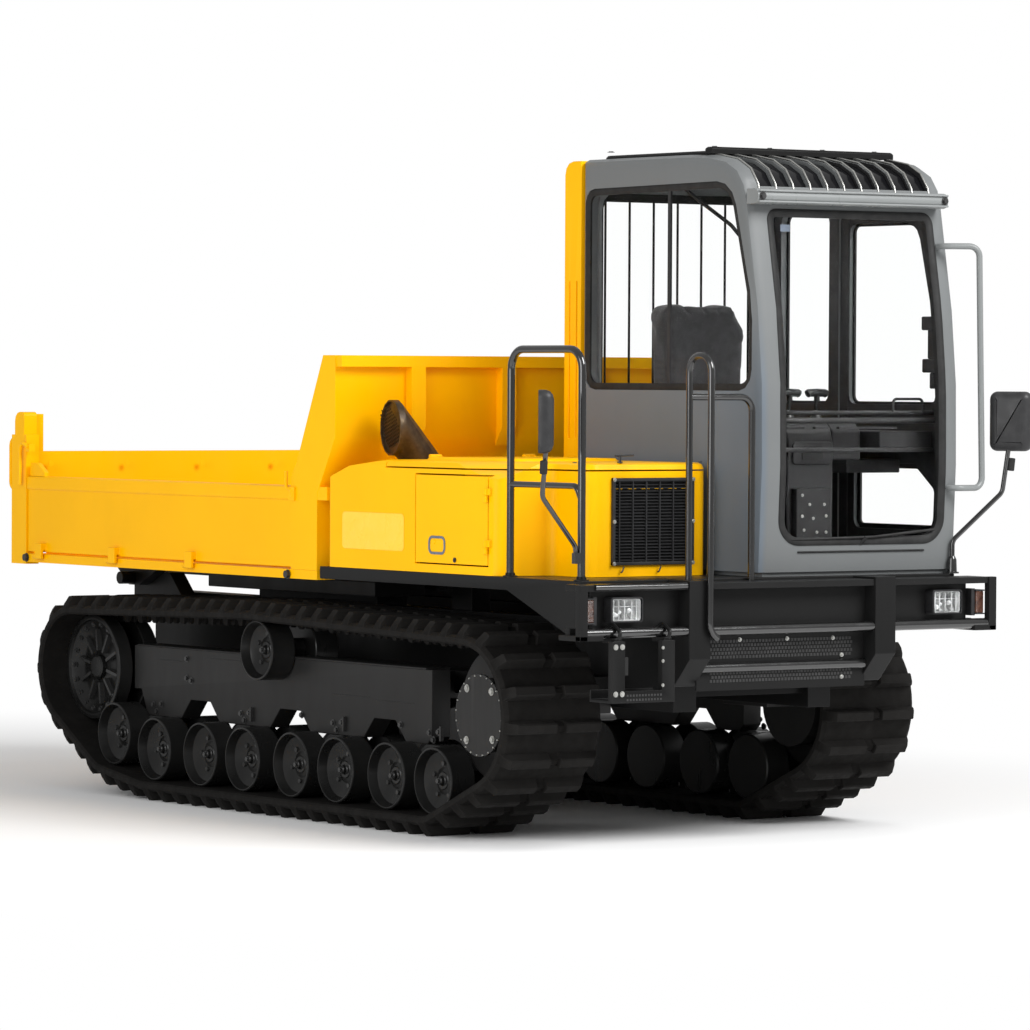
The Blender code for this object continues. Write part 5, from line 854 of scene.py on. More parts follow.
def lug_shape():
    """One cross lug with bevelled ends, a bevelled crown and a notch by its middle."""
    shape = Shape()
    rings = []
    for across, root, top, height in LUG:
        crown = min(0.006, max(0.001, height * 0.2))
        rings.append([
            Vector((across, -root, -0.016)), Vector((across, -top - 0.003, height - crown)),
            Vector((across, -top + 0.003, height)), Vector((across, top - 0.003, height)),
            Vector((across, top + 0.003, height - crown)), Vector((across, root, -0.016)),
        ])
    shape.loop(rings)
    return shape


class DUMPER_OT_belts(bpy.types.Operator):
    """Make both rubber belts with their lugs and guide horns"""

    bl_idname = "dumper.belts"
    bl_label = "Rubber belts"

    def execute(self, context):
        runs = belt_runs()
        total = sum(run[-1] for run in runs)
        pitch = total / LUG_COUNT
        drive = Vector(SPROCKET[:2])
        for side, word in SIDES:
            middle = side * GAUGE_HALF
            band = Shape()
            rings = []
            for stop in belt_stops(runs):
                point, out = on_belt(runs, stop)
                rings.append([at(middle + across, *(point + out * height)) for across, height in BAND])
            band.loop(rings, caps=False)
            band.made(
                f"belt_{word}", [finish("rubber")], replaced=(f"track_{word}",), slot="rubber", sharp=28,
            )
            lugs = []
            horns = []
            for index in range(LUG_COUNT):
                point, out = on_belt(runs, (index + 0.5) * pitch)
                facing = Vector((0, out.x, out.y))
                lay = Vector((0, -out.y, out.x))
                lugs.append((at(middle, *(point + out * BELT)), facing, lay))
                point, out = on_belt(runs, (index + 1.0) * pitch)
                if (point - drive).length > SPROCKET[2] + 0.03:
                    horns.append((at(middle, *point), Vector((0, -out.x, -out.y)), lay))
            repeated(f"lugs_{word}", lug_shape(), lugs, finish("rubber"))
            horn = Shape()
            for place in (-0.019, 0.019):
                horn.loop([
                    [
                        Vector((place + sign[0] * wide, sign[1] * long, high))
                        for sign in ((-1, -1), (1, -1), (1, 1), (-1, 1))
                    ]
                    for wide, long, high in (
                        (0.011, 0.026, -0.004), (0.009, 0.018, 0.030), (0.005, 0.010, 0.040),
                    )
                ])
            repeated(f"guide_horns_{word}", horn, horns, finish("rubber"))
        return {"FINISHED"}


def roller_profile(radius, deep, width):
    """The dished face and tread of a roller, from its outer hub to its back: (along, radius)."""
    rim = radius - 0.012
    return (
        (deep - 0.004, 0.0), (deep - 0.004, 0.036), (deep, 0.040), (deep + 0.006, 0.060), (deep, 0.088),
        (deep - 0.018, rim - 0.012), (0.012, rim - 0.002), (0.001, rim + 0.002), (0.0, rim + 0.005),
        (0.002, radius - 0.002), (0.006, radius), (width - 0.004, radius), (width, radius - 0.004),
        (width, 0.0),
    )


def add_roller(shape, side, y, z, radius, bolts, turned):
    """A double roller: dished disc with its hub outboard and a plain disc inboard."""
    outer = at(side * (GAUGE_HALF + 0.18), y, z)
    inward = Vector((-side, 0, 0))
    shape.number = 0
    shape.lathe(roller_profile(radius, 0.058, 0.125), outer, inward, 44)
    shape.lathe(
        (
            (0.360, 0.0), (0.360, radius - 0.006), (0.354, radius), (0.239, radius),
            (0.235, radius - 0.004), (0.235, 0.0),
        ),
        outer, inward, 36,
    )
    shape.lathe(
        (
            (0.034, 0.0), (0.034, 0.013), (0.038, 0.017), (0.044, 0.019), (0.050, 0.020), (0.056, 0.026),
            (0.056, 0.0),
        ),
        outer, inward, 20,
    )
    shape.number = 1
    for index in range(5):
        angle = turned + 2 * math.pi * index / 5
        spoke = Vector((0, math.cos(angle), math.sin(angle)))
        shape.lathe(
            ((0.053, 0.0), (0.053, 0.010), (0.064, 0.010), (0.064, 0.0)), outer + spoke * 0.074, inward, 12,
        )
    shape.number = 0
    bolts.append((outer + inward * 0.034, -inward))


class DUMPER_OT_wheels(bpy.types.Operator):
    """Make the rollers with their rocker beams, the idlers and the drive wheels"""

    bl_idname = "dumper.wheels"
    bl_label = "Rollers, idlers and drives"

    def execute(self, context):
        low = BELT + LUG_HEIGHT + ROLLER_R + 0.0005
        for side, word in SIDES:
            hubs = []
            for index, middle in enumerate(BOGIE_Y):
                shape = Shape()
                lift = REAR_LIFT if index == 0 else 0.0
                half = ROLLER_PITCH / 2
                add_roller(shape, side, middle + half, low + lift, ROLLER_R, hubs, 0.3 + index)
                add_roller(shape, side, middle - half, low, ROLLER_R, hubs, 1.1 + index)
                end = half + 0.03
                outline = [
                    (middle - end, low - 0.03), (middle + end, low + lift - 0.03),
                    (middle + end, low + lift + 0.04), (middle + 0.05, 0.3745), (middle - 0.05, 0.3745),
                    (middle - end, low + 0.04),
                ]
                shape.plate("yz", outline, *span(side, GAUGE_HALF - 0.056, GAUGE_HALF + 0.056))
                shape.made(
                    f"rollers_{word}_{index + 1}", [finish("wheel"), finish("shadow")],
                    replaced=(f"bogie_{word}_{index + 1}",), slot="undercarriage_black", sharp=24,
                )
            screws(f"roller_nuts_{word}", hubs, 0.011, finish("dark_screw"), washer=1.2)

            y, z, radius = IDLER
            radius -= 0.004
            centre = at(side * 0.965, y, z)
            inward = Vector((-side, 0, 0))
            shape = Shape()
            shape.lathe((
                (0.020, 0.0), (0.020, 0.046), (0.026, 0.055), (0.050, 0.058), (0.056, 0.075),
                (0.056, 0.150), (0.050, 0.172),
                (0.014, radius - 0.030), (0.002, radius - 0.024), (0.0, radius - 0.016),
                (0.003, radius - 0.003), (0.008, radius), (0.074, radius), (0.077, radius - 0.006),
                (0.077, 0.100), (0.153, 0.100),
                (0.153, radius - 0.006), (0.156, radius), (0.226, radius), (0.230, radius - 0.006),
                (0.230, 0.0),
            ), centre, inward, 56)
            for index in range(10):
                angle = 2 * math.pi * index / 10 + 0.2
                turn = Matrix.Rotation(angle, 3, "X")
                reach = turn @ Vector((0, 0.127, 0))
                middle = centre + reach + inward * 0.045
                shape.box(
                    (middle.x - 0.014, middle.x + 0.014), (middle.y - 0.050, middle.y + 0.050),
                    (middle.z - 0.007, middle.z + 0.007), turn,
                )
            shape.made(
                f"idler_wheel_{word}", [finish("wheel")], replaced=(f"idler_{word}",),
                slot="undercarriage_black", sharp=24,
            )
            ring = [
                at(side * 0.965, y, z) + inward * 0.030 + Vector((0, math.cos(a), math.sin(a))) * 0.205
                for a in [math.pi * i / 9 for i in range(18)]
            ]
            screws(f"idler_nuts_{word}", [(point, -inward) for point in ring], 0.011, finish("dark_screw"))

            y, z, radius = SPROCKET
            cover = at(side * 1.0, y, z)
            shape = Shape()
            outline = []
            teeth = 24
            for index in range(teeth):
                for offset, reach in ((-0.5, 0.177), (0.14, 0.177), (0.20, 0.166), (0.44, 0.166)):
                    angle = 2 * math.pi * (index + offset) / teeth
                    outline.append((y + math.cos(angle) * reach, z + math.sin(angle) * reach))
            shape.plate("yz", outline, *span(side, 0.986, 1.0))
            shape.lathe((
                (0.014, 0.0), (0.014, 0.160), (0.105, 0.158), (0.105, 0.288), (0.110, 0.296),
                (0.190, 0.296), (0.195, 0.288), (0.195, 0.190), (0.335, 0.190), (0.335, 0.0),
            ), cover, inward, 48)
            shape.made(
                f"drive_wheel_{word}", [finish("undercarriage")], replaced=(f"sprocket_{word}",),
                slot="undercarriage_black", bevel=0.0015, segments=1,
            )
            heads = [
                (cover + Vector((0, math.cos(a) * 0.142, math.sin(a) * 0.142)), -inward)
                for a in (0.9, 2.3, 3.9, 5.4)
            ]
            screws(f"drive_screws_{word}", heads, 0.012, finish("zinc"), height=0.006)
            pegs = [
                (cover + Vector((0, math.cos(a) * 0.170, math.sin(a) * 0.170)) + inward * 0.004, -inward)
                for a in [2 * math.pi * (i + 0.32) / 24 for i in range(24)]
            ]
            screws(f"drive_rim_screws_{word}", pegs, 0.004, finish("zinc"), height=0.004, washer=1.1)
        return {"FINISHED"}


class DUMPER_OT_side_frames(bpy.types.Operator):
    """Make the track frames with their carrier rollers, plates and fasteners"""

    bl_idname = "dumper.side_frames"
    bl_label = "Track frames"

    def execute(self, context):
        top = 0.70
        foot = 0.375
        front_foot = BOGIE_Y[-1] + 0.05
        outline = [(-0.84, top), (-0.84, foot + 0.03), (front_foot, foot)]
        for middle in sorted((rear + front) / 2 for rear, front in zip(BOGIE_Y, BOGIE_Y[1:])):
            outline += [
                (middle - 0.168, foot), (middle - 0.085, 0.465), (middle + 0.085, 0.465),
                (middle + 0.168, foot),
            ]
        rear_foot = BOGIE_Y[0] + 0.085
        clear = IDLER[0] - IDLER[2] - 0.03
        outline += [(rear_foot, foot), (rear_foot + 0.06, 0.495), (clear, 0.495), (clear, top)]
        for side, word in SIDES:
            across = span(side, 0.80, 0.90)
            shape = Shape()
            shape.plate("yz", outline, *across)
            for y in (1.05, -0.55):
                shape.yblock(span(side, 0.4205, 0.805), (y - 0.11, y + 0.11), (0.56, 0.68))
            shape.yblock(span(side, 0.6945, 0.7345), (clear - 0.04, IDLER[0] + 0.06), (0.525, 0.645))
            shape.yblock(span(side, 0.6945, 0.81), (clear - 0.10, clear - 0.005), (0.525, 0.645))
            shape.yblock(span(side, 0.81, 0.89), (0.335, 0.435), (0.69, 0.7395))
            shape.yblock(span(side, 0.4205, 0.6645), (-1.505, -1.185), (0.533, 0.693))
            shape.yblock(span(side, 0.5445, 0.6545), (-1.265, -0.495), (0.583, 0.683))
            # the guide over the idler's yoke and the small lip plates seen along the beam's top
            shape.yblock(span(side, 0.775, 0.905), (-0.80, 0.30), (top - 0.002, top + 0.008))
            shape.yblock(span(side, 0.775, 0.905), (0.47, clear - 0.03), (top - 0.002, top + 0.006))
            shape.made(
                f"track_frame_{word}", [finish("undercarriage")], replaced=(f"side_frame_{word}",),
                slot="undercarriage_black", bevel=0.004,
            )
            nuts = []
            roller = Shape()
            add_roller(roller, side, CARRIER[0], CARRIER[1] - 0.0005, CARRIER[2] - 0.001, nuts, 0.4)
            roller.disc((1, 0, 0), at(side * GAUGE_HALF, CARRIER[0], CARRIER[1]), 0.05, 0.235)
            roller.made(f"carrier_roller_{word}", [finish("wheel"), finish("shadow")], sharp=24)
            face = side * 0.90
            out = Vector((side, 0, 0))
            spots = [(at(face, 1.19, 0.655), out), (at(face, 1.19, 0.565), out), (at(face, 1.15, 0.555), out)]
            for y in BOGIE_Y:
                spots += [
                    (at(face, y + dy, foot + dz), out)
                    for dy, dz in ((-0.040, 0.058), (0.0, 0.022), (0.030, 0.052))
                ]
            spots += [(at(face, y, 0.448), out) for y in (-0.60, 0.2)]
            screws(f"frame_nuts_{word}", nuts + spots, 0.011, finish("dark_screw"))
            ledges = Shape()
            for y in BOGIE_Y[1:]:
                ledges.yblock(span(side, 0.899, 0.915), (y - 0.075, y - 0.062), (foot + 0.02, foot + 0.085))
            for y0, y1, z in (
                (-0.70, -0.40, 0.545), (-0.35, -0.05, 0.555), (0.62, 1.02, 0.665), (1.20, 1.45, 0.64),
            ):
                ledges.yblock(span(side, 0.899, 0.9015), (y0, y1), (z, z + 0.003))
            ledges.made(f"frame_edges_{word}", [finish("undercarriage")], bevel=0.001, segments=1)
        return {"FINISHED"}


# Painted sheet pieces
SOFTENED = (
    # node, width of its rounded edges, finish
    ("bed_floor", 0.003, "yellow"), ("headboard", 0.004, "yellow"), ("side_board_right", 0.003, "yellow"),
    ("side_board_left", 0.003, "yellow"), ("tailgate", 0.003, "yellow"), ("hood_shell", 0.005, "yellow"),
    ("hood_lid", 0.004, "yellow"), ("hood_side_door", 0.003, "yellow"), ("rear_pillar", 0.004, "yellow"),
    ("deck", 0.003, "black"), ("main_frame", 0.003, "black"), ("side_box_right", 0.004, "black"),
    ("side_box_left", 0.004, "black"), ("boarding_step", 0.002, "black"),
    ("cab_roof", 0.003, "black"), ("visor_bar", 0.003, "visor"), ("roof_glass", 0.0005, "dark_glass"),
    ("seat_stand", 0.004, "plastic"), ("engine_block", 0.006, "shadow"),
)


TIP_ARMS_TOP = 1.064        # the bed's black tip arms and pins lie under this height


class DUMPER_OT_bodywork(bpy.types.Operator):
    """Round the edges of the painted sheet pieces"""

    bl_idname = "dumper.bodywork"
    bl_label = "Bodywork"

    def execute(self, context):
        skins = {node: softened(node, width, finish(name)) for node, width, name in SOFTENED}
        for node in ("cab_shell", "cab_door"):
            lined(softened(node, 0.003, finish("grey")))
        mesh = skins["bed_floor"].data
        mesh.materials.append(finish("black"))
        for face in mesh.polygons:
            if face.center.z < TIP_ARMS_TOP:
                face.material_index = 1
        return {"FINISHED"}


def lined(obj):
    """Give the faces that look into the cab their black lining."""
    mesh = obj.data
    mesh.materials.append(finish("plastic"))
    low = Vector((-0.035, -2.25, 1.175))
    high = Vector((1.024, -0.995, 2.905))
    middle = (low + high) / 2
    for face in mesh.polygons:
        centre = face.center
        within = all(low[axis] < centre[axis] < high[axis] for axis in range(3))
        inward = face.normal.dot(middle - centre) > 0.02
        if within and inward and face.normal.y > -0.35:
            face.material_index = 1


# Bed, boards and tailgate
class DUMPER_OT_bed_fittings(bpy.types.Operator):
    """Make the latches, pins and screws of the bed and its tail reflectors"""

    bl_idname = "dumper.bed_fittings"
    bl_label = "Bed fittings"

    def execute(self, context):
        for side, word in SIDES:
            out = Vector((side, 0, 0))
            heads = [(at(side * 1.002, y, z), out) for y, z in ((0.165, 1.084), (2.511, 1.088))]
            screws(
                f"board_pins_{word}", heads, 0.017, finish("dark_screw"), "bed", height=0.012, sides=20,
                washer=1.25,
            )
            latch = Shape()
            x = side * 1.008
            latch.bar(
                bend(
                    [at(x, 0.172, 1.545), at(x, 0.172, 1.47), at(x, 0.125, 1.462), at(x, 0.125, 1.43)],
                    0.02,
                ),
                0.0075, 10,
            )
            latch.yblock(span(side, 1.0005, 1.010), (0.105, 0.15), (1.415, 1.475))
            latch.made(f"board_latch_{word}", [finish("yellow")], "bed", sharp=35)
            hook = Shape()
            x = side * 1.02
            hook.bar(bend([at(x, 2.47, 1.62), at(x, 2.545, 1.655), at(x, 2.545, 1.44)], 0.03), 0.009, 10)
            hook.yblock(span(side, 0.985, 1.018), (2.46, 2.495), (1.600, 1.635))
            hook.made(f"gate_hook_{word}", [finish("yellow")], "bed", sharp=35)
        heads = [
            (at(x, -0.155, z), Vector((0, -1, 0)))
            for x in (-0.93, -0.36, 0.12, 0.62, 0.93)
            for z in (1.20, 1.95)
        ]
        screws("headboard_screws", heads, 0.009, finish("yellow"), "bed")
        back = Vector((0, 1, 0))
        screws(
            "gate_screws", [
                (at(x, 2.521, z), back) for x in (-0.86, -0.43, 0.0, 0.43, 0.86) for z in (1.17, 1.54)
            ],
            0.010, finish("yellow"), "tailgate",
        )
        reflectors = Shape()
        for side in (-1, 1):
            across = (side * 0.36 - 0.045, side * 0.36 + 0.045)
            for height in ((0.635, 0.70), (0.72, 0.785)):
                reflectors.plate("xz", rectangle(across, height, 0.01), 2.2705, 2.284)
        reflectors.made("tail_reflectors", [finish("amber")])
        return {"FINISHED"}


# Hood
class DUMPER_OT_hood_fittings(bpy.types.Operator):
    """Make the grille's louvres, the latches, the blank plate and the exhaust"""

    bl_idname = "dumper.hood_fittings"
    bl_label = "Hood fittings"

    def execute(self, context):
        forward = Vector((0, -1, 0))
        y = -1.767
        louvre = Shape()
        half = 0.2
        section = ((0.0, 0.0), (0.012, 0.004), (0.012, 0.006), (0.0, 0.002))
        louvre.loop([[Vector((end, deep, high)) for deep, high in section] for end in (-half, half)])
        rows = [
            (at(-0.3975, y, 1.197 + index * 0.0133), Vector((0, 0, 1)), Vector((0, 1, 0)))
            for index in range(26)
        ]
        repeated("grille_louvres", louvre, rows, finish("plastic"))
        bars = Shape()
        for index in range(6):
            x = -0.61 + 0.0708 * (index + 0.5)
            bars.yblock((x - 0.003, x + 0.003), (y - 0.004, y + 0.008), (1.182, 1.543))
        for x0, x1, z0, z1 in (
            (-0.612, -0.598, 1.178, 1.547), (-0.197, -0.183, 1.178, 1.547),
            (-0.612, -0.183, 1.178, 1.192), (-0.612, -0.183, 1.533, 1.547),
        ):
            bars.yblock((x0, x1), (y - 0.007, y + 0.010), (z0, z1))
        bars.made("grille_frame", [finish("plastic")], bevel=0.0015, segments=1)
        back = Shape()
        back.yblock((-0.600, -0.195), (y + 0.016, y + 0.020), (1.185, 1.54))
        back.made("grille_shadow", [finish("shadow")], replaced=("grille",))
        heads = [(at(x, y - 0.007, z), forward) for x in (-0.605, -0.190) for z in (1.185, 1.3625, 1.54)]
        screws("grille_screws", heads, 0.006, finish("zinc"), height=0.004)
        dashes = Shape()
        for index in range(6):
            x = -0.575 + 0.0708 * index
            dashes.yblock((x - 0.020, x + 0.020), (y + 0.004, y + 0.013), (1.500, 1.506))
        dashes.made("grille_dashes", [finish("yellow")])
        recess = rectangle((-1.087, -0.959), (1.208, 1.288), 0.028)
        rim = Shape()
        inner = inset(recess, 0.011)
        rings = []
        for outline, out in ((recess, 0.9995), (recess, 1.003), (inner, 1.003), (inner, 0.986)):
            rings.append([at(-out, u, v) for u, v in outline])
        rim.loop(rings, caps=False)
        rim.made("latch_rim", [finish("catch")], "hood_side_door", sharp=40)
        paddle = Shape()
        paddle.plate("yz", inset(recess, 0.010), -0.9995, -0.990)
        paddle.disc((1, 0, 0), at(-1.000, -0.999, 1.262), 0.010, 0.004, 20)
        paddle.made("latch_paddle", [finish("yellow")], "hood_side_door", bevel=0.001, segments=1)
        lock = Shape()
        lock.disc((1, 0, 0), at(-1.001, -1.16, 1.188), 0.011, 0.006, 20)
        lock.disc((1, 0, 0), at(-1.004, -1.16, 1.188), 0.006, 0.006, 16)
        lock.made("hood_lock", [finish("dark_screw")], "hood_side_door")

        sign = Shape()
        sign.plate("yz", rectangle((-0.767, -0.280), (1.214, 1.376), 0.02), -1.0022, -1.0004)
        sign.made("blank_plate", [finish("pale_yellow")], bevel=0.0006, segments=1)
        tee = Shape()
        tee.bar([at(-0.55, -1.735, 1.6105), at(-0.55, -1.735, 1.640)], 0.006, 10)
        tee.bar([at(-0.575, -1.735, 1.640), at(-0.48, -1.735, 1.643)], 0.0045, 10)
        tee.disc((0, 0, 1), at(-0.55, -1.735, 1.6135), 0.012, 0.005, 16)
        for x in (-0.564, -0.37):
            tee.bar(
                bend([at(x, -1.766, 1.147), at(x, -1.775, 1.150), at(x + 0.010, -1.775, 1.172)], 0.004),
                0.0035, 8,
            )
        tee.made("hood_latches", [finish("dark_screw")], sharp=35)
        seam = Shape()
        for x in (-0.76, -0.10):
            seam.disc((0, 0, 1), at(x, -1.70, 1.612), 0.009, 0.004, 16)
        seam.made("hood_caps", [finish("dark_screw")])

        mouth = Vector((-0.82, -0.385 - MIDDLE_Y, 1.745))
        node = frame["nodes"]["exhaust"]
        softened("exhaust", 0.002, finish("exhaust"))
        points = [vertex.co for vertex in node.data.vertices if (vertex.co - mouth).length < 0.15]
        facing = Vector((-0.819, -0.574, 0.0))
        if points:
            middle = sum(points, Vector()) / len(points)
            far = max(points, key=lambda point: (point - mouth).length)
            across = (far - middle).normalized()
            other = max(points, key=lambda point: abs((point - middle).cross(across).length))
            facing = across.cross(other - middle).normalized()
            if facing.x > 0:
                facing = -facing
        side = facing.orthogonal().normalized()
        up = facing.cross(side)
        holes = []
        for row in range(-6, 7):
            for column in range(-6, 7):
                place = side * (column + (row % 2) * 0.5) * 0.0165 + up * row * 0.0145
                if place.length < 0.098:
                    holes.append((mouth + place + facing * 0.001, facing, up))
        dimple = Shape()
        dimple.lathe(
            (
                (0.0, 0.0), (0.0, 0.0050), (0.0014, 0.0056), (0.0014, 0.0040), (0.0004, 0.0036),
                (0.0004, 0.0),
            ),
            (0, 0, 0), (0, 0, 1), 10,
        )
        repeated("exhaust_perforation", dimple, holes, finish("steel_dark"))
        return {"FINISHED"}


# Cab
def opening_seal(name, plane, corners, place, outward, body=None, wide=0.030, depth=0.010, proud=0.004):
    """A rubber seal round a window: a flat lip over the pane and a rounded edge towards the metal."""
    outline = rounded(corners, 10.0)
    rings = []
    for distance, height in (
        (-0.004, -depth), (-0.004, proud * 0.5), (0.002, proud), (wide * 0.5, proud), (wide, 0.0),
        (wide, -depth),
    ):
        ring = []
        for u, v in inset(outline, distance):
            first, second, across = PLANES[plane]
            ring.append(
                first * u + second * v + across * (place + outward * height) - Vector((0, MIDDLE_Y, 0))
            )
        rings.append(ring)
    shape = Shape()
    shape.loop(rings, caps=False)
    return shape.made(name, [finish("seal")], body, sharp=35)


def setback(z):
    """How far the cab's front stands behind its foremost point at a height."""
    rows = (
        (1.147, 0.021), (1.60, 0.0), (1.95, 0.004), (2.27, 0.036), (2.52, 0.081), (2.72, 0.118),
        (2.80, 0.141), (2.865, 0.191),
    )
    for (low, near), (high, far) in zip(rows, rows[1:]):
        if z <= high:
            return near + (far - near) * max(0.0, z - low) / (high - low)
    return rows[-1][1]


class DUMPER_OT_windows(bpy.types.Operator):
    """Make the windows' rubber seals, the dividers and the fittings of screen and door"""

    bl_idname = "dumper.windows"
    bl_label = "Windows"

    def execute(self, context):
        right = (
            (-0.775, 1.918, 0.08), (-0.775, 2.803, 0.07), (-1.850, 2.815, 0.14), (-1.994, 2.28, 0.50),
            (-1.994, 1.918, 0.09),
        )
        opening_seal("seal_right", "yz", right, -0.05 + 0.008, -1)
        rear = ((0.03, 1.62, 0.07), (0.03, 2.79, 0.07), (0.96, 2.79, 0.07), (0.96, 1.62, 0.07))
        opening_seal("seal_rear", "xz", rear, -0.745 - 0.008, 1)
        left = ((-0.85, 1.86, 0.05), (-0.85, 2.72, 0.05), (-1.20, 2.72, 0.05), (-1.20, 1.86, 0.05))
        opening_seal("seal_left", "yz", left, 1.04 - 0.008, 1, wide=0.012)
        door = (
            (-1.33, 1.86, 0.04), (-1.33, 2.66, 0.04), (-1.80, 2.66, 0.10), (-1.92, 2.20, 0.40),
            (-1.935, 1.86, 0.04),
        )
        opening_seal("seal_door", "yz", door, 1.04 - 0.006, 1, "cab_door", wide=0.012)
        low = (
            (-1.37, 1.31, 0.04), (-1.37, 1.60, 0.02), (-1.80, 1.60, 0.04), (-1.93, 1.50, 0.06),
            (-1.93, 1.31, 0.02),
        )
        opening_seal("seal_door_low", "yz", low, 1.04 - 0.006, 1, "cab_door", wide=0.022)

        corners = ((0.055, 1.262, 0.11), (0.055, 2.692, 0.05), (0.955, 2.692, 0.05), (0.955, 1.262, 0.11))
        outline = rounded(corners, 10.0)
        dense = []
        for first, second in zip(outline, outline[1:] + outline[:1]):
            parts = max(1, int((second - first).length / 0.10))
            dense += [first.lerp(second, index / parts) for index in range(parts)]
        rings = []
        for distance, height in (
            (-0.003, -0.030), (-0.003, 0.003), (0.004, 0.006), (0.022, 0.003), (0.032, -0.004),
            (0.032, -0.030),
        ):
            rings.append([at(u, CAB_FRONT + setback(v) - height, v) for u, v in inset(dense, distance)])
        seal = Shape()
        seal.loop(rings, caps=False)
        seal.made("seal_windscreen", [finish("seal")], sharp=35)

        bars = Shape()
        bars.yblock((-0.042, -0.030), (-1.398, -1.378), (1.93, 2.80))
        bars.yblock((1.000, 1.022), (-1.325, -1.215), (1.20, 2.74))
        bars.made("window_dividers", [finish("plastic")], bevel=0.002)
        tube = Shape()
        tube.bar([at(0.06, -1.955, 1.792), at(0.99, -1.955, 1.792)], 0.0125, 16)
        tube.made("screen_tube", [finish("mirror_back")], sharp=50)
        tube = Shape()
        tube.bar([at(0.06, -1.935, 1.825), at(0.99, -1.935, 1.825)], 0.010, 12)
        tube.bar(
            bend(
                [at(x, -1.945, z) for x, z in ((0.76, 1.83), (0.76, 1.885), (0.925, 1.885), (0.925, 1.83))],
                0.02,
            ),
            0.006, 10,
        )
        tube.bar(
            bend(
                [
                    at(0.44, -0.81, 2.84), at(0.55, -0.83, 2.76), at(0.72, -0.83, 2.66),
                    at(0.80, -0.81, 2.60),
                ],
                0.12, 6,
            ),
            0.009, 10,
        )
        for x0, x1 in ((0.13, 0.27), (0.33, 0.40), (0.46, 0.78)):
            tube.yblock((x0, x1), (-1.95, -1.93), (1.755, 1.765))
        tube.made("screen_handles", [finish("plastic")], sharp=40)
        cluster = Shape()
        for y0, y1, z0, z1, x0, x1 in (
            (-1.99, -1.90, 2.00, 2.06, 0.955, 0.995), (-1.985, -1.925, 2.06, 2.20, 0.965, 0.995),
            (-1.99, -1.90, 2.185, 2.245, 0.95, 0.99), (-1.97, -1.94, 1.93, 2.00, 0.965, 0.985),
        ):
            cluster.yblock((x0, x1), (y0, y1), (z0, z1))
        cluster.made("door_catch", [finish("plastic")], bevel=0.006)
        marks = Shape()
        marks.yblock((0.122, 0.172), (-1.966, -1.963), (2.598, 2.628))
        marks.made("blank_sticker", [finish("catch")])
        wiper = Shape()
        wiper.bar([at(0.12, -2.052, 1.285), at(0.56, -2.060, 1.292), at(0.90, -2.058, 1.320)], 0.006, 8)
        wiper.bar([at(0.50, -2.048, 1.262), at(0.52, -2.066, 1.292)], 0.009, 10)
        wiper.made("wiper", [finish("seal")])
        hinges = [
            (at(1.0405, y, z), Vector((1, 0, 0)))
            for y in (-1.245, -1.295)
            for z in (1.40, 1.44, 2.46, 2.50)
        ]
        screws("hinge_screws", hinges, 0.007, finish("dark_screw"), "chassis")
        handle = Shape()
        handle.plate("yz", rectangle((-1.955, -1.83), (1.66, 1.76), 0.012), 1.0405, 1.044)
        handle.yblock((1.044, 1.062), (-1.94, -1.845), (1.70, 1.722))
        handle.made("door_handle", [finish("plastic")], "cab_door", bevel=0.003)
        return {"FINISHED"}


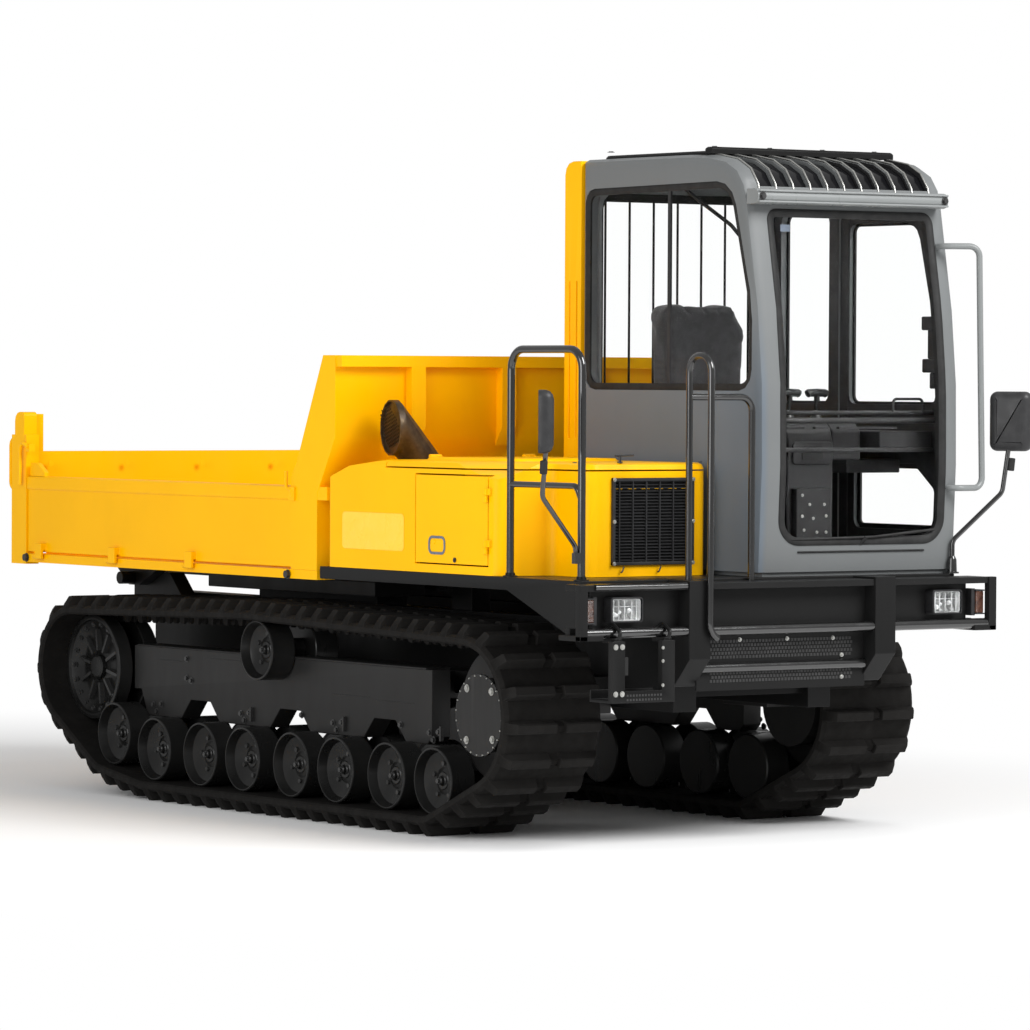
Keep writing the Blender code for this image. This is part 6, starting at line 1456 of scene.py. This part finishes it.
class DUMPER_OT_cab_inside(bpy.types.Operator):
    """Make the console, the levers, the pedals, the mat and the guard of the rear window"""

    bl_idname = "dumper.cab_inside"
    bl_label = "Cab inside"

    def execute(self, context):
        console = Shape()
        outline = [
            (-1.86, 1.1475), (-1.86, 1.70), (-1.84, 1.76), (-1.80, 1.79), (-1.72, 1.79), (-1.70, 1.77),
            (-1.70, 1.1475),
        ]
        console.plate("yz", outline, 0.25, 0.50)
        console.plate(
            "yz", [(-1.85, 1.62), (-1.85, 1.745), (-1.80, 1.789), (-1.71, 1.789), (-1.705, 1.62)], 0.501,
            0.66,
        )
        console.made(
            "console_body", [finish("plastic")], replaced=("console",), slot="frame_black", bevel=0.010,
            segments=3,
        )
        parts = Shape()
        for x in (0.33, 0.48):
            parts.lathe(
                ((0.0, 0.030), (0.018, 0.026), (0.030, 0.017), (0.045, 0.013), (0.045, 0.0)),
                at(x, -1.76, 1.789), (0, 0, 1), 20,
            )
            parts.bar([at(x, -1.76, 1.80), at(x, -1.765, 1.885)], 0.0085, 10)
            parts.bar(
                [
                    at(x - 0.052, -1.767, 1.905), at(x - 0.044, -1.767, 1.909), at(x, -1.767, 1.911),
                    at(x + 0.044, -1.767, 1.909), at(x + 0.052, -1.767, 1.905),
                ],
                0.017, 16,
            )
            parts.bar([at(x, -1.767, 1.875), at(x, -1.767, 1.905)], 0.013, 12)
        parts.made("control_levers", [finish("knob")], sharp=40)
        panel = Shape()
        panel.plate("xz", rectangle((0.27, 0.49), (1.60, 1.70), 0.02), -1.872, -1.859)
        panel.yblock((0.10, 0.98), (-1.955, -1.925), (1.655, 1.675))
        panel.yblock((0.27, 0.46), (-1.90, -1.86), (1.25, 1.50))
        panel.yblock((0.70, 1.00), (-1.70, -1.00), (1.56, 1.62))
        panel.yblock((0.06, 0.24), (-1.62, -1.00), (1.50, 1.56))
        panel.yblock((0.70, 0.99), (-1.93, -1.30), (1.655, 1.745))
        panel.made("cab_trim", [finish("plastic")], bevel=0.006)
        dials = Shape()
        for x in (0.12, 0.17, 0.22):
            dials.disc((0, 0, 1), at(x, -1.52, 1.567), 0.016, 0.014, 20)
        dials.plate("xz", rectangle((0.32, 0.43), (1.62, 1.68), 0.01), -1.876, -1.871)
        dials.made("console_dials", [finish("knob")], sharp=35)
        forward = Vector((0, -1, 0))
        heads = [(at(x, -1.9005, z), forward) for x, z in (
            (0.30, 1.47), (0.34, 1.43), (0.42, 1.43), (0.30, 1.38), (0.36, 1.37), (0.43, 1.38),
            (0.31, 1.32), (0.38, 1.31), (0.43, 1.31), (0.33, 1.27), (0.40, 1.27),
        )]
        screws("console_screws", heads, 0.0048, finish("zinc"))
        pedals = Shape()
        for x in (0.72, 0.86):
            turn = Matrix.Rotation(math.radians(35), 3, "X")
            pedals.yblock((x - 0.04, x + 0.04), (-1.83, -1.70), (1.215, 1.235), turn)
            pedals.bar([at(x, -1.76, 1.15), at(x, -1.765, 1.22)], 0.01, 8)
        pedals.made("pedals", [finish("plastic")], bevel=0.003)
        mat = Shape()
        mat.plate(
            "xy",
            rounded([(0.02, -1.99, 0.05), (0.98, -1.99, 0.05), (0.98, -0.83, 0.03), (0.02, -0.83, 0.03)]),
            1.19801, 1.2045,
        )
        mat.made("floor_mat", [finish("floor_mat")], bevel=0.002)
        guard = Shape()
        for index in range(7):
            x = 0.10 + 0.1335 * index
            guard.bar([at(x, -0.722, 1.58), at(x, -0.722, 2.77)], 0.0055, 10)
        for z in (1.585, 2.765):
            guard.yblock((0.06, 0.94), (-0.732, -0.716), (z - 0.012, z + 0.012))
        guard.made("guard_bars", [finish("black")], replaced=("rear_guard",), slot="frame_black", sharp=40)
        return {"FINISHED"}


SEAT_FRAMES = 20
SEAT_PUFF = 0.022           # the furthest that the cloth run may move a point


class DUMPER_OT_seat(bpy.types.Operator):
    """Make the seat's padding by a cloth run under pressure"""

    bl_idname = "dumper.seat"
    bl_label = "Seat"

    def execute(self, context):
        for node in ("seat_cushion", "seat_back"):
            bm = merged_copy(node)
            middle = sum((vert.co for vert in bm.verts), Vector()) / len(bm.verts)
            for vert in bm.verts:
                vert.co = middle + (vert.co - middle) * 0.94
            mesh = bpy.data.meshes.new(node)
            bm.to_mesh(mesh)
            bm.free()
            mesh.materials.clear()
            helper = bpy.data.objects.new(node + "_helper", mesh)
            context.scene.collection.objects.link(helper)
            remesh = helper.modifiers.new("even", "REMESH")
            remesh.mode = "VOXEL"
            remesh.voxel_size = 0.007
            even = applied(helper)
            helper = bpy.data.objects.new(node + "_cloth", even)
            context.scene.collection.objects.link(helper)
            cloth = helper.modifiers.new("cloth", "CLOTH")
            cloth.settings.use_pressure = True
            cloth.settings.uniform_pressure_force = 4.0
            cloth.settings.effector_weights.gravity = 0.0
            cloth.settings.tension_stiffness = 18.0
            cloth.point_cache.frame_start = 1
            cloth.point_cache.frame_end = SEAT_FRAMES
            start = [vertex.co.copy() for vertex in even.vertices]
            for number in range(1, SEAT_FRAMES + 1):
                context.scene.frame_set(number)
            puffed = applied(helper)
            context.scene.frame_set(1)
            for vertex, before in zip(puffed.vertices, start):
                step = vertex.co - before
                if step.length > SEAT_PUFF:
                    vertex.co = before + step.normalized() * SEAT_PUFF
            helper = bpy.data.objects.new(node + "_smooth", puffed)
            context.scene.collection.objects.link(helper)
            smooth = helper.modifiers.new("smooth", "SMOOTH")
            smooth.factor = 0.5
            smooth.iterations = 4
            result = applied(helper)
            piece = finished(
                node + "_padding", result, [finish("cloth")], None, (node,), sharp=0,
            )
        return {"FINISHED"}


# Front
class DUMPER_OT_bumper(bpy.types.Operator):
    """Make the bumper with its open ends, lamp plates, upright plates, tubes and perforated skirt"""

    bl_idname = "dumper.bumper"
    bl_label = "Bumper"

    def execute(self, context):
        forward = Vector((0, -1, 0))
        y = -2.235
        back = -2.0805
        skirt_face = -2.1505
        step_face = -2.2655
        shape = Shape()
        shape.yblock((-1.075, 1.075), (y + 0.010, back), (1.090, 1.118))
        for side in (-1, 1):
            shape.yblock(span(side, 1.070, 1.11), (y, y + 0.035), (0.887, 1.118))
            shape.yblock(span(side, 0.990, 1.11), (y, back), (0.887, 0.909))
            shape.yblock(span(side, 1.040, 1.075), (back - 0.03, back), (0.90, 0.935))
            shape.yblock(span(side, 0.540, 1.0005), (-2.160, -2.145), (0.930, 1.0925))
            shape.yblock(span(side, 0.540, 0.553), (-2.160, back), (0.930, 1.0925))
            outline = [(y, 1.128), (y, 0.80), (y + 0.11, 0.68), (y + 0.15, 0.68), (back, 0.80), (back, 1.128)]
            shape.plate("yz", outline, *span(side, 0.44, 0.55))
        shape.made("bumper_body", [finish("black")], replaced=("bumper",), slot="frame_black", bevel=0.003)
        plates = Shape()
        plates.yblock((-0.4495, 0.4495), (-2.16, -2.125), (0.90, 1.108))
        plates.yblock((-0.4495, 0.4495), (-2.15, -2.14), (0.66, 0.91))
        plates.made("bumper_plates", [finish("matt_black")], bevel=0.002, segments=1)
        tubes = Shape()
        tubes.bar([at(-1.075, y + 0.025, 0.917), at(1.075, y + 0.025, 0.917)], 0.022, 24)
        tubes.bar([at(-0.445, y + 0.08, 0.757), at(0.445, y + 0.08, 0.757)], 0.022, 24)
        tubes.bar([at(-1.03, y + 0.012, 1.107), at(-0.56, y + 0.012, 1.107)], 0.014, 16)
        tubes.made("bumper_tubes", [finish("rail")], sharp=50)
        spots = (
            (-0.224, 0.872), (0.027, 0.871), (0.274, 0.868), (0.322, 0.795), (0.323, 0.702), (-0.43, 0.872),
        )
        heads = [(at(x, skirt_face, z), forward) for x, z in spots]
        screws("skirt_screws", heads, 0.0065, finish("zinc"), height=0.006)
        upward = Vector((0, 0, 1))
        dots = []
        for first, rows in ((0.70, 3), (0.80, 5)):
            for row in range(rows):
                for column in range(44):
                    x = -0.375 + column * 0.0172 + (row % 2) * 0.0086
                    dots.append((at(x, skirt_face - 0.0001, first + row * 0.0165), forward, upward))
        dot = Shape()
        for size, low, high in ((0.0062, -0.001, 0.0012), (0.0042, 0.0, 0.0018)):
            dot.box((-size, size), (-size, size), (low, high))
        repeated("skirt_perforation", dot, dots, finish("mesh_rim"))
        dots = []
        for row in range(5):
            for column in range(15):
                place = at(-0.93 + column * 0.0175, -2.230 + row * 0.022, 0.6425)
                dots.append((place, upward, Vector((0, 1, 0))))
            if row < 2:
                dots += [
                    (at(-0.89 + column * 0.0155, step_face, 0.643 + row * 0.018), forward, upward)
                    for column in range(12)
                ]
        dot = Shape()
        dot.box((-0.0045, 0.0045), (-0.0045, 0.0045), (0.0, 0.0010))
        repeated("step_perforation", dot, dots, finish("mesh_rim"))
        heads = [(at(-0.935 + x, step_face, z), forward) for x in (-0.016, 0.017) for z in (0.668, 0.862)]
        screws("step_screws", heads, 0.0080, finish("zinc"), height=0.003, washer=1.5)
        heads = [(at(-0.71, step_face, z), forward) for z in (0.70, 0.80, 0.855)]
        screws("step_small_screws", heads, 0.005, finish("zinc"), height=0.003)
        hooks = Shape()
        for x in (-0.935, -0.68):
            corners = [
                at(x, -2.245, 0.868), at(x + 0.012, -2.262, 0.92), at(x + 0.012, -2.205, 0.956),
                at(x, -2.168, 0.93),
            ]
            hooks.bar(bend(corners, 0.018, 5), 0.008, 10)
        hooks.yblock((-0.905, -0.885), (-2.262, -2.250), (0.745, 0.82))
        hooks.made("step_hooks", [finish("black")], sharp=40)
        return {"FINISHED"}


class DUMPER_OT_lamps(bpy.types.Operator):
    """Make the headlamps and the signal lamps"""

    bl_idname = "dumper.lamps"
    bl_label = "Lamps"

    def execute(self, context):
        for side, word in SIDES:
            x = side * 0.855
            z = 1.012
            y = -2.1605
            line = rectangle((x - 0.082, x + 0.082), (z - 0.053, z + 0.053), 0.014)
            shape = Shape()
            rings = []
            for distance, out in (
                (0.0, 0.0), (0.0, -0.050), (0.004, -0.054), (0.007, -0.054), (0.008, -0.046),
                (0.010, -0.0025),
            ):
                rings.append([at(u, y + out, v) for u, v in inset(line, distance)])
            shape.loop(rings)
            shape.made(
                f"lamp_housing_{word}", [finish("plastic")], replaced=(f"headlight_{word}",),
                slot="lamp_clear", sharp=35,
            )
            bowl = Shape()
            rings = []
            for share, deep in (
                (0.84, -0.0035), (0.865, -0.047), (0.84, -0.047), (0.78, -0.032), (0.60, -0.016),
                (0.38, -0.009), (0.15, -0.007),
            ):
                rings.append([at(x + (u - x) * share, y + deep, z + (v - z) * share) for u, v in line])
            bowl.loop(rings)
            for u, v, r in ((-0.046, -0.022, 0.011), (-0.028, -0.010, 0.009), (0.020, -0.004, 0.012)):
                bowl.lathe(
                    ((0.018, 0.0), (0.018, r), (-0.004, r), (-0.010, r * 0.6), (-0.012, 0.0)),
                    at(x + u, y - 0.030, z + v), (0, 1, 0), 20,
                )
            for u in (-0.060, -0.035, -0.005, 0.030, 0.055):
                bowl.yblock((x + u - 0.002, x + u + 0.002), (y - 0.040, y - 0.010), (z - 0.040, z + 0.040))
            bowl.yblock((x - 0.065, x + 0.068), (y - 0.036, y - 0.012), (z + 0.012, z + 0.015))
            # the reflector's finish carries painted reflection in its pale colour
            bowl.made(f"lamp_bowl_{word}", [finish("chrome")], sharp=50)
            lens = Shape()
            rings = []
            for distance, out in ((0.0085, -0.0505), (0.0085, -0.0535), (0.013, -0.0550)):
                rings.append([at(u, y + out, v) for u, v in inset(line, distance)])
            lens.loop(rings)
            lens.made(f"lamp_lens_{word}", [finish("lens")], sharp=40)
            lamp = Shape()
            lamp.yblock(span(side, 1.018, 1.062), (-2.206, -2.150), (0.960, 1.057))
            lamp.made(f"signal_lamp_{word}", [finish("amber")], bevel=0.006, segments=3)
            base = Shape()
            base.yblock(span(side, 0.9995, 1.020), (-2.198, -2.144), (0.950, 1.067))
            for z0 in (0.955, 1.056):
                base.yblock(span(side, 1.016, 1.066), (-2.209, -2.146), (z0, z0 + 0.006))
            base.made(f"signal_base_{word}", [finish("plastic")], bevel=0.002)
        return {"FINISHED"}


class DUMPER_OT_rails(bpy.types.Operator):
    """Make the handrails and the cab's grab handle"""

    bl_idname = "dumper.rails"
    bl_label = "Rails"

    def execute(self, context):
        rails = Shape()
        x = -0.97
        foot = DECK_TOP
        corners = [at(x, -1.53, foot), at(x, -1.53, 2.0885), at(x, -2.045, 2.0885), at(x, -2.045, foot)]
        rails.bar(bend(corners, 0.085, 8), 0.0165, 20)
        rails.bar(bend([at(x, -1.53, 1.52), at(x, -2.010, 1.52), at(x, -2.045, 1.46)], 0.04, 5), 0.0135, 16)
        rails.made(
            "corner_rail", [finish("rail")], replaced=("handrail_corner",), slot="frame_black", sharp=50,
        )
        rails = Shape()
        x, far = -0.457, -0.127
        corners = [
            at(x, -2.10, foot), at(x, -2.10, 2.065), at(x, -2.252, 2.065), at(x, -2.252, 0.91),
            at(x + 0.040, -2.252, 0.885),
        ]
        rails.bar(bend(corners, 0.07, 8), 0.0145, 20)
        rails.bar(
            bend([at(x, -2.10, 1.892), at(far, -2.10, 1.892), at(far, -2.10, 1.1185)], 0.06, 8), 0.0145, 20,
        )
        rails.made(
            "centre_rail", [finish("rail")], replaced=("handrail_centre",), slot="frame_black", sharp=50,
        )
        feet = Shape()
        for x, y in ((-0.97, -1.53), (-0.97, -2.045)):
            feet.lathe(
                ((0.0, 0.0), (0.0, 0.032), (0.005, 0.032), (0.007, 0.022), (0.018, 0.0195), (0.018, 0.0)),
                at(x, y, foot), (0, 0, 1), 28,
            )
        feet.made("rail_feet", [finish("black")])
        grab = Shape()
        low, high = 1.50, 2.55
        start = CAB_FRONT + setback(low) - 0.002
        end = CAB_FRONT + setback(high) - 0.002
        corners = [
            at(0.975, start, low), at(0.975, start - 0.05, low), at(1.135, -2.10, low),
            at(1.112, -2.098, high), at(0.975, end - 0.05, high), at(0.975, end, high),
        ]
        grab.bar(bend(corners, 0.045, 7), 0.0135, 18)
        grab.made("grab_bar", [finish("visor")], replaced=("grab_handle",), slot="cab_grey", sharp=50)
        return {"FINISHED"}


class DUMPER_OT_mirrors(bpy.types.Operator):
    """Make the mirrors with their arms"""

    bl_idname = "dumper.mirrors"
    bl_label = "Mirrors"

    def execute(self, context):
        for side, word in SIDES:
            turn = Matrix.Rotation(side * math.radians(35.0), 3, "Z")
            middle = Vector((side * 1.24, -2.165 - MIDDLE_Y, 0.0))
            half = 0.0925
            outline = rectangle((-half, half), (1.66, 1.92), 0.035, 10.0)

            def ring(distance, out):
                """The head's outline drawn in by a distance, at a depth towards its glass."""
                return [
                    middle + turn @ Vector((side * out, u, 0)) + Vector((0, 0, v))
                    for u, v in inset(outline, distance)
                ]

            head = Shape()
            head.loop([ring(*row) for row in (
                (0.040, -0.034), (0.020, -0.029), (0.006, -0.018), (0.0, -0.002), (0.0, 0.026),
                (0.003, 0.030), (0.010, 0.030), (0.012, 0.024),
            )])
            head.made(
                f"mirror_head_{word}", [finish("mirror_back")], replaced=(f"mirror_{word}",),
                slot="frame_black", sharp=40,
            )
            arms = Shape()
            top = at(side * 1.238, -2.182, 1.80)
            foot = at(0.9989, CAB_FRONT, DECK_TOP) if side > 0 else at(-0.9989, -2.045, 1.20)
            knee = foot.y + MIDDLE_Y
            corners = [foot, at(side * 0.9989, knee, 1.27), at(side * 1.22, knee - 0.07, 1.48), top]
            arms.bar(bend(corners, 0.05, 8), 0.0105, 14)
            if side > 0:
                arms.lathe(
                    (
                        (0.0, 0.0), (0.0, 0.030), (0.006, 0.030), (0.008, 0.021), (0.060, 0.019),
                        (0.075, 0.012), (0.075, 0.0),
                    ),
                    foot, (0, 0, 1), 24,
                )
            else:
                arms.yblock((-1.010, -0.972), (knee - 0.012, knee + 0.012), (1.200, 1.245))
            arms.made(f"mirror_arm_{word}", [finish("rail")], sharp=45)
            mount = Shape()
            mount.bar([at(side * 1.246, -2.160, 1.575), at(side * 1.248, -2.166, 1.63)], 0.016, 14)
            mount.bar([top - Vector((0, 0, 0.035)), top + Vector((0, 0, 0.035))], 0.021, 12)
            mount.made(f"mirror_mount_{word}", [finish("seal")], bevel=0.003)
            glass = Shape()
            glass.loop([ring(0.0125, 0.022), ring(0.0125, 0.026)])
            glass.made(f"mirror_glass_{word}", [finish("mirror")])
        return {"FINISHED"}


class DUMPER_OT_roof_fittings(bpy.types.Operator):
    """Make the skylight's bright ribs, the roof's screws, the visor's ends and the screen's drip line"""

    bl_idname = "dumper.roof_fittings"
    bl_label = "Roof fittings"

    def execute(self, context):
        curve = (
            (0.128, 2.76), (0.139, 2.802), (0.189, 2.868), (0.275, 2.911), (0.405, 2.933), (0.440, 2.9345),
        )
        ribs = Shape()
        for index in range(11):
            x = 0.03 + 0.093 * index
            ribs.bar([at(x, CAB_FRONT + back, z) for back, z in curve], 0.0042, 10)
        ribs.made("skylight_ribs", [finish("zinc")], sharp=50)
        heads = [
            (at(x, y, 2.9672), Vector((0, 0, 1))) for x in (0.05, 0.35, 0.64, 0.93) for y in (-0.83, -1.59)
        ]
        screws("roof_screws", heads, 0.011, finish("dark_screw"), height=0.003)
        ends = [(at(x, -2.0355, 2.745), Vector((0, -1, 0))) for x in (-0.028, 0.968)]
        screws("visor_screws", ends, 0.012, finish("dark_screw"))
        lip = Shape()
        for z in (2.722, 2.768):
            lip.bar([at(-0.045, -2.036, z), at(0.985, -2.036, z)], 0.0045, 10)
        lip.made("visor_lips", [finish("visor")], sharp=50)
        drip = Shape()
        drip.bar([at(0.16, -2.052, 1.2315), at(0.85, -2.052, 1.2315)], 0.004, 8)
        drip.made("screen_drip", [finish("seal")], sharp=50)
        return {"FINISHED"}


# Settings
class DumperColours(bpy.types.PropertyGroup):
    """Colours of the paints and the rubber."""

    yellow: bpy.props.FloatVectorProperty(
        name="Body yellow", description="Paint of hood, bed and pillar", subtype="COLOR",
        default=(1.0, 0.50, 0.0))
    grey: bpy.props.FloatVectorProperty(
        name="Cab grey", description="Paint of the cab", subtype="COLOR", default=(0.152, 0.160, 0.162))
    black: bpy.props.FloatVectorProperty(
        name="Frame black", description="Paint of frame, deck and bumper", subtype="COLOR",
        default=(0.006, 0.006, 0.006))
    rubber: bpy.props.FloatVectorProperty(
        name="Rubber", description="Colour of the belts", subtype="COLOR", default=(0.008, 0.0075, 0.0070))


class StageSettings(bpy.types.PropertyGroup):
    """Light and floor."""

    floor: bpy.props.FloatVectorProperty(
        name="Floor", description="Colour of the floor", subtype="COLOR", default=(0.93, 0.93, 0.93))
    key: bpy.props.FloatProperty(
        name="Key light", description="Power of the key light in watts", default=1200.0, min=0.0,
    )
    fill: bpy.props.FloatProperty(
        name="Fill light", description="Power of the fill light in watts", default=460.0, min=0.0,
    )
    sky: bpy.props.FloatProperty(
        name="Sky", description="Strength of the soft light all round", default=0.50, min=0.0,
    )


# Stage
def camera_matrix():
    """Where the photograph's camera stands and how it is turned."""
    yaw, pitch, roll = (math.radians(value) for value in (CAMERA_YAW_DEG, CAMERA_PITCH_DEG, CAMERA_ROLL_DEG))
    back = Vector((-math.sin(yaw) * math.cos(pitch), -math.cos(yaw) * math.cos(pitch), math.sin(pitch)))
    right = Vector((math.cos(yaw), -math.sin(yaw), 0.0))
    up = back.cross(right)
    turned_right = math.cos(roll) * right + math.sin(roll) * up
    turned_up = -math.sin(roll) * right + math.cos(roll) * up
    placed = Matrix((turned_right, turned_up, back)).transposed().to_4x4()
    placed.translation = Vector(CAMERA_PLACE)
    return placed


def area_light(name, place, target, size, power):
    """A square soft light that looks at a point."""
    light = bpy.data.lights.new(name, "AREA")
    light.size = size
    light.energy = power
    obj = bpy.data.objects.new(name, light)
    aim = Vector(target) - Vector(place)
    obj.matrix_world = Matrix.Translation(Vector(place)) @ aim.to_track_quat("-Z", "Y").to_matrix().to_4x4()
    collection("Stage").objects.link(obj)
    return obj


def seen_directly(tree):
    """1 where a camera or transmission ray looks, else 0."""
    path = tree.nodes.new("ShaderNodeLightPath")
    added = tree.nodes.new("ShaderNodeMath")
    added.operation = "MAXIMUM"
    tree.links.new(path.outputs["Is Camera Ray"], added.inputs[0])
    tree.links.new(path.outputs["Is Transmission Ray"], added.inputs[1])
    return added.outputs[0]


class DUMPER_OT_stage(bpy.types.Operator):
    """Set the floor, the light and the photograph's camera"""

    bl_idname = "dumper.stage"
    bl_label = "Stage"

    def execute(self, context):
        settings = context.scene.dumper_stage
        camera = bpy.data.cameras.new("photo_camera")
        camera.lens = CAMERA_LENS_MM
        camera.sensor_width = SENSOR_MM
        camera.clip_end = 200.0
        obj = bpy.data.objects.new("photo_camera", camera)
        obj.matrix_world = camera_matrix()
        collection("Stage").objects.link(obj)
        context.scene.camera = obj
        context.scene.view_settings.view_transform = "Standard"

        world = bpy.data.worlds.new("studio")
        context.scene.world = world
        world.use_nodes = True
        tree = world.node_tree
        soft = tree.nodes["Background"]
        soft.inputs["Color"].default_value = (1.0, 1.0, 1.0, 1.0)
        soft.inputs["Strength"].default_value = settings.sky
        shown = tree.nodes.new("ShaderNodeBackground")
        shown.inputs["Color"].default_value = (1.0, 1.0, 1.0, 1.0)
        mixed = tree.nodes.new("ShaderNodeMixShader")
        tree.links.new(seen_directly(tree), mixed.inputs[0])
        tree.links.new(soft.outputs[0], mixed.inputs[1])
        tree.links.new(shown.outputs[0], mixed.inputs[2])
        tree.links.new(mixed.outputs[0], tree.nodes["World Output"].inputs["Surface"])

        bm = bmesh.new()
        bmesh.ops.create_circle(bm, cap_ends=True, segments=96, radius=60.0)
        mesh = bpy.data.meshes.new("floor")
        bm.to_mesh(mesh)
        bm.free()
        floor = bpy.data.objects.new("floor", mesh)
        collection("Stage").objects.link(floor)
        material = bpy.data.materials.new("floor")
        material.use_nodes = True
        tree = material.node_tree
        shader = tree.nodes["Principled BSDF"]
        shader.inputs["Base Color"].default_value = (*settings.floor, 1.0)
        shader.inputs["Roughness"].default_value = 0.9
        glow = tree.nodes.new("ShaderNodeEmission")
        place = tree.nodes.new("ShaderNodeTexCoord")
        scaled = tree.nodes.new("ShaderNodeVectorMath")
        scaled.operation = "MULTIPLY"
        scaled.inputs[1].default_value = (0.62, 0.36, 0.0)
        tree.links.new(place.outputs["Object"], scaled.inputs[0])
        reach = tree.nodes.new("ShaderNodeVectorMath")
        reach.operation = "LENGTH"
        tree.links.new(scaled.outputs[0], reach.inputs[0])
        fade = tree.nodes.new("ShaderNodeMapRange")
        fade.interpolation_type = "SMOOTHSTEP"
        fade.inputs["From Min"].default_value = 1.2
        fade.inputs["From Max"].default_value = 2.9
        tree.links.new(reach.outputs["Value"], fade.inputs["Value"])
        seen = tree.nodes.new("ShaderNodeMath")
        seen.operation = "MULTIPLY"
        tree.links.new(fade.outputs["Result"], seen.inputs[0])
        tree.links.new(seen_directly(tree), seen.inputs[1])
        mixed = tree.nodes.new("ShaderNodeMixShader")
        tree.links.new(seen.outputs[0], mixed.inputs[0])
        tree.links.new(shader.outputs[0], mixed.inputs[1])
        tree.links.new(glow.outputs[0], mixed.inputs[2])
        tree.links.new(mixed.outputs[0], tree.nodes["Material Output"].inputs["Surface"])
        mesh.materials.append(material)

        area_light("key", (3.0, -9.0, 8.0), (0.0, 0.0, 1.0), 5.0, settings.key)
        area_light("fill", (-9.0, -4.0, 4.0), (0.0, 0.0, 1.2), 6.0, settings.fill)
        return {"FINISHED"}


class DUMPER_OT_finishes(bpy.types.Operator):
    """Make the finishes and give each CAD node its own"""

    bl_idname = "dumper.finishes"
    bl_label = "Finishes"

    def execute(self, context):
        make_finishes(context.scene.dumper_colours)
        for node in frame["nodes"].values():
            for slot in node.material_slots:
                slot.material = finish(CARRIED_FINISH[slot.material.name.split(".")[0]])
        return {"FINISHED"}


class DUMPER_PT_panel(bpy.types.Panel):
    """The dumper's operators and settings"""

    bl_label = "Dumper"
    bl_space_type = "VIEW_3D"
    bl_region_type = "UI"
    bl_category = "Dumper"

    def draw(self, context):
        for operator in OPERATORS:
            self.layout.operator(operator.bl_idname)
        for settings in (context.scene.dumper_colours, context.scene.dumper_stage):
            for key in settings.bl_rna.properties.keys():
                if key not in ("rna_type", "name"):
                    self.layout.prop(settings, key)


OPERATORS = (
    DUMPER_OT_finishes, DUMPER_OT_stage, DUMPER_OT_belts, DUMPER_OT_wheels, DUMPER_OT_side_frames,
    DUMPER_OT_bodywork, DUMPER_OT_bed_fittings, DUMPER_OT_hood_fittings, DUMPER_OT_windows,
    DUMPER_OT_cab_inside, DUMPER_OT_seat, DUMPER_OT_bumper, DUMPER_OT_lamps, DUMPER_OT_rails,
    DUMPER_OT_mirrors, DUMPER_OT_roof_fittings,
)
SETTINGS = (DumperColours, StageSettings)


def register():
    """Register the classes and hang the settings on the scene."""
    for kind in (*SETTINGS, *OPERATORS, DUMPER_PT_panel):
        bpy.utils.register_class(kind)
    bpy.types.Scene.dumper_colours = bpy.props.PointerProperty(type=DumperColours)
    bpy.types.Scene.dumper_stage = bpy.props.PointerProperty(type=StageSettings)


def unregister():
    """Take the classes and the settings away."""
    del bpy.types.Scene.dumper_stage
    del bpy.types.Scene.dumper_colours
    for kind in reversed((*SETTINGS, *OPERATORS, DUMPER_PT_panel)):
        bpy.utils.unregister_class(kind)


def main():
    """Run every operator in order."""
    register()
    for operator in OPERATORS:
        group, name = operator.bl_idname.split(".")
        getattr(getattr(bpy.ops, group), name)()


if __name__ == "__main__":
    main()
